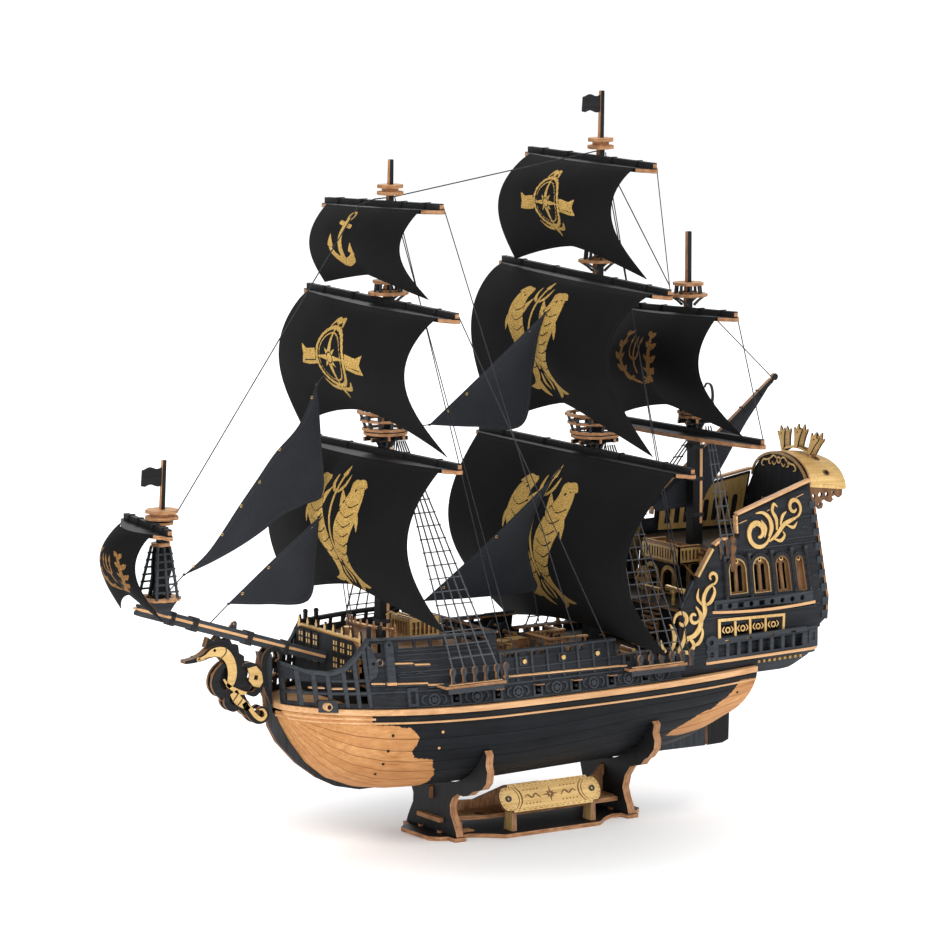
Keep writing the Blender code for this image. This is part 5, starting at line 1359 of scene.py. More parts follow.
kit = Kit("thread")
for a, b in (((-260.8, 0, 199.0), (-276.0, 0, 186.0)), ((-225.4, 0, 175.0), (-240.0, 0, 163.0)), ((-152.6, 0, 325.4), (-146.8, 0, 331.5)), ((-151.6, 0, 230.4), (-147.5, 0, 235.2)),
             ((-59.8, -1.6, 290.2), (-79.0, -1.0, 289.6)), ((28.8, -17.2, 366.8), (40.0, -18.0, 374.0)), ((39.2, -12.2, 245.4), (46.0, -13.0, 252.0)), ((30.8, -0.4, 161.0), (34.0, -2.0, 138.0)),
             ((-64.3, -0.2, 162.2), (-92.0, -1.0, 158.0))):
    kit.tube([a, b], 0.42, "thread", 6)
    kit.turned([(-0.8, 0.7), (-0.4, 1.15), (0.4, 1.15), (0.8, 0.7)], a, "thread", 8)
kit.store("sail_ties")

# Brass-coloured rings in the fore-and-aft sails.
kit = Kit("gold_y")
for x, z, ytop in ((-183.5, 281.5, None), (-200.0, 259.5, None), (-215.0, 243.8, None), (-230.5, 224.8, None), (-253.5, 204.5, None), (-193.0, 198.0, None), (-214.5, 181.4, None),
                   (-157.0, 316.5, None), (-157.0, 223.0, None), (-31.0, 311.0, 1), (-45.0, 299.6, 1), (17.5, 354.5, 1), (-6.0, 205.0, 2), (-48.0, 170.8, 2), (28.0, 232.5, 2)):
    y = 0.0 if ytop is None else (-17.0 * (z - 284) / 83 if ytop == 1 else -12.0 * (z - 161) / 84.6)
    ring = [(x + math.cos(math.tau * k / 10) * 0.85, y - 0.45, z + math.sin(math.tau * k / 10) * 0.85) for k in range(10)]
    kit.tube(ring, 0.34, "gold_y", 5, closed=True)
kit.store("sail_eyelets")

# Lateen spar.
kit = Kit("ply_y", "birch")
SPAR_A, SPAR_B, SPAR_Y = (140.0, 214.0), (255.5, 304.5), 9.5
run2 = Vector((SPAR_B[0] - SPAR_A[0], 0, SPAR_B[1] - SPAR_A[1])).normalized()
up2 = Vector((-run2.z, 0, run2.x))
at2 = lambda t, a, b: Vector((SPAR_A[0] + (SPAR_B[0] - SPAR_A[0]) * t, SPAR_Y + b, SPAR_A[1] + (SPAR_B[1] - SPAR_A[1]) * t)) + up2 * a
kit.loft([[at2(t, a * h, b * h) for a, b in ((-1, -1), (1, -1), (1, 1), (-1, 1))] for t, h in ((0.0, 1.0), (0.01, 1.7), (0.5, 2.1), (0.955, 1.7), (0.965, 1.3))], "ply_y")
kit.slab(circle(0, 0, 2.7, 14), [], lambda u, v, w: tuple(at2(0.982, u, 0) + run2 * v * 1.0 + Vector((0, (w - 0.5) * 2.6, 0))), "ply_y", "edge_y")
for k in range(7):
    t = 0.08 + 0.13 * k
    kit.tube([at2(t, a * 2.4, b * 2.4) for a, b in ((-1, -1), (1, -1), (1, 1), (-1, 1))], 0.4, "thread", 5, closed=True)
kit.store("lateen_spar_built")


# ================================================================ bowsprit and sprit mast
TIP, HEEL = Vector((-300, 0, 178)), Vector((-148.6, 0, 129.5))
along_sprit = (HEEL - TIP).normalized()
up_sprit = Vector((-along_sprit.z, 0, along_sprit.x))
up_sprit = -up_sprit if up_sprit.z < 0 else up_sprit
at_sprit = lambda d, a, b: TIP + along_sprit * d + up_sprit * a + Vector((0, b, 0))
LONG = (HEEL - TIP).length
kit = Kit("slate_y", "birch")
for a0, a1, mat, d0, wide in ((-4.1, -0.3, "slate", 1.5, 3.7), (-0.35, 1.55, "birch", 0.0, 3.95), (1.5, 4.1, "slate", 1.5, 3.7)):
    kit.loft([[at_sprit(d, a0 + e, -wide + e), at_sprit(d, a0 + e, wide - e), at_sprit(d, a1 - e, wide - e), at_sprit(d, a1 - e, -wide + e)]
              for d, e in ((d0, 0.5), (d0 + 2.0, 0.0), (LONG - 0.5, 0.0), (LONG, 0.1))], mat)
for d0, n in ((46.0, 4), (28.0, 3), (92.0, 4), (124.0, 3)):
    for k in range(n):
        d = d0 + k * 1.15
        kit.tube([at_sprit(d, a * 4.6, b * 4.5) for a, b in ((-1, -1), (1, -1), (1, 1), (-1, 1))], 0.62, "thread", 6, closed=True)
kit.slab([(-3, 4), (3, 4), (2.2, 8.2), (0.8, 9.4), (-1.4, 8.0)], [list(reversed(circle(0.2, 7.0, 0.8, 8)))], lambda u, v, w: tuple(at_sprit(80 + u, v, (w - 0.5) * 2.0)), "slate_y")
kit.store("bowsprit_built", replaces=("bowsprit",))

kit = Kit("ply_y")
x0 = sprit_x(184)
plate(kit, lobed(16.0, 14, 1.3), [list(reversed(circle(0, 0, 9.0, 28)))], (x0, 0, 183.2), 2.0, "natural_z")
plate(kit, lobed(11.0, 8, 0.6), [], (x0, 0, 182.6), 0.8, "ply_z")
pole(kit, sprit_x, 183.4, 240.0, 5.2, 4.6, "black_z")
kit.loft([[(x0 + a, b, z) for a, b in ((-6.0, -3.2), (6.0, -3.2), (6.0, 3.2), (-6.0, 3.2))] for z in (174.0, 183.0)], "slate")
for s in (-1, 1):
    kit.slab([(x0 - 11, 183.2), (x0 + 13, 183.2), (x0 + 9, 178.5), (x0 + 4, 172.0), (x0 - 3, 174.5)], [], across_y(s * 4.9 - 0.8, s * 4.9 + 0.8), "slate", "brown")
pole(kit, sprit_x, 239.0, 281.0, 3.2, 2.8)
plate(kit, lobed(7.0, 6, 0.5), [], (sprit_x(222), 0, 221.0), 2.2, "natural_z")
cap_tiers(kit, sprit_x(243), 239.6, 246.4, 12.0)
plate(kit, lobed(8.6, 8, 0.6), [], (sprit_x(236), 0, 236.0), 2.0, "ply_z")
for s in (-1, 1):                                        # curved cheek plates of the little mast
    kit.slab(ribbon([(sprit_x(186) + 7.5, 186), (sprit_x(196) + 4.5, 196), (sprit_x(207) + 6.8, 206), (sprit_x(218) + 4.6, 217), (sprit_x(230) + 2.5, 232)], [2.3, 2.8, 2.4, 2.9, 1.6]), [],
             across_y(s * 2.8 - 0.9, s * 2.8 + 0.9), "black_z")
    kit.slab(ribbon([(sprit_x(186) - 5.5, 186), (sprit_x(197) - 3.4, 196), (sprit_x(210) - 4.2, 208), (sprit_x(222) - 3.4, 220)], [2.0, 2.3, 1.8, 1.4]), [],
             across_y(s * 2.8 - 0.9, s * 2.8 + 0.9), "black_z")
flag(kit, sprit_x(270), 0, 263.5, 276.0, 15.0)
kit.store("sprit_mast_built", replaces=("sprit_mast",))
for s, word in ((-1, "port"), (1, "starboard")):
    kit = Kit("slate_y")
    for dx in (-8.5, 8.5):
        kit.loft([[(sprit_x(z) + d + a * 0.8, s * (y + b * 0.8), z) for a, b in ((-1, -1), (1, -1), (1, 1), (-1, 1))] for z, d, y in ((184.6, dx, 12.6), (221.0, dx * 0.55, 4.6))], "slate")
    kit.loft([[(sprit_x(z) + a * 0.8, s * (y + b * 0.8), z) for a, b in ((-1, -1), (1, -1), (1, 1), (-1, 1))] for z, y in ((184.6, 13.2), (221.0, 4.8))], "slate")
    for k in range(1, 7):
        t = k / 7
        z, y, d = 184.6 + 36.4 * t, 12.7 - 8.1 * t, 8.5 - 3.8 * t
        kit.box((sprit_x(z) - d - 1.4, s * y - 0.7, z - 0.6), (sprit_x(z) + d + 1.4, s * y + 0.7, z + 0.6), "slate")
    kit.store(f"sprit_ladder_{word}")


# ================================================================ figurehead: a sea beast of ply layers
kit = Kit("black", "gold", "brown")
beast = [(-262.5, 137.2), (-256, 137.6), (-248, 139.4), (-240, 142.6), (-231, 141.5), (-224.5, 135.0), (-221.5, 126.0), (-221.5, 116.0), (-218.5, 106.0), (-213.0, 98.5), (-206.5, 93.5)]
wide = [2.4, 3.0, 4.6, 7.6, 9.4, 9.0, 8.6, 9.2, 9.4, 8.6, 5.6]
o_black = lambda s, a, b: across_y(*sorted((s * a, s * b)))
for y0, y1 in ((-3.6, -1.3), (-1.1, 1.1), (1.3, 3.6)):
    kit.slab(ribbon(beast, wide), [], across_y(y0, y1), "black", "brown")
kit.slab([(-232.0, 134.0), (-239.6, 126.0), (-240.4, 117.0), (-235.0, 109.5), (-229.0, 103.5), (-221.0, 98.5), (-216.0, 99.5), (-219.5, 110.0), (-219.0, 126.0), (-222.5, 135.0)], [], across_y(-1.2, 1.2), "black", "brown")
crest = [(-246, 146.0), (-243.5, 153.0), (-239.5, 150.0), (-235.5, 154.0), (-232.0, 149.8), (-226.5, 151.0), (-224.0, 146.0), (-219.5, 145.5), (-218.6, 139.5), (-214.6, 137.0), (-214.8, 131.0), (-211.4, 127.0),
         (-212.6, 121.5), (-209.0, 117.5), (-211, 112.0), (-214, 112), (-219, 124), (-225, 135), (-232, 142)]
for s in (-1, 1):
    kit.slab(crest, [], o_black(s, 0.2, 2.8), "black", "brown")
    # Breast curls in black, standing out in front.
    kit.slab(ribbon([(-231.0, 133.0), (-236.5, 127.0), (-238.5, 119.5), (-235.0, 113.0), (-228.5, 112.0), (-226.0, 116.5)], [3.2, 5.6, 6.6, 6.4, 5.2, 3.0]), [], o_black(s, 1.6, 4.0), "black", "brown")
    kit.slab(ribbon([(-228.0, 113.0), (-229.5, 105.5), (-224.5, 100.5), (-218.5, 102.0)], [3.0, 4.8, 4.6, 2.4]), [], o_black(s, 1.6, 4.2), "black", "brown")
    # The fin and the curled tail.
    kit.slab(ribbon([(-216.5, 131.0), (-208.0, 129.5), (-203.0, 123.0), (-202.5, 115.0), (-207.0, 109.5), (-213.0, 110.5)], [2.0, 4.4, 5.0, 4.8, 4.0, 2.0]), [], o_black(s, 1.8, 4.4), "black", "brown")
    kit.slab(ribbon([(-216.0, 104.0), (-211.5, 96.0), (-205.5, 90.0), (-199.0, 90.5), (-197.8, 96.0), (-202.0, 99.0), (-205.5, 96.6)], [4.0, 5.2, 4.6, 3.8, 3.2, 2.2, 1.0]), [], o_black(s, 2.2, 4.8), "black", "brown")
    o = lambda u, v, w, s=s: (u, s * (3.5 + 1.3 * w), v)
    top = lambda u, v, w, s=s: (u, s * (4.75 + 0.5 * w), v)
    kit.slab(ribbon([(-252.0, 138.6), (-246.5, 139.8), (-240.5, 142.4), (-233.0, 141.6), (-227.5, 135.6), (-225.4, 127.5), (-226.6, 120.0), (-229.6, 116.4)], [1.9, 3.3, 5.8, 7.6, 7.4, 7.2, 6.2, 3.0]),
             [list(reversed(circle(-239.6, 143.8, 1.15, 12)))], o, "gold", "burnt")
    kit.slab(circle(-252.6, 138.6, 1.5, 12), [list(reversed(circle(-252.6, 138.6, 0.6, 8)))], o, "gold", "burnt")
    kit.slab(ribbon([(-224.6, 112.5), (-221.0, 106.5), (-214.5, 101.5), (-208.5, 96.5)], [6.6, 6.6, 5.2, 3.4]), [], o, "gold", "burnt")
    kit.slab(ribbon([(-232.5, 122.5), (-227.5, 116.6), (-219.5, 112.0), (-214.0, 110.8)], [1.2, 2.6, 3.2, 1.6]), [], o, "gold", "burnt")
    for x, z in ((-224.5, 107.0), (-220.5, 103.6), (-216.0, 100.4)):                 # dark lines across the belly
        kit.slab(ribbon([(x - 1.6, z - 1.8), (x + 1.4, z + 1.4), (x + 3.6, z + 4.4)], [0.3, 0.5, 0.3]), [], top, "black", "burnt")
    kit.slab(ribbon([(-234.6, 137.6), (-230.6, 141.4), (-230.8, 146.2)], [0.3, 0.5, 0.3]), [], top, "black", "burnt")
    kit.slab(ribbon([(-248.0, 138.4), (-243.6, 139.2), (-240.0, 138.2)], [0.25, 0.4, 0.25]), [], top, "black", "burnt")
    out2 = lambda u, v, w, s=s: (u, s * (4.3 + 1.0 * w), v)
    kit.slab([(-213.5, 128.5), (-206.5, 129.5), (-202.0, 124.5), (-200.8, 117.8), (-203.5, 113.8), (-208.5, 115.0), (-212.5, 119.5), (-212.0, 124.0)],
             [[(-208.4, 119.8), (-205.4, 119.4), (-204.8, 122.4), (-207.6, 123.2)]], out2, "gold", "burnt")
    out3 = lambda u, v, w, s=s: (u, s * (4.7 + 1.0 * w), v)
    kit.slab(ribbon([(-212.0, 99.5), (-207.5, 94.0), (-202.5, 90.8), (-199.0, 93.4), (-201.0, 97.6), (-204.8, 98.2)], [2.4, 3.2, 2.8, 2.2, 1.7, 0.7]), [], out3, "gold", "burnt")
kit.store("figurehead_built", replaces=("figurehead",))
kit = Kit("black", "brown")
for s in (-1, 1):                                           # scrolled cheeks at the stem's head
    kit.slab(ribbon([(-193.5, 101.0), (-197.5, 112.0), (-199.5, 124.0), (-198.5, 134.0), (-193.5, 140.0), (-187.5, 138.5), (-186.0, 133.0), (-189.5, 131.0)], [2.0, 3.4, 4.2, 4.2, 3.6, 2.8, 2.0, 1.0]),
             [], across_y(*sorted((s * 2.3, s * 4.6))), "black", "brown")
kit.store("stem_cheeks")

kit = Kit("edge_z")
for m in (-1, 1):
    kit.loft([[(166.6 + a * 1.5, y, 269.8 - 0.016 * y + 0.3 + b * 1.5) for a, b in ((-1, -1), (1, -1), (1, 1), (-1, 1))] for y in (m * 95.2, m * 96.35)], "edge_z")
    kit.slab([(168.8, m * 88.0), (168.8, m * 96.2), (167.9, m * 98.4), (165.6, m * 99.2), (163.2, m * 97.4), (161.8, m * 93.0), (163.6, m * 88.0)], [], lambda u, v, w: (u, v, 269.8 - 4.45 + 2.7 * w - 0.016 * v), "black", "edge_z")
kit.store("crossjack_tips")


# ================================================================ upper sides
WALL = ((0.0095, 0.0105, 0.0125), (0.026, 0.0285, 0.0335))
RAILS = ((0.022, 0.0250, 0.0295), (0.052, 0.058, 0.067))
M.update({
    "wall": wood("side_wall_wood", WALL, "x", 0.66, relief=0.45),
    "wall_x": ply("cross_wall_ply", WALL, "x", "z", 0.66, edge_tone=0.5, planks=("y", 0.0048)),
    "rail": wood("rail_wood", RAILS, "x", 0.6, relief=0.35),
    "rail_x": wood("cross_rail_wood", RAILS, "y", 0.6, relief=0.35),
    "rail_z": ply("level_rail_ply", RAILS, "z", "x", 0.6, edge_tone=0.8),
})


def side_low(x):
    return sheer(x) + WALE_T / 2 + 0.4


def side_top(x):
    if x < -140:
        return along([(-192, 132.5), (-178, 126.5), (-164, 125), (-151, 131), (-145, 143), (-140, 146.5)], x)
    if x <= -44.5:
        return 148.3
    return 133.3 if x <= 56.0 else 121.5


PORTS = ((-83.7, 101.1, -78.4, 107.2), (-50.3, 100.9, -45.2, 107.1), (-16.5, 100.6, -11.4, 107.2), (15.3, 100.6, 21.3, 107.2), (46.9, 100.8, 52.1, 107.4), (77.1, 101.0, 82.3, 107.6))
HEAD = [(-187.4, 104.6, -182.6, 110.4), (-180.6, 104.2, -174.4, 109.8), (-172.6, 104.0, -166.8, 109.6), (-164.6, 104.0, -157.2, 109.4), (-155.2, 103.6, -149.6, 109.2), (-147.6, 103.2, -142.6, 108.8),
        (-187.4, 112.6, -182.6, 120.0), (-180.6, 112.2, -174.4, 119.0), (-172.6, 112.0, -166.8, 118.6), (-164.6, 111.6, -157.2, 118.2), (-155.2, 111.4, -149.6, 118.2), (-147.6, 111.2, -142.6, 118.4),
        (-155.2, 120.4, -149.6, 127.0), (-147.6, 120.8, -143.0, 136.5)]
TOPS = [(-119.5, 141.2, -108.8, 145.6), (-107.0, 141.2, -97.0, 145.6), (-95.0, 141.2, -86.0, 145.6), (-84.0, 141.2, -75.0, 145.6), (-73.0, 141.2, -64.0, 145.6), (-62.0, 141.2, -53.0, 145.6),
        (-139.0, 138.5, -131.5, 145.0)]
WAIST = [(-25.8, 122.8, -22.4, 127.4), (7.6, 122.6, 10.8, 127.2), (37.2, 122.6, 40.4, 127.2), (-43.0, 128.6, -36.0, 131.4), (-34.0, 128.6, -27.0, 131.4), (-20.0, 128.6, -13.0, 131.4), (-11.0, 128.6, -4.0, 131.4),
         (13.0, 128.6, 20.0, 131.4), (22.0, 128.6, 29.0, 131.4)]
AFTER = [(63.0, 116.0, 68.6, 119.4), (71.0, 116.0, 77.0, 119.4), (79.5, 116.0, 85.5, 119.4), (88.0, 116.0, 94.0, 119.4), (96.5, 116.0, 102.5, 119.4)]

for side, word in SIDES:
    wall(f"side_wall_{word}", [-189.4, -186.5, -182.5, -177, -171, -164.5, -157, -149, -144.8, -141, -140.05, -139.95, -131, -44.55, -44.45, 55.95, 56.05, 113.8],
         [97, 100, 103, 106, 109, 112, 115.2, 118, 121, 124, 127, 130, 133.3, 136, 139, 142, 145, 148.3],
         lambda x, z, side=side: (x, side * (side_y(x, z) - 1.0), z), side_low, side_top, list(PORTS) + HEAD + TOPS + WAIST + AFTER, PLY_T, ("wall", "burnt"), replaces=(f"side_{word}",))
    kit = Kit("rail", "birch")
    put = lambda outline, holes, a, b, face, edge=None: kit.slab(dense(outline, 3.0), [dense(h, 3.0) for h in holes], on_side(side, a, b), face, edge)
    xs_all = [-189, -187.5, -185, -182, -178, -172, -165, -156, -148, -140, -130, -120, -105, -90, -75, -60, -45, -25, 0, 30, 60, 90, 113]
    # Head rails: a curved top rail, sloping uprights and the lower rail.
    head = [x for x in xs_all if x <= -140]
    moulding(kit, head, lambda x: side_top(x) - 0.6, 3.2, side_y, 1.5, "rail", side, 2.6)
    moulding(kit, head, lambda x: 110.9 + 0.0 * x, 1.9, side_y, 0.9, "rail", side, 2.6)
    moulding(kit, [x for x in head if x > -170], lambda x: 119.6, 1.6, side_y, 0.9, "rail", side, 2.6)
    moulding(kit, [-164, -156, -150], lambda x: 113.8, 1.3, side_y, -1.6, "birch", side, 4.4)
    moulding(kit, [-176, -168], lambda x: 114.4, 1.3, side_y, -1.6, "birch", side, 4.4)
    for x0, x1 in ((-188.2, -181.6), (-181.8, -173.6), (-173.6, -165.8), (-165.4, -156.2), (-156.2, -148.8), (-148.6, -141.8)):
        z0, z1 = side_low(x1) + 0.5, side_top(x1) - 1.6
        put([(x1 - 1.1, z0), (x1 + 1.1, z0), (x1 + 1.1 - (z1 - z0) * 0.05, z1), (x1 - 1.1 - (z1 - z0) * 0.05, z1)], [], -0.2, 1.1, "rail")
    # Square housing of the bow gun.
    put([(-174.4, 98.2), (-163.6, 98.2), (-163.6, 105.4), (-164.6, 106.6), (-173.4, 106.6), (-174.4, 105.4)], [], 0.4, 4.0, "rail", "burnt")
    yb = side_y(-168.9, 102.2)
    lean_x = (side_y(-167.9, 102.2) - side_y(-169.9, 102.2)) / 2
    kit.turned([(side * (yb + 1.0), 2.9), (side * (yb + 5.4), 2.9), (side * (yb + 5.9), 2.4)], (-168.9 - 0.5, 0, 102.2), "birch", 16, axis="y")
    kit.turned([(side * (yb + 2.0), 1.6), (side * (yb + 6.3), 1.6)], (-168.9 - 0.6, 0, 102.2), "black", 14, axis="y")
    # Long battens.
    aft = [x for x in xs_all if x >= -142]
    moulding(kit, aft, lambda x: sheer(x) + 3.4, 1.3, side_y, 0.9, "rail", side)
    moulding(kit, [x for x in aft if x <= -42], lambda x: 110.9, 1.5, side_y, 1.0, "rail", side)
    moulding(kit, [x for x in aft if -45 <= x <= 60], lambda x: 110.4, 1.5, side_y, 1.0, "rail", side)
    moulding(kit, [-42.8, -25, 0, 30, 58], lambda x: 115.8 - 2.0 * (x + 42.8) / 100.8, 1.3, side_y, 2.2, "birch", side)
    moulding(kit, [-42.8, -25, 0, 30, 58], lambda x: 114.6 - 2.0 * (x + 42.8) / 100.8, 1.2, side_y, 1.6, "rail", side)
    for z, a, b in ((121.0, -121, -46), (124.6, -121, -46), (128.2, -121, -92), (132.6, -121, -92), (136.6, -121, -46), (139.4, -121, -46), (120.6, -44, 56), (133.0, -92, -46)):
        moulding(kit, [x for x in steps(a, b, 12)], lambda x, z=z: z, 1.1, side_y, 0.8, "rail", side)
    moulding(kit, steps(-140, -44.5, 14), lambda x: 148.0, 1.8, side_y, 1.2, "rail", side, 3.0)
    moulding(kit, steps(-44.5, 32.8, 12), lambda x: 132.8, 1.8, side_y, 1.2, "rail", side, 3.0)
    moulding(kit, steps(32.8, 56, 5), lambda x: 133.0, 2.0, side_y, 1.6, "rail", side, 3.0)
    for x0, x1, z in ((-129.8, -111.1, 131.2), (-109.7, -98.9, 129.6), (-140.3, -131.7, 117.5), (-124.8, -101.4, 116.9), (-101.6, -89.7, 114.9), (58.5, 64.0, 113.6), (66.0, 113.0, 109.0)):
        moulding(kit, steps(x0, x1, 5), lambda x, z=z, x0=x0: z - 0.9 * (x - x0) / 30, 1.3, side_y, 1.9, "birch", side)
        moulding(kit, steps(x0, x1, 5), lambda x, z=z, x0=x0: z - 1.4 - 0.9 * (x - x0) / 30, 1.4, side_y, 1.3, "rail", side)
    # Upright post, framed panel and ring.
    put([(-130, 118), (-124.6, 118), (-124.6, 144.0), (-125.4, 146.6), (-127.3, 147.7), (-129.2, 146.6), (-130, 144.0)], [], 0.8, 3.0, "rail", "rail")
    put(rect(-130.2, 116.2, -124.4, 118.2), [], 0.8, 3.2, "birch")
    nail(kit, -127.3, side * (side_y(-127.3, 144.6) + 2.8), 144.4, side, "dark", 1.0, 0.5)
    put(rect(-116.8, 100.5, -109.4, 113.6), [rect(-114.9, 102.6, -111.3, 111.4)], 0.2, 1.9, "rail")
    put(circle(-133.1, 131.8, 2.7, 18), [circle(-133.1, 131.8, 1.5, 14)], 0.0, 1.4, "rail_x", "birch")
    put([(-141.5, 120), (-137.5, 121.5), (-135.4, 126), (-136.2, 135), (-138.6, 142), (-141.5, 146)], [circle(-138.2, 131.5, 1.2, 10)], 0.2, 1.6, "rail")
    # Gun ports: frame, raised lid, and a dark sheet behind: painted shade inside the port.
    for x0, z0, x1, z1 in PORTS:
        put(rect(x0 - 1.5, z0 - 1.2, x1 + 1.5, z1 + 1.3), [rect(x0 + 0.2, z0 + 0.2, x1 - 0.2, z1 - 0.2)], 0.0, 1.0, "rail")
        xm = (x0 + x1) / 2
        yy = side_y(xm, z1)
        kit.box((x0 - 0.6, min(side * (yy + 0.6), side * (yy + 5.2)), z1 + 0.7), (x1 + 0.6, max(side * (yy + 0.6), side * (yy + 5.2)), z1 + 1.5), "rail_z")
        # A dark sheet behind the opening: painted shade inside the port.
        kit.box((x0 - 1.5, min(side * (yy - 3.4), side * (yy - 4.4)), z0 - 1.5), (x1 + 1.5, max(side * (yy - 3.4), side * (yy - 4.4)), z1 + 1.5), "dark")
        kit.tube([(xm, side * (yy - 3.5), (z0 + z1) / 2), (xm, side * (yy + 2.6), (z0 + z1) / 2)], [1.5, 1.2], "black", 10)
    # Carved bosses between the ports.
    centres = [-97.5, -64.8, -31.0, 1.9, 34.0, 64.6, 92.5]
    for n, x in enumerate(centres):
        z = 104.3
        put(circle(x, z, 4.4, 20), [circle(x, z, 3.1, 16)], 0.2, 1.3, "rail")
        put(circle(x, z, 2.1, 14), [], 0.2, 1.6, "rail")
        for k in range(6):
            a = math.tau * k / 6
            put([(x + math.cos(a) * 2.0 - math.sin(a) * 0.5, z + math.sin(a) * 2.0 + math.cos(a) * 0.5), (x + math.cos(a) * 3.4, z + math.sin(a) * 3.4),
                 (x + math.cos(a) * 2.0 + math.sin(a) * 0.5, z + math.sin(a) * 2.0 - math.cos(a) * 0.5)], [], 0.2, 1.1, "rail")
        for m in (-1, 1):
            put(ribbon([(x + m * 5.2, z + 3.4), (x + m * 8.2, z + 2.4), (x + m * 8.8, z - 1.0), (x + m * 6.2, z - 3.2)], [0.9, 1.3, 1.1, 0.7]), [], 0.2, 1.2, "rail")
    # Relief of knots between the upper battens.
    for x in (-118.0, -106.0):
        put(ribbon([(x - 4, 122.6), (x, 123.6), (x + 4, 122.4)], [0.5, 0.8, 0.5]), [], 0.2, 1.2, "rail")
    # Channels, where the deadeyes stand.
    for x0, x1, z0, y1 in ((-95.0, -44.6, 112.9, 80.2), (62.0, 113.0, 109.9, 79.2)):
        kit.loft([[(x, side * (side_y(x, z0) - 0.4), z0), (x, side * y1, z0), (x, side * y1, z0 + 2.0), (x, side * (side_y(x, z0) - 0.4), z0 + 2.0)] for x in steps(x0, x1, 6)], "rail_z")
        kit.loft([[(x, side * (y1 - 0.6), z0 - 3.6), (x, side * (y1 + 0.2), z0 - 3.6), (x, side * (y1 + 0.2), z0 - 0.05), (x, side * (y1 - 0.6), z0 - 0.05)] for x in steps(x0 + 2, x1 - 2, 6)], "rail")
        moulding(kit, steps(x0 + 3, x1 - 3, 5), lambda x, z0=z0: z0 + 2.6, 0.8, lambda x, z, y1=y1: y1 - 0.9, 0.7, "birch", side)
    # Gold muzzles in the upper openings of the waist.
    for x, z in ((-24.1, 125.1), (9.2, 124.9), (38.8, 124.9)):
        yy = side_y(x, z)
        kit.turned([(side * (yy - 6), 1.3), (side * (yy + 1.0), 1.2), (side * (yy + 1.2), 1.7), (side * (yy + 2.4), 1.7)], (x, 0, z), "gold_y", 12, axis="y")
        put(rect(x - 3.4, z - 3.2, x + 3.4, z + 3.2), [rect(x - 1.8, z - 2.1, x + 1.8, z + 2.2)], 0.0, 0.9, "rail")
    for x in (-43.4, -30.2, -17.0, -3.8, 9.4, 22.6, 35.8, 49.0, 62.0, 74.0, 86.0, 98.0, 110.0):
        z0, z1 = 111.3, (132.0 if x < 55 else 121.0)
        put(rect(x - 0.9, z0, x + 0.9, z1), [], 0.1, 1.2, "rail")
    kit.store(f"side_relief_{word}")

    # Inner faces: stanchions and a pin rail along the waist.
    kit = Kit("wall", "birch")
    for x in steps(-40, 108, 15):
        top = (130.6 if x < 55 else 119.4)
        y = side_y(x, DECK_Z) - 3.0
        kit.box((x - 1.1, min(side * y, side * (y - 2.0)), DECK_Z + 0.1), (x + 1.1, max(side * y, side * (y - 2.0)), top), "rail")
    for xa, xb, z in ((-43, 56, 131.3), (57, 112, 120.0)):
        kit.loft([[(x, side * (side_y(x, z) - 5.6), z), (x, side * (side_y(x, z) - 0.2), z), (x, side * (side_y(x, z) - 0.2), z + 1.5), (x, side * (side_y(x, z) - 5.6), z + 1.5)] for x in steps(xa, xb, 10)], "rail_z")
    kit.store(f"inner_rails_{word}")

# ================================================================ forecastle
kit = Kit("gold_x", "black")
for s in (-1, 1):
    for a in (14, 24, 34):
        for z in (123, 135):
            outer = rect(s * a - 4.0, z - 1.0, s * a + 4.0, z + 10.0)
            panes = [rect(s * a + m * 1.7 - 1.0, q, s * a + m * 1.7 + 1.0, q + 3.0) for m in (-1, 1) for q in (z + 0.9, z + 5.2)]
            kit.slab(outer, panes, across_x(-147.0, -146.1), "black", "burnt")
            for pane in panes:
                kit.slab(pane, [], across_x(-146.9, -146.3), "gold_x")
fence_posts = steps(-42.0, 42.0, 7)
for y in fence_posts:
    kit.slab([(y - 1.5, 137.0), (y + 1.5, 137.0), (y + 1.5, 150.4), (y + 0.9, 151.4), (y + 0.9, 152.6), (y, 153.6), (y - 0.9, 152.6), (y - 0.9, 151.4), (y - 1.5, 150.4)], [], across_x(-143.6, -142.0), "gold", "burnt")
for z0, z1 in ((145.6, 147.8), (140.0, 141.2)):
    kit.box((-143.9, -43.5, z0), (-141.8, 43.5, z1), "gold", 0.2)
for s in (-1, 1):
    for z in (124, 130, 136):
        kit.box((-143.9, s * 42.0 - 1.6, z), (-142.6, s * 42.0 + 1.6, z + 4.2), "gold_x")
    for x in (-137, -128):
        kit.box((x - 1.2, s * 44 - 1.2, 137.0), (x + 1.2, s * 44 + 1.2, 154.0), "black_z", 0.3)
        kit.turned([(154.0, 1.9), (155.6, 1.9), (156.6, 1.1)], (x, s * 44, 0), "black_z", 4)
kit.store("beakhead_windows_and_fence")

kit = Kit("gold_z")
pin = [(-113.3, 24.0), (-116.5, 8.0), (-114.5, -14.0), (-107.2, -30.9)]
line = spline([(x, y) for x, y in pin], 6)
kit.loft([[(x - 1.9, y, 149.0), (x + 1.9, y + 0.6, 149.0), (x + 1.9, y + 0.6, 150.6), (x - 1.9, y, 150.6)] for x, y in line], "gold_z")
for k, (x, y) in enumerate(line):
    if k % 2 == 0:
        kit.turned([(145.0, 0.5), (149.0, 0.7), (151.4, 1.0), (154.0, 0.6)], (x, y + 0.3, 0), "gold_z", 8)
    if k in (0, 6, 12, 18):
        kit.box((x - 1.1, y - 1.1, 136.6), (x + 1.1, y + 1.1, 149.0), "gold_z", 0.2)
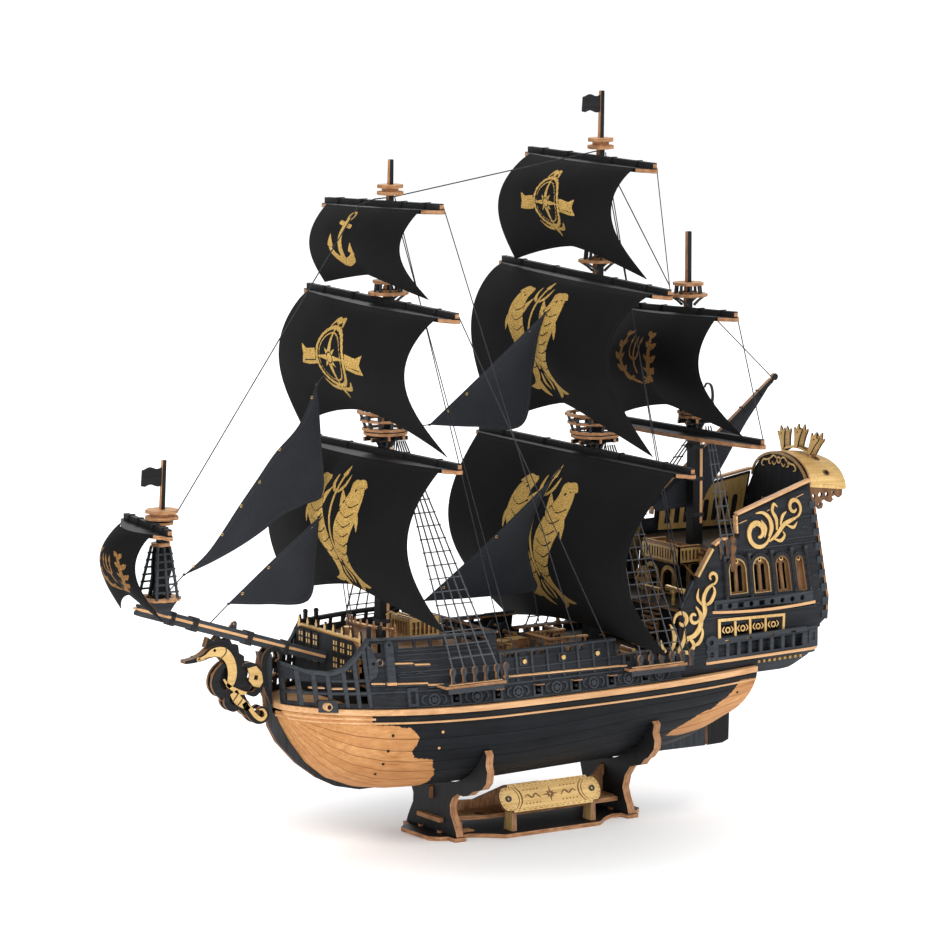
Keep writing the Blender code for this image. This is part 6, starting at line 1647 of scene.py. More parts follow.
# The gold grille round the hatch, with slots in its four sides.
for s in (-1, 1):
    y = s * 12.0 - 1.0
    holes = [rect(a, 140.5, a + 2.4, 150.0) for a in (-82.0, -78.4, -74.8, -71.2, -67.6, -64.0)]
    kit.slab(rect(-84.5, 137.0, -59.5, 153.0), holes, across_y(y - 0.8, y + 0.8), "gold_y")
    holes = [rect(a, 140.5, a + 2.4, 150.0) for a in (-11.4, -7.8, -4.2, -0.6, 3.0, 6.6)]
    x = -84.2 if s < 0 else -59.8
    kit.slab(rect(-13.2, 137.0, 11.2, 153.0), holes, across_x(x - 0.8, x + 0.8), "gold_x")
for a in (-82.5, -77.5, -72.5, -67.5, -62.5):
    kit.box((a - 0.8, -13.0, 152.4), (a + 0.8, 11.0, 153.6), "gold_z")
for b in (-8.5, -3.5, 1.5, 6.5):
    kit.box((-84.5, b - 0.8, 151.8), (-59.5, b + 0.8, 153.0), "gold_z")
kit.slab(ribbon([(-100, 156.4), (-96, 158.2), (-91, 156.0), (-88, 157.6)], [0.8, 1.3, 1.2, 0.6]), [], across_y(-7.0, -5.6), "gold_y")
kit.turned([(137.0, 2.6), (138.6, 3.4), (140.2, 2.0), (146.0, 1.7), (148.4, 3.0), (149.6, 3.0)], (-128, 0, 0), "gold_z", 14)
kit.store("forecastle_fittings")

kit = Kit("wall_x", "birch")
kit.slab(mirrored([(0, 115.9), (63.5, 115.9), (64.6, 134.0), (0, 134.0)]), [arched(s * 30 - 5, 118, s * 30 + 5, 131) for s in (-1, 1)] + [arched(-5.5, 116.6, 5.5, 131.5)], across_x(-46.6, -45.0), "wall_x")
for y in steps(-60, 60, 10):
    kit.box((-45.2, y - 1.0, 137.0), (-43.6, y + 1.0, 148.4), "rail_x", 0.2)
kit.box((-45.9, -66.5, 146.9), (-42.9, 66.5, 148.5), "rail_z")
kit.box((-45.9, -66.5, 141.2), (-43.3, 66.5, 142.2), "rail_z")
for s in (-1, 1):                                            # stairs down to the waist
    for k in range(7):
        z = 116.0 + 2.9 * k
        x = -26.0 - 2.7 * k
        kit.box((x - 1.6, s * 48 - 8, z), (x + 1.6, s * 48 + 8, z + 1.1), "natural_z")
    for m in (-8.8, 8.8):
        kit.slab([(-22.5, 115.9), (-27.5, 115.9), (-45.0, 134.5), (-45.0, 137.2), (-42.4, 137.2)], [], across_y(s * 48 + m - 0.8, s * 48 + m + 0.8), "rail")
kit.store("forecastle_break")

# ================================================================ waist
kit = Kit("natural_z", "gold_z")
for k in range(6):                                          # companion stairs seen over the side
    kit.box((14.5 + 1.6 * k, 34.0, 116.0 + 2.2 * k), (23.5 - 0.2 * k, 46.0, 117.3 + 2.2 * k), "natural_z")
    kit.box((16.0 + 1.6 * k, 34.6, 117.3 + 2.2 * k), (17.2 + 1.6 * k, 45.4, 118.2 + 2.2 * k), "wall_x")
for y in (33.4, 46.6):
    kit.slab([(12.5, 115.9), (15.5, 115.9), (26.0, 130.8), (26.0, 133.0), (23.4, 133.0)], [], across_y(y - 0.7, y + 0.7), "rail")
for k in range(6):
    kit.box((-38.0 + 1.2 * k, 25.0, 116.0 + 1.9 * k), (-30.0, 32.0, 117.2 + 1.9 * k), "natural_z")
# Gratings over the hatch, the fife rail round the main mast and two chests.
for k in range(9):
    y = -13.5 + 3.375 * k
    kit.box((-30.0, y - 0.6, DECK_Z + 0.1), (-8.0, y + 0.6, DECK_Z + 1.5), "gold_z")
for k in range(7):
    x = -29.4 + 3.46 * k
    kit.box((x - 0.6, -14.0, DECK_Z + 0.5), (x + 0.6, 14.0, DECK_Z + 1.1), "gold_z")
for a, b in (((-32.0, -16.0), (-30.0, 16.0)), ((-8.0, -16.0), (-6.0, 16.0)), ((-32.0, -16.0), (-6.0, -14.0)), ((-32.0, 14.0), (-6.0, 16.0))):
    kit.box((*a, DECK_Z + 0.05), (*b, DECK_Z + 2.6), "natural_z", 0.2)
kit.box((17.5, 8.5, DECK_Z + 0.1), (30.0, 18.5, DECK_Z + 8.0), "gold_x", 0.4)
kit.box((17.0, 8.0, DECK_Z + 8.0), (30.5, 19.0, DECK_Z + 9.4), "gold_z", 0.3)
for x in (36.0, 43.5, 51.0, 58.5, 66.0):
    for y in (-15.0, 15.0):
        kit.turned([(DECK_Z + 0.1, 1.7), (DECK_Z + 1.6, 1.2), (DECK_Z + 5.0, 1.6), (DECK_Z + 8.8, 0.9), (DECK_Z + 10.2, 1.5)], (x, y, 0), "gold_z", 12)
for y in (-15.0, 15.0):
    kit.box((34.0, y - 1.7, DECK_Z + 10.2), (68.0, y + 1.7, DECK_Z + 11.8), "gold_z", 0.3)
kit.box((34.0, -13.3, DECK_Z + 10.2), (37.4, 13.3, DECK_Z + 11.8), "gold_z", 0.3)
for y in steps(-12, 12, 5):
    kit.turned([(DECK_Z + 7.0, 0.5), (DECK_Z + 11.8, 0.8), (DECK_Z + 14.4, 0.7)], (35.7, y, 0), "gold_z", 8)
for x, y in ((-2.0, 52.0), (44.0, 50.0), (80.0, 48.0), (80.0, -48.0), (44.0, -50.0), (-2.0, -52.0)):       # deck guns on their carriages
    s = 1 if y > 0 else -1
    kit.box((x - 3.2, min(y - 5, y + 5), DECK_Z + 1.4), (x + 3.2, max(y - 5, y + 5), DECK_Z + 3.6), "natural_z", 0.2)
    for dx in (-3.0, 3.0):
        for dy in (-3.4, 3.4):
            kit.turned([(dx - 0.5, 1.5), (dx + 0.5, 1.5)], (x, y + dy, DECK_Z + 1.6), "black", 12, axis="x")
    kit.turned([(s * -7.0, 0.8), (s * -6.0, 1.9), (s * 4.0, 1.5), (s * 9.0, 1.2), (s * 9.2, 1.6), (s * 10.4, 1.6)], (x, y, DECK_Z + 5.2), "gold_y", 12, axis="y")
kit.store("waist_fittings")


# ================================================================ stern
def stern_low(x):
    return sheer(x) + WALE_T / 2 + 0.4 if x < 186 else along([(186, 101.2), (229, 108.7), (244, 118.5), (251.8, 128)], x)


def stern_top(x):
    return along([(114.4, 147.5), (130.7, 169.1), (152, 194.6), (174, 195.9), (175.6, 211.1), (251.8, 228)], x)


WINDOWS = ((161.0, 154.0, 180.0, 182.0), (184.0, 153.0, 202.0, 181.2), (206.0, 152.0, 221.5, 180.0), (225.5, 151.0, 235.5, 178.5))
LOW_LIGHTS = ((153.0, 125.0, 164.0, 133.0), (167.0, 124.8, 178.0, 132.8), (181.0, 124.6, 192.0, 132.6), (196.0, 124.4, 207.0, 132.4))
xs_stern = [114.4, 120, 125.5, 130.7, 139.5, 148.5, 152, 160, 174.0, 175.6, 184.5, 196, 202.5, 214, 222.5, 229, 240, 251.6]


def spiral(cx, cz, r0, r1, a0, a1, n=18):
    return [(cx + (r0 + (r1 - r0) * k / n) * math.cos(math.radians(a0 + (a1 - a0) * k / n)), cz + (r0 + (r1 - r0) * k / n) * math.sin(math.radians(a0 + (a1 - a0) * k / n)))
            for k in range(n + 1)]


def swell_widths(n, thin, thick):
    return [thin + (thick - thin) * max(0.0, math.sin(math.pi * k / (n - 1))) ** 0.8 for k in range(n)]


for side, word in SIDES:
    wall(f"stern_wall_{word}", xs_stern, [97, 103, 109, 113, 117, 121, 129.5, 137, 141.5, 145, 149, 155.5, 162, 168, 175, 181.5, 189, 195.9, 203, 211, 219, 228],
         lambda x, z, side=side: (x, side * (stern_y(x, z) - 1.0), z), stern_low, stern_top, list(WINDOWS) + list(LOW_LIGHTS), PLY_T, ("wall", "burnt"), replaces=(f"stern_side_{word}",))
    kit = Kit("gold_y", "brown", "birch", "rail")
    put = lambda outline, holes, a, b, face, edge=None: kit.slab(dense(outline, 3.5), [dense(h, 3.5) for h in holes], on_stern(side, a, b), face, edge)
    stroke = lambda pts, widths, a=0.2, b=1.7, face="gold_y", edge="brown": kit.slab(ribbon(pts, [w * (1.5 if face == "gold_y" and len(widths) != 3 or face == "gold_y" and b == 1.7 else 1.0) for w in widths]),
                                                                                     [], on_stern(side, a, b), face, edge)
    # Upper scroll: an old leaf scroll with two curls.
    c1 = spiral(193.0, 197.5, 11.8, 3.2, -20, -455, 26)
    stroke(c1, swell_widths(27, 0.9, 2.7))
    stroke([(204.0, 193.5), (207.0, 200.0), (205.5, 207.0), (199.5, 211.4), (192.5, 211.6)], [1.6, 2.5, 2.2, 1.5, 0.5])
    stroke([(197.5, 206.0), (201.0, 200.0), (199.0, 193.5)], [0.6, 1.9, 0.6])
    stroke([(189.0, 201.5), (192.5, 203.8), (195.5, 201.4)], [0.6, 1.6, 0.6])
    stroke([(203.0, 190.0), (211.0, 194.0), (219.0, 200.5), (226.0, 203.0), (232.0, 204.5)], [0.8, 1.9, 2.2, 1.9, 1.2])
    stroke(spiral(231.8, 212.3, 7.6, 2.2, -95, 330, 20), swell_widths(21, 0.7, 2.0))
    stroke([(212.0, 197.5), (212.5, 205.5), (209.5, 211.5), (211.5, 216.6), (215.0, 214.2)], [1.0, 2.0, 1.7, 1.5, 0.5])
    stroke([(216.0, 200.5), (219.0, 207.0), (223.5, 210.0)], [0.8, 1.7, 0.4])
    stroke([(208.5, 191.5), (214.5, 189.6), (219.0, 193.0), (217.5, 196.2)], [0.8, 1.6, 1.3, 0.4])
    stroke([(222.0, 200.5), (228.5, 198.0), (233.0, 201.5)], [0.6, 1.5, 0.4])
    # Large scroll at the break of the quarterdeck.
    stroke([(104.0, 117.5), (108.0, 124.5), (108.5, 132.5), (105.0, 139.0)], [0.8, 2.1, 2.3, 0.5])
    stroke([(100.5, 119.0), (97.5, 123.5), (96.5, 128.5)], [1.5, 1.5, 0.4])
    stroke([(105.5, 116.5), (112.5, 119.5), (117.5, 127.0), (118.5, 134.5)], [1.4, 2.3, 2.0, 0.7])
    stroke(spiral(116.0, 140.5, 7.2, 2.0, 190, -160, 18), swell_widths(19, 0.8, 2.2))
    stroke([(113.0, 119.0), (121.5, 116.8), (126.0, 121.5), (122.6, 126.5), (119.0, 124.0)], [1.2, 2.0, 2.0, 1.4, 0.6])
    stroke([(118.0, 127.5), (126.5, 128.5), (132.5, 134.5), (133.5, 143.0), (129.5, 149.5)], [1.2, 2.4, 2.8, 2.2, 0.6])
    stroke(spiral(127.5, 142.0, 5.4, 1.6, 20, -330, 16), swell_widths(17, 0.7, 1.7))
    stroke([(124.5, 121.0), (131.0, 123.0), (134.5, 129.0), (134.0, 134.5)], [0.8, 1.9, 1.6, 0.5])
    stroke([(133.5, 137.5), (137.5, 145.5), (136.8, 154.0), (140.5, 161.0), (146.5, 164.5)], [1.4, 2.6, 2.3, 1.9, 1.0])
    stroke(spiral(146.0, 169.2, 5.2, 1.6, -100, 230, 15), swell_widths(16, 0.6, 1.6))
    stroke([(138.0, 149.5), (143.5, 152.0), (147.5, 158.5), (146.0, 163.5)], [0.8, 1.9, 1.6, 0.5])
    stroke([(135.5, 150.0), (131.5, 155.5), (133.0, 162.5)], [0.8, 1.6, 0.4])
    # Rails along the cut top edges.
    stroke([(133.2, 171.0), (140.5, 180.5), (148.2, 190.0)], [1.9, 1.9, 1.9], -2.6, 2.0, "gold_y", "birch")
    stroke([(150.0, 192.6), (156.5, 195.6), (162.5, 196.2)], [1.6, 1.6, 1.6], -2.6, 2.2, "birch", "birch")
    stroke([(116.0, 149.6), (122.0, 158.4), (129.0, 168.2)], [1.3, 1.3, 1.3], -2.4, 1.4, "rail", "rail")
    stroke([(172.9, 199.0), (173.1, 206.0), (173.4, 211.6)], [1.5, 1.5, 1.5], -2.4, 1.8, "birch", "birch")
    stroke([(174.0, 212.8), (200.0, 218.8), (226.0, 224.6), (252.2, 230.2)], [1.7, 1.8, 1.8, 1.8], -2.6, 2.2, "birch", "birch")
    for x in (176.0, 205.0, 236.0):                            # dashes of natural ply under the rail
        z = stern_top(x) - 5.6
        stroke([(x, z), (x + 4, z + 0.9), (x + 8, z + 1.8)], [0.4, 0.5, 0.4], 0.0, 0.5, "birch", "birch")
    # Arched windows with a round-headed frame, two lights and columns between.
    for n, (x0, z0, x1, z1) in enumerate(WINDOWS):
        mid = (x0 + x1) / 2
        outer, inner = arched(x0 - 1.6, z0 - 1.2, x1 + 1.6, z1 + 1.8), arched(x0 + 0.9, z0 + 0.8, x1 - 0.9, z1 - 1.0)
        put(outer, [inner], 0.1, 1.6, "wall", "burnt")
        # The first two window frames and the lights' cut edges are in the darker gold: painted shade.
        put(arched(x0 + 0.2, z0 + 0.2, x1 - 0.2, z1 - 0.2), [arched(x0 + 2.1, z0 + 1.4, x1 - 2.1, z1 - 2.3)], -1.0, 1.3, "gold_painted_shade" if n < 2 else "brown", "brown")
        put(arched(x0 + 0.6, z0 + 0.6, x1 - 0.6, z1 - 0.8), [arched(x0 + 3.2, z0 + 2.0, mid - 1.3, z1 - 6.4), arched(mid + 1.3, z0 + 2.0, x1 - 3.2, z1 - 6.4)], -2.6, -1.0, "brown", "gold_painted_shade")
        put(circle(mid, z1 - 3.2, 1.9, 14), [circle(mid, z1 - 3.2, 1.1, 10)], -1.0, 0.4, "gold_y", "brown")
    for x in (158.6, 182.0, 204.0, 223.5, 237.6):
        z0, z1 = 151.5, 183.6
        put(rect(x - 1.0, z0, x + 1.0, z1), [], 0.0, 2.6, "rail")
        put(rect(x - 1.7, z1 - 1.6, x + 1.7, z1 + 0.4), [], 0.0, 3.0, "rail", "burnt")
        put(rect(x - 0.4, z0 + 2, x + 0.4, z1 - 3), [], 2.6, 3.0, "burnt")
    # Figure that carries the corner of the poop: a plain turned term.
    yy = stern_y(168.2, 184)
    kit.turned([(171.5, 1.0), (176.0, 2.1), (181.0, 2.6), (184.0, 1.5), (186.5, 2.4), (189.4, 3.1), (191.0, 1.8), (192.4, 1.2), (194.2, 2.1), (196.4, 2.1), (197.6, 1.0)], (166.4, side * (yy + 1.8), 0), "brown", 12)
    # Upper balustrade under the windows, standing out on a natural shelf.
    zmid = lambda x: 142.4 + 1.5 * ((x - 188) / 45) ** 2 - 0.01 * (x - 145)
    rings = []
    for x in steps(145.0, 238.0, 20):
        y = stern_y(x, 142) + 4.8 * math.sin(math.pi * min(1.0, (x - 143.0) / 60) * 0.5)
        rings.append([(x, side * (stern_y(x, 142) - 0.3), zmid(x) - 1.0), (x, side * (y + 1.0), zmid(x) - 1.0), (x, side * (y + 1.0), zmid(x) + 0.9), (x, side * (stern_y(x, 142) - 0.3), zmid(x) + 0.9)])
    kit.loft(rings, "birch")
    holes = []
    for k, x in enumerate((151.0, 160.0, 169.5, 179.0, 188.5, 198.0, 207.5, 217.0, 226.5)):
        holes.append(rect(x - 2.6, 145.4, x + 2.6, 149.2) if k % 2 == 0 and k < 5 else circle(x, 147.3, 2.1, 12))
    kit.slab(dense([(146.5, 143.6), (236.5, 143.6), (236.5, 151.6), (200, 151.9), (146.5, 152.2)], 3.0), holes,
             lambda u, v, w: (u, side * (stern_y(u, 142) + 4.0 * math.sin(math.pi * min(1.0, (u - 143.0) / 60) * 0.5) - 0.9 + 1.5 * w), v), "rail", "rail")
    # Gold framed panel row between the galleries.
    put([(149.0, 121.6), (212.0, 121.0), (212.6, 136.6), (149.4, 138.4)], [[(151.6, 123.8), (210.0, 123.2), (210.4, 134.6), (151.8, 136.2)]], 0.1, 1.5, "gold_y", "brown")
    for n, x in enumerate((165.5, 179.5, 194.0)):
        put(rect(x - 1.0, 123.0, x + 1.0, 135.4), [], 0.1, 1.3, "gold_y", "brown")
    for n, x in enumerate((158.5, 172.5, 187.0, 201.5)):
        put(circle(x, 129.4, 2.4, 14), [circle(x, 129.4, 1.4, 10)], 0.0, 1.2, "gold_y", "brown")
        for m in (-1, 1):
            stroke([(x + m * 2.8, 127.2), (x + m * 4.8, 129.4), (x + m * 3.0, 132.2)], [0.5, 1.0, 0.4], 0.0, 1.1)
    # Dark sheets behind the lights: painted shade of the space inside.
    for x0, z0, x1, z1, deep in ((150.5, 121.6, 211.5, 136.6, 5.0), (160.0, 150.2, 238.0, 183.0, 14.0)):
        shade_sheet = [(x, z) for x, z in ((x0, z0), (x1, z0), (x1, z1), (x0, z1))]
        kit.slab(dense(shade_sheet, 6.0), [], lambda u, v, w, deep=deep: (u, side * (min(stern_y(u, v), stern_y(u, 150)) - deep + 0.8 * w), v), "dark")
    # Battens and knots on the plain parts of the wall.
    for z, a, b in ((118.2, 116, 240), (139.6, 118, 243), (186.0, 178, 249), (204.6, 205, 249), (190.0, 212, 249), (112.4, 118, 236)):
        stroke([(x, z - 0.004 * (x - a)) for x in steps(a, b, 8)], [0.6] * 9, 0.0, 0.9, "rail", "rail")
    for x, z, w in ((243.0, 160.0, 0.9), (246.5, 150.0, 0.7), (243.5, 140.0, 0.9), (240.5, 196.0, 0.8)):
        stroke([(x - 3.0, z), (x, z + 1.2), (x + 3.2, z + 0.2)], [0.4, w, 0.4], 0.0, 0.9, "rail", "rail")
    kit.store(f"stern_ornament_{word}")

    # Lower gallery: shelf with a natural edge, pierced balustrade and a shaped end post.
    kit = Kit("rail", "birch")
    out = lambda x, z: max(stern_y(x, z), stern_y(x, z + 22)) + 0.35
    shelf = lambda x: 105.4 + 2.2 * (x - 130.7) / 98
    rings, lower = [], []
    for x in steps(128.5, 241.0, 20):
        e = min(1.0, (x - 126.5) / 12, (244.0 - x) / 5)
        y0, z = min(out(x, shelf(x)), out(228, 107)) - 0.2, shelf(x)
        rings.append([(x, side * (y0 - 4.0), z), (x, side * (y0 + 0.6 + 6.8 * e), z), (x, side * (y0 + 0.6 + 6.8 * e), z + 2.0), (x, side * (y0 - 4.0), z + 2.0)])
        lower.append([(x, side * (y0 - 3.0), z - 3.0), (x, side * (y0 + 3.0 * e), z - 3.0), (x, side * (y0 + 4.4 * e), z - 0.05), (x, side * (y0 - 3.0), z - 0.05)])
    kit.loft(rings, "birch")
    kit.loft(lower, "rail")
    counter = []                                              # dark counter that steps in under the shelf to the planking
    for x in steps(176.0, 239.0, 14):
        y0, z = min(out(x, shelf(x)), out(228, 107)) - 0.2, shelf(x)
        foot = along([(176, 93.0), (214, 93.4), (222, 94.4), (239, 101.8)], x)
        counter.append([(x, 0.0, foot), (x, side * (y0 - 4.6), foot), (x, side * (y0 - 1.2), z - 2.9), (x, 0.0, z - 2.9)])
    kit.loft(counter, "rail")
    base = lambda u: min(out(u, shelf(u)), out(228, 107))
    screen = lambda u, v, w: (u, side * (base(u) + 5.0 + 1.7 * w), v + (shelf(u) - 105.4))
    holes = [rect(x - 3.6, 109.6, x + 3.6, 119.0) for x in (152.5, 162.5, 172.5, 182.5, 192.5, 202.5, 212.5, 222.0)] + [rect(x - 2.2, 120.6, x + 2.2, 121.8) for x in (157, 177, 197, 217)]
    outline = [(137.0, 107.5), (240.0, 107.5), (240.0, 122.6), (229.0, 122.6), (229.0, 123.6), (148.0, 123.6), (146.6, 125.4), (143.0, 126.6), (138.6, 125.4), (137.4, 121.5), (139.6, 118.6), (138.0, 115.4), (139.8, 111.6)]
    kit.slab(dense(outline, 3.5), holes + [circle(142.8, 121.2, 2.0, 12), circle(143.2, 112.2, 2.1, 12)], screen, "rail", "rail")
    kit.slab(dense(rect(230.8, 110.6, 238.4, 120.6), 3.0), [dense(rect(232.8, 112.8, 236.4, 118.4), 3.0)], lambda u, v, w: (u, side * (base(u) + 6.8 + 0.9 * w), v + (shelf(u) - 105.4)), "rail")
    for x in steps(150.0, 226.0, 16):                         # teeth under the shelf
        # The teeth are in the darker gold: painted shade under the shelf.
        kit.box((x - 1.0, min(side * (base(x) - 1.0), side * (base(x) + 3.6)), shelf(x) - 5.0), (x + 1.0, max(side * (base(x) - 1.0), side * (base(x) + 3.6)), shelf(x) - 2.9), "gold_painted_shade")
    kit.store(f"gallery_built_{word}", replaces=(f"gallery_{word}",))

    # Inner face of the poop bulwark: gold, with round-headed slots.
    kit = Kit("gold_y", "brown")
    inner_face = lambda u, v, w: (u, side * (stern_y(u, v) - 2.4 - 1.0 * w), v)
    outline = [(178.0, 186.5), (249.0, 186.5), (249.0, 226.0), (215.0, 218.6), (178.0, 210.6)]
    holes = [dense(arched(x - 2.2, 191.0, x + 2.2, 204.5 + (x - 185) * 0.11), 3.0) for x in (185.0, 193.0, 201.0, 209.0, 217.0, 225.0, 233.0, 241.0)]
    kit.slab(dense(outline, 3.5), holes, inner_face, "gold_y", "brown")
    outline = [(120.0, 150.0), (163.0, 150.0), (163.0, 191.5), (150.5, 190.0), (136.0, 172.0), (121.5, 154.0)]
    # The forward part is in the darker gold: painted shade on the inner face.
    kit.slab(dense(outline, 3.5), [dense(arched(x - 2.4, 155.0, x + 2.4, 165.0 + (x - 135) * 0.4), 3.0) for x in (139.0, 147.0, 155.0)], inner_face, "gold_painted_shade", "brown")
    kit.store(f"inner_bulwark_{word}")

# Quarterdeck break and the front of the cabin.
kit = Kit("wall_x", "brown")
half0 = stern_y(116, 140) - 3.0
kit.slab(mirrored([(0, 116.0), (half0 - 0.5, 116.0), (half0, 146.3), (0, 146.3)]), [arched(-6, 117.2, 6, 136)] + [arched(s * 30 - 5.5, 120, s * 30 + 5.5, 138) for s in (-1, 1)], across_x(117.0, 118.8), "wall_x")
for s in (-1, 0, 1):
    a, b = s * 30 - 7.2, s * 30 + 7.2
    kit.slab(arched(a, 116.6, b, 140.2), [arched(a + 1.9, 118.2, b - 1.9, 137.6)], across_x(115.6, 116.9), "gold_x", "brown")
for y in steps(-34.0, 34.0, 6):
    kit.turned([(148.8, 1.3), (150.2, 1.0), (153.4, 1.5), (157.4, 0.9), (158.6, 1.3)], (118.0, y, 0), "gold_z", 10) if abs(y) > 12 else None
for s in (-1, 1):
    kit.box((116.4, min(s * 12, s * 36), 158.6), (119.6, max(s * 12, s * 36), 160.2), "gold_z", 0.2)
    for k in range(9):
        kit.box((103.0 + 1.5 * k, s * 30 - 9 if s > 0 else s * 30 - 9, 117.0 + 3.4 * k), (108.5 + 1.2 * k, s * 30 + 9, 118.1 + 3.4 * k), "natural_z")
# Cabin front: pilasters, arched doorway and windows in gold.
for y in (-52, -44, -25, -10.5, 10.5, 25, 44, 52):
    kit.box((162.2, y - 1.6, 149.0), (163.9, y + 1.6, 181.5), "gold_x", 0.2)
    kit.box((161.6, y - 2.3, 178.8), (163.95, y + 2.3, 181.0), "brown", 0.2)
kit.slab(arched(-8.4, 149.2, 8.4, 173.0), [arched(-6, 151, 6, 170)], across_x(162.6, 163.95), "gold_x", "brown")
for s in (-1, 1):
    kit.slab(arched(s * 34 - 7, 154, s * 34 + 7, 174.4), [arched(s * 34 - 5, 156, s * 34 + 5, 172)], across_x(162.8, 163.95), "gold_x", "brown")
    kit.box((163.2, s * 34 - 0.5, 156), (163.9, s * 34 + 0.5, 172), "brown")
    kit.box((163.2, s * 34 - 5, 163), (163.9, s * 34 + 5, 164), "brown")
kit.store("cabin_front")

# Bay on the poop's front edge, over a row of arches.
kit = Kit("gold_x", "brown")
slots = lambda a, b, n: [arched(u - 0.85, 176.2, u + 0.85, 183.8, 4) for u in steps(a, b, n)]
kit.slab(rect(-23, 173, 23, 186.2), slots(-20.5, 20.5, 12), across_x(143.2, 144.8), "gold_x", "brown")
for s in (-1, 1):
    kit.slab(rect(144.8, 173, 163.4, 186.2), slots(147.4, 160.8, 4), across_y(s * 22.2 - 0.8, s * 22.2 + 0.8), "gold_y", "brown")
    kit.box((143.0, s * 21.9 - 1.1, 172.8), (145.4, s * 21.9 + 1.1, 186.9), "gold_x", 0.2)
    kit.slab(ribbon([(163.4, 160), (156.5, 166.5), (150.0, 173.0)], [1.2, 1.9, 1.2]), [], across_y(s * 20 - 1.0, s * 20 + 1.0), "gold_y", "brown")
kit.box((143.0, -23.0, 172.9), (163.4, 23.0, 174.6), "natural_z", 0.2)
kit.box((143.0, -23.0, 185.2), (145.8, 23.0, 187.0), "gold_z", 0.2)
for s in (-1, 1):
    kit.box((145.8, min(s * 20.4, s * 23.0), 185.2), (163.4, max(s * 20.4, s * 23.0), 187.0), "gold_z", 0.2)
for u in steps(-21, 21, 14):
    kit.box((143.0, u - 0.9, 186.9), (145.0, u + 0.9, 187.9), "gold_z")
kit.slab(rect(-22.6, 149.6, 22.6, 172.9), [arched(-19.6, 149.9, -2.2, 169.4), arched(2.2, 149.9, 19.6, 169.4)], across_x(144.0, 145.2), "wall_x", "brown")
for s in (-1, 1):
    m = s * 10.9
    kit.slab(arched(m - 9.8, 150.0, m + 9.8, 171.4), [arched(m - 6.9, 151.0, m + 6.9, 168.2)], across_x(142.9, 143.95), "gold_x", "brown")
kit.store("bay_built", replaces=("balcony",))

# ---------------------------------------------------------------- roof over the stern and its three lanterns
kit = Kit("gold_z", "brown", "black")
roof = []
for x, drop in ((255.6, 0.0), (262.0, 0.1), (268.0, 0.5), (274.0, 1.2), (279.0, 2.2), (284.0, 3.6), (288.6, 5.4)):
    half, rise = 35.0, 21.0
    outer = [(half * math.cos(a), 226 + rise * math.sin(a) - drop) for a in steps(0.0, math.pi, 36)]
    inner = [((half - 1.5) * math.cos(a), 226 + (rise - 1.5) * math.sin(a) - drop) for a in steps(math.pi, 0.0, 36)]
    roof.append([(x, y, z) for y, z in outer + inner])
kit.loft(roof, "gold")
arch_o = [(34.8 * math.cos(a), 225.6 + 21.2 * math.sin(a)) for a in steps(0.0, math.pi, 36)]
arch_i = [(30.2 * math.cos(a), 225.6 + 10.5 * math.sin(a)) for a in steps(math.pi, 0.0, 30)]
kit.slab(arch_o + arch_i, [], across_x(254.5, 255.7), "black", "gold_x")
# The band behind the front arch is in the darker gold: painted shade.
kit.slab([(34.9 * math.cos(a), 225.8 + 21.3 * math.sin(a)) for a in steps(0.0, math.pi, 36)] + [(33.2 * math.cos(a), 225.8 + 19.4 * math.sin(a)) for a in steps(math.pi, 0.0, 36)], [],
         across_x(251.0, 252.3), "gold_painted_shade", "brown")
face = across_x(251.2, 252.3)
for s in (-1, 1):
    kit.slab(ribbon([(s * 2.0, 241.5), (s * 6.5, 243.6), (s * 10.5, 241.0), (s * 15.0, 239.6), (s * 19.5, 239.0), (s * 21.6, 235.6), (s * 18.6, 234.4)], [0.8, 1.3, 1.4, 1.4, 1.4, 1.2, 0.5]), [], face, "gold_x", "brown")
    kit.slab(ribbon([(s * 10.5, 241.2), (s * 12.5, 237.6), (s * 9.4, 236.6)], [0.6, 1.3, 0.5]), [], face, "gold_x", "brown")
    kit.slab(ribbon([(s * 3.0, 239.0), (s * 6.0, 236.6), (s * 8.4, 239.0)], [0.6, 1.1, 0.5]), [], face, "gold_x", "brown")
kit.slab(circle(0, 240.8, 2.8, 18), [circle(0, 240.8, 1.5, 14)], face, "gold_x", "brown")
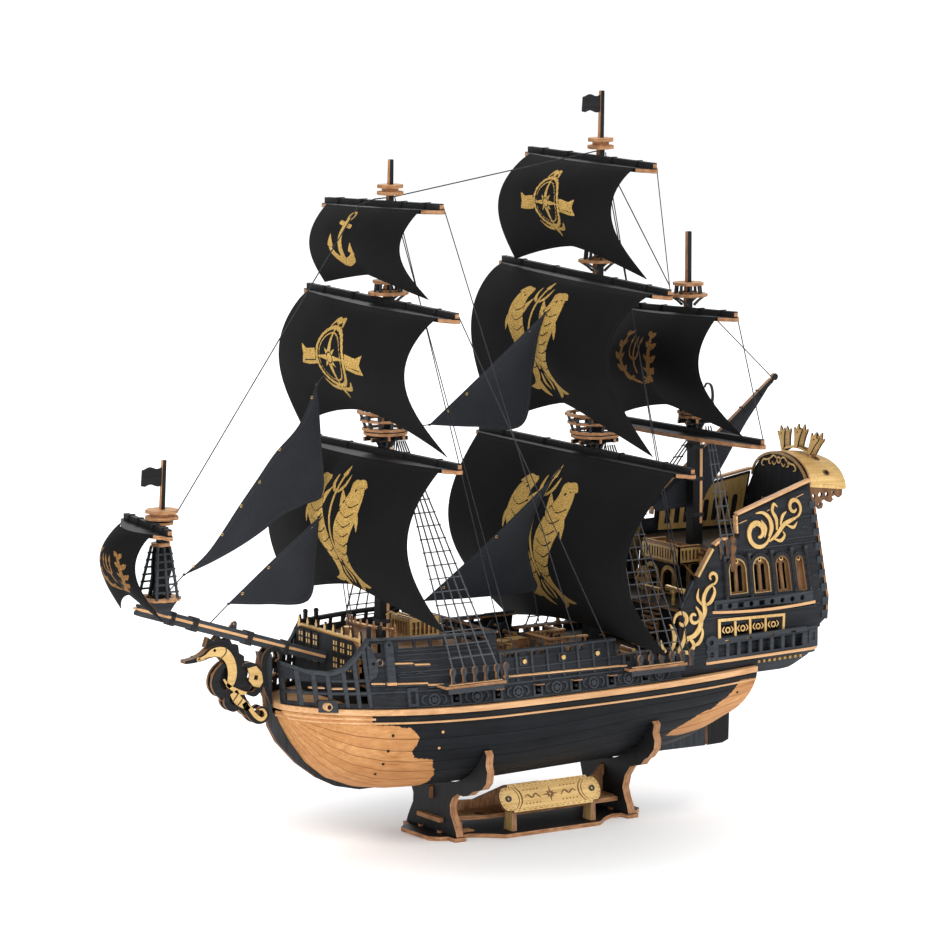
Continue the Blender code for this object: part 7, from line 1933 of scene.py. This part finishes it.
# Raised plates on the roof, each a ring with a dark disc in its hole, and the brown brackets under its eaves.
for s in (-1, 1):
    a0 = 0.55
    for am in (0.42, 1.0):
        ring_o, ring_i = [], []
        for k in range(16):
            q = math.tau * k / 16
            for ring, r in ((ring_o, 2.9), (ring_i, 1.7)):
                ring.append((272.0 + r * math.cos(q), am + (r / 28.0) * math.sin(q)))
        shell = lambda u, v, w, s=s: (u, s * (35.0 + 0.1 + 0.5 * w) * math.cos(v), 226 + (21.0 + 0.1 + 0.5 * w) * math.sin(v) - along([(255, 0), (268, 0.5), (279, 2.2), (289, 5.6)], u))
        kit.slab(ring_o, [ring_i], shell, "brown")
        # A dark disc in the ring's hole: painted shade of the hole.
        kit.slab([(u, v) for u, v in ring_i], [], shell, "dark")
    bracket = across_y(s * 32.6 - 1.1, s * 32.6 + 1.1)
    lace = [(254.4, 200.0), (256.4, 203.4), (255.8, 206.8), (258.6, 207.6), (259.4, 211.0), (262.4, 209.4), (264.6, 206.6), (267.6, 207.0), (268.4, 210.2), (266.8, 212.4),
            (269.8, 213.8), (272.6, 211.6), (275.4, 210.6), (277.6, 212.8), (276.4, 215.2), (279.8, 216.0), (283.0, 213.8), (285.8, 215.6), (286.4, 221.0), (255.8, 225.4), (254.4, 225.4)]
    kit.slab(lace, [circle(259.2, 216.4, 2.0, 12), circle(265.6, 217.4, 1.9, 12), circle(271.6, 217.4, 1.6, 12), circle(277.4, 218.4, 1.1, 10), circle(265.0, 210.2, 1.1, 10)], bracket, "brown", "burnt")
    kit.slab([(255.6, 224.0), (288.0, 219.8), (288.0, 222.6), (255.6, 227.0)], [], across_y(s * 33.4 - 1.0, s * 33.4 + 1.0), "gold_y", "brown")
kit.store("stern_roof_built", replaces=("stern_roof",), sharp=30)

kit = Kit("gold_x", "black")
LAMP_X = 270.0
bar = [(20 * math.sin(a), 226 + 1.0 + 21.6 * math.cos(a * 0.62)) for a in steps(-1.15, 1.15, 16)]
kit.slab(bar + [(u * 1.04, v + 1.6) for u, v in reversed(bar)], [], across_x(LAMP_X - 2.6, LAMP_X + 2.6), "gold_x", "brown")
for a in (-0.36, 0.0, 0.36):
    base = Vector((LAMP_X, 46 * math.sin(a), 226 + 22.2 * math.cos(a * 1.35)))
    up = Vector((0.16, math.sin(a), math.cos(a))).normalized()
    side_v = Vector((0, math.cos(a), -math.sin(a)))
    fwd = up.cross(side_v)
    shape = [(-1.5, 0.0), (1.5, 0.0), (2.3, 2.4), (2.7, 6.0), (3.7, 10.4), (4.9, 13.4), (4.7, 15.6), (3.1, 14.0), (1.8, 14.6), (1.2, 16.6), (0.0, 18.6), (-1.2, 16.6), (-1.8, 14.6), (-3.1, 14.0), (-4.7, 15.6),
             (-4.9, 13.4), (-3.7, 10.4), (-2.7, 6.0), (-2.3, 2.4)]
    lens = [(0.0, 4.6), (1.2, 6.4), (0.0, 10.6), (-1.2, 6.4)]
    for f0, f1 in ((-3.4, -2.2), (2.2, 3.4)):
        kit.slab(shape, [circle(0, 12.2, 0.7, 10)], lambda u, v, w, f0=f0, f1=f1: tuple(base + side_v * u + up * v + fwd * (f0 + (f1 - f0) * w)), "gold", "black")
    # The lantern's core between its plates is in the darker gold: painted shade.
    kit.loft([[base + up * h + side_v * (r * b) + fwd * (2.1 * c) for b, c in ((-1, -1), (1, -1), (1, 1), (-1, 1))] for h, r in ((0.2, 1.1), (2.4, 1.9), (6.0, 2.3), (10.4, 3.2), (12.8, 4.0))], "gold_painted_shade")
kit.store("stern_lanterns_built", replaces=("stern_lanterns",))

# Stern face: gold window frames, mullions and battens on the transom.
kit = Kit("gold_x", "brown")
for u in (-30, -10, 10, 30):
    kit.slab(arched(u - 7.6, 156.6, u + 7.6, 184.2), [arched(u - 5.6, 158.6, u + 5.6, 181.8)], across_x(254.5, 255.9), "gold_x", "brown")
    kit.box((253.0, u - 0.6, 158.4), (254.4, u + 0.6, 181.0), "brown")
    kit.box((253.0, u - 6.2, 168.4), (254.4, u + 6.2, 169.4), "brown")
for u in (-18, 0, 18):
    kit.slab(rect(u - 6.4, 194.6, u + 6.4, 211.4), [rect(u - 4.8, 196.2, u + 4.8, 209.8)], across_x(254.5, 255.7), "gold_x", "brown")
    kit.box((253.0, u - 0.5, 196.0), (254.4, u + 0.5, 210.0), "brown")
for z in (134.0, 146.0, 152.0, 188.0, 216.0):
    half_w = stern_y(251.5, z) - 1.0
    kit.box((254.5, -half_w, z - 0.8), (255.7, half_w, z + 0.8), "birch" if z in (152.0, 188.0) else "rail_x")
for s in (-1, 1):
    kit.slab(ribbon([(s * 8, 222), (s * 16, 226), (s * 22, 221), (s * 17, 218), (s * 14, 221)], [0.9, 1.7, 1.8, 1.4, 0.6]), [], across_x(254.5, 255.9), "gold_x", "brown")
    for z in steps(132, 212, 8):
        y = stern_y(251.5, z)
        kit.box((248.6, min(s * (y - 0.2), s * (y + 0.9)), z - 2.9), (253.9, max(s * (y - 0.2), s * (y + 0.9)), z + 2.9), "rail")
kit.slab(circle(0, 222, 4.4, 20), [circle(0, 222, 2.8, 16)], across_x(254.5, 256.0), "gold_x", "brown")
for z in (54.0, 70.0, 86.0):                                # rudder straps' fixed halves on the sternpost
    kit.box((180.0, -2.7, z - 1.0), (184.2, 2.7, z + 1.0), "steel", 0.1)
kit.store("stern_face")
# What closes the stern below the transom: the counter between the stern walls and the tuck at the planking's end.
kit = Kit("rail", "birch")
under = []
for x in (212.0, 220.0, 229.0, 234.0, 239.0, 244.0, 248.0, 251.8, 253.6):
    z = stern_low(min(x, 251.8)) + 0.6
    y = stern_y(min(x, 251.8), z) - 2.2
    under.append([(x, -y, z), (x, y, z), (x, y, z + 1.6), (x, -y, z + 1.6)])
kit.loft(under, "rail")
for x in (236.0, 240.0, 244.0, 248.0):                        # battens across it
    z, y = stern_low(x), stern_y(x, stern_low(x)) - 2.6
    kit.box((x - 0.7, -y, z - 0.5), (x + 0.7, y, z + 0.9), "birch" if x == 244.0 else "rail")
kit.store("stern_counter")
kit = Kit("wall_x", "brown")
half_ring = [section(182.0, k / 30, 0.0) for k in range(31)]
half_ring = [(max(0.6, y - 2.3), z) for y, z in half_ring]
kit.slab([(y, z) for y, z in half_ring] + [(-y, z) for y, z in reversed(half_ring)], [], across_x(180.8, 182.0), "wall_x", "brown")
kit.store("stern_tuck")

# ================================================================ stand
PLATE_X, PLATE_RISE, LEAN = 21.0, 10.6, math.radians(28)


def leaning(u, v, w):
    return (PLATE_X + u, -37.5 + 2.0 * w * math.cos(LEAN) + v * math.sin(LEAN), 17.5 + v * math.cos(LEAN) - 2.0 * w * math.sin(LEAN))


kit = Kit("gold_plate", "brown")
half = [(-34, -PLATE_RISE), (-34.6, -8.8)] + [(-34 - 9.5 * math.cos(a), PLATE_RISE * 0.98 * math.sin(a)) for a in steps(-0.95, 0.95, 12)] + [(-34.6, 8.8), (-34, PLATE_RISE)]
outline = half + [(-u, v) for u, v in reversed(half)]
kit.slab(outline, [], leaning, "gold_plate", "brown")
raised = lambda u, v, w: leaning(u, v, -0.16 * w + 0.02)
for grow, wide_line, cut in ((0.90, 0.34, 3), (0.78, 0.22, 2)):
    ring = dense([(u * (0.975 if grow > 0.8 else 0.94), v * grow) for u, v in outline], 1.2)
    for k in range(0, len(ring) - cut, cut + 1):
        kit.slab(ribbon(ring[k:k + cut], [wide_line] * cut), [], raised, "brown")
for s in (-1, 1):
    kit.slab(ribbon([(s * 29.0, -8.4), (s * 25.6, -4.2), (s * 24.6, 0), (s * 25.6, 4.2), (s * 29.0, 8.4)], [0.4, 0.8, 1.0, 0.8, 0.4]), [], raised, "brown")
    kit.slab(ribbon([(s * 31.0, -7.6), (s * 28.0, -3.8), (s * 27.2, 0), (s * 28.0, 3.8), (s * 31.0, 7.6)], [0.3, 0.4, 0.5, 0.4, 0.3]), [], raised, "brown")
    kit.slab(circle(s * 36.2, 0, 2.3, 18), [circle(s * 36.2, 0, 1.2, 14)], lambda u, v, w: leaning(u, v, -0.5 * w + 0.02), "steel", "steel")
    kit.slab(ribbon([(s * 9.0, -1.6), (s * 12.5, 1.6), (s * 16.0, -1.0), (s * 19.5, 1.4), (s * 22.0, -0.4)], [0.5, 1.0, 1.0, 0.8, 0.3]), [], raised, "brown")
    for k in range(5):
        kit.slab(circle(s * (10 + 3 * k), 5.2, 0.5, 8), [], raised, "brown")
        kit.slab(circle(s * (10 + 3 * k), -5.2, 0.5, 8), [], raised, "brown")
star = []
for k in range(16):
    r = (5.6, 1.7, 3.4, 1.7)[k % 4]
    star.append((r * math.sin(math.tau * k / 16) * 1.2, r * math.cos(math.tau * k / 16)))
kit.slab(star, [list(reversed(circle(0, 0, 0.9, 10)))], raised, "brown")
for x0 in (-10.5, 58.5):
    foot = [(-38.5, -6.55), (-27.0, -6.55), (-29.4, 8.0), (-30.2, 15.6), (-36.9, 15.6), (-37.6, 8.0)]
    for a, b in ((x0 - 2.0, x0 - 0.1), (x0 + 0.1, x0 + 2.0)):
        kit.loft([[(x, y, z) for y, z in foot] for x in (a, b)], "gold_x")
    kit.box((x0 - 4.2, -36.6, 14.6), (x0 + 4.2, -31.2, 16.2), "gold_z", 0.2)
kit.store("name_plate_built", body="stand", replaces=("name_plate",))

# Engraved chart on the stretcher: coast lines, a compass star and a dashed course, all a plain made-up map.
kit = Kit("engraved", "birch")
top_z = 1.4 + 3.0
inked = across_z(top_z - 0.02, top_z + 0.14)
for line, w in (([(-22, -20), (-14, -17), (-6, -19.5), (2, -15.5), (8, -17.5), (16, -14.0), (22, -16.0)], 0.55), ([(30, -21), (36, -16.5), (44, -18.5), (52, -14.5), (60, -17.5), (64, -21.5)], 0.55),
                ([(-30, 8), (-20, 12), (-10, 10), (0, 15), (10, 12.5), (18, 17)], 0.5), ([(26, 20), (34, 14), (44, 16), (54, 12), (62, 18)], 0.5), ([(-44, -10), (-38, -14), (-34, -11), (-38, -7)], 0.5),
                ([(66, -12), (72, -15), (78, -12), (74, -8)], 0.5)):
    kit.slab(ribbon(line, [w] * len(line)), [], inked, "engraved")
for k in range(16):
    t = k / 15
    x, y = -34 + 104 * t, -11.5 - 2.4 * math.sin(t * 7)
    kit.slab(ribbon([(x - 1.4, y), (x, y + 0.2), (x + 1.4, y)], [0.3, 0.35, 0.3]), [], inked, "engraved")
for cx, cy, r in ((-27.0, -17.0, 4.6), (76.0, -17.4, 2.6)):
    star = [(cx + q * math.sin(math.tau * k / 16), cy + q * math.cos(math.tau * k / 16)) for k, q in ((k, (r, r * 0.28, r * 0.55, r * 0.28)[k % 4]) for k in range(16))]
    kit.slab(star, [], inked, "engraved")
    kit.slab(circle(cx, cy, r * 0.8, 24), [circle(cx, cy, r * 0.7, 22)], inked, "engraved")
for s in (-1, 1):
    for x0, x1 in ((-24.0, 18.0), (22.0, 64.0)):
        kit.slab(ribbon([(x0, s * 22.3), ((x0 + x1) / 2, s * 22.3), (x1, s * 22.3)], [0.25, 0.25, 0.25]), [], inked, "engraved")
kit.store("chart_engraving", body="stand")

kit = Kit("cradle", "gold_z")
for x in (-54.5, 95.0):
    for s in (-1, 1):
        kit.box((x - 5.4, s * 13.0 - 1.6, -6.85), (x + 5.4, s * 13.0 + 1.6, -5.0), "base", 0.2)
kit.box((-50.4, -20.5, -6.85), (-44.0, -12.0, 1.2), "gold_x", 0.3)
kit.box((-50.6, -22.5, -6.85), (-35.0, -14.0, -5.6), "natural_z", 0.2)
kit.store("stand_blocks", body="stand")


# ================================================================ carried-over nodes
FINISH = {
    "base_plate": "base", "front_cradle": "cradle", "rear_cradle": "cradle", "keel_spine": "stem", "hull_frame": "ply_x",
    "wale_plate": "birch", "main_deck": "deck", "forecastle_deck": "deck_fore", "quarterdeck": "deck", "poop_deck": "deck",
    "rudder": "ply_y", "capstan": "gold_z", "ship_wheel": "gold_x", "swivel_gun_port": "gold", "swivel_gun_starboard": "gold", "chart_stretcher": "natural_z", "stretcher_web": "cradle",
    "transom": "wall_x", "poop_bulkhead": "wall_x", "beakhead_bulkhead": "wall_x",
}
for word in list(NODES):
    if word in FINISH:
        finish_node(word, FINISH[word])
    elif not NODES[word].hide_render and not any(isinstance(m, bpy.types.Material) and m.name in {x.name for x in M.values()} for m in NODES[word].data.materials):
        finish_node(word, "slate")
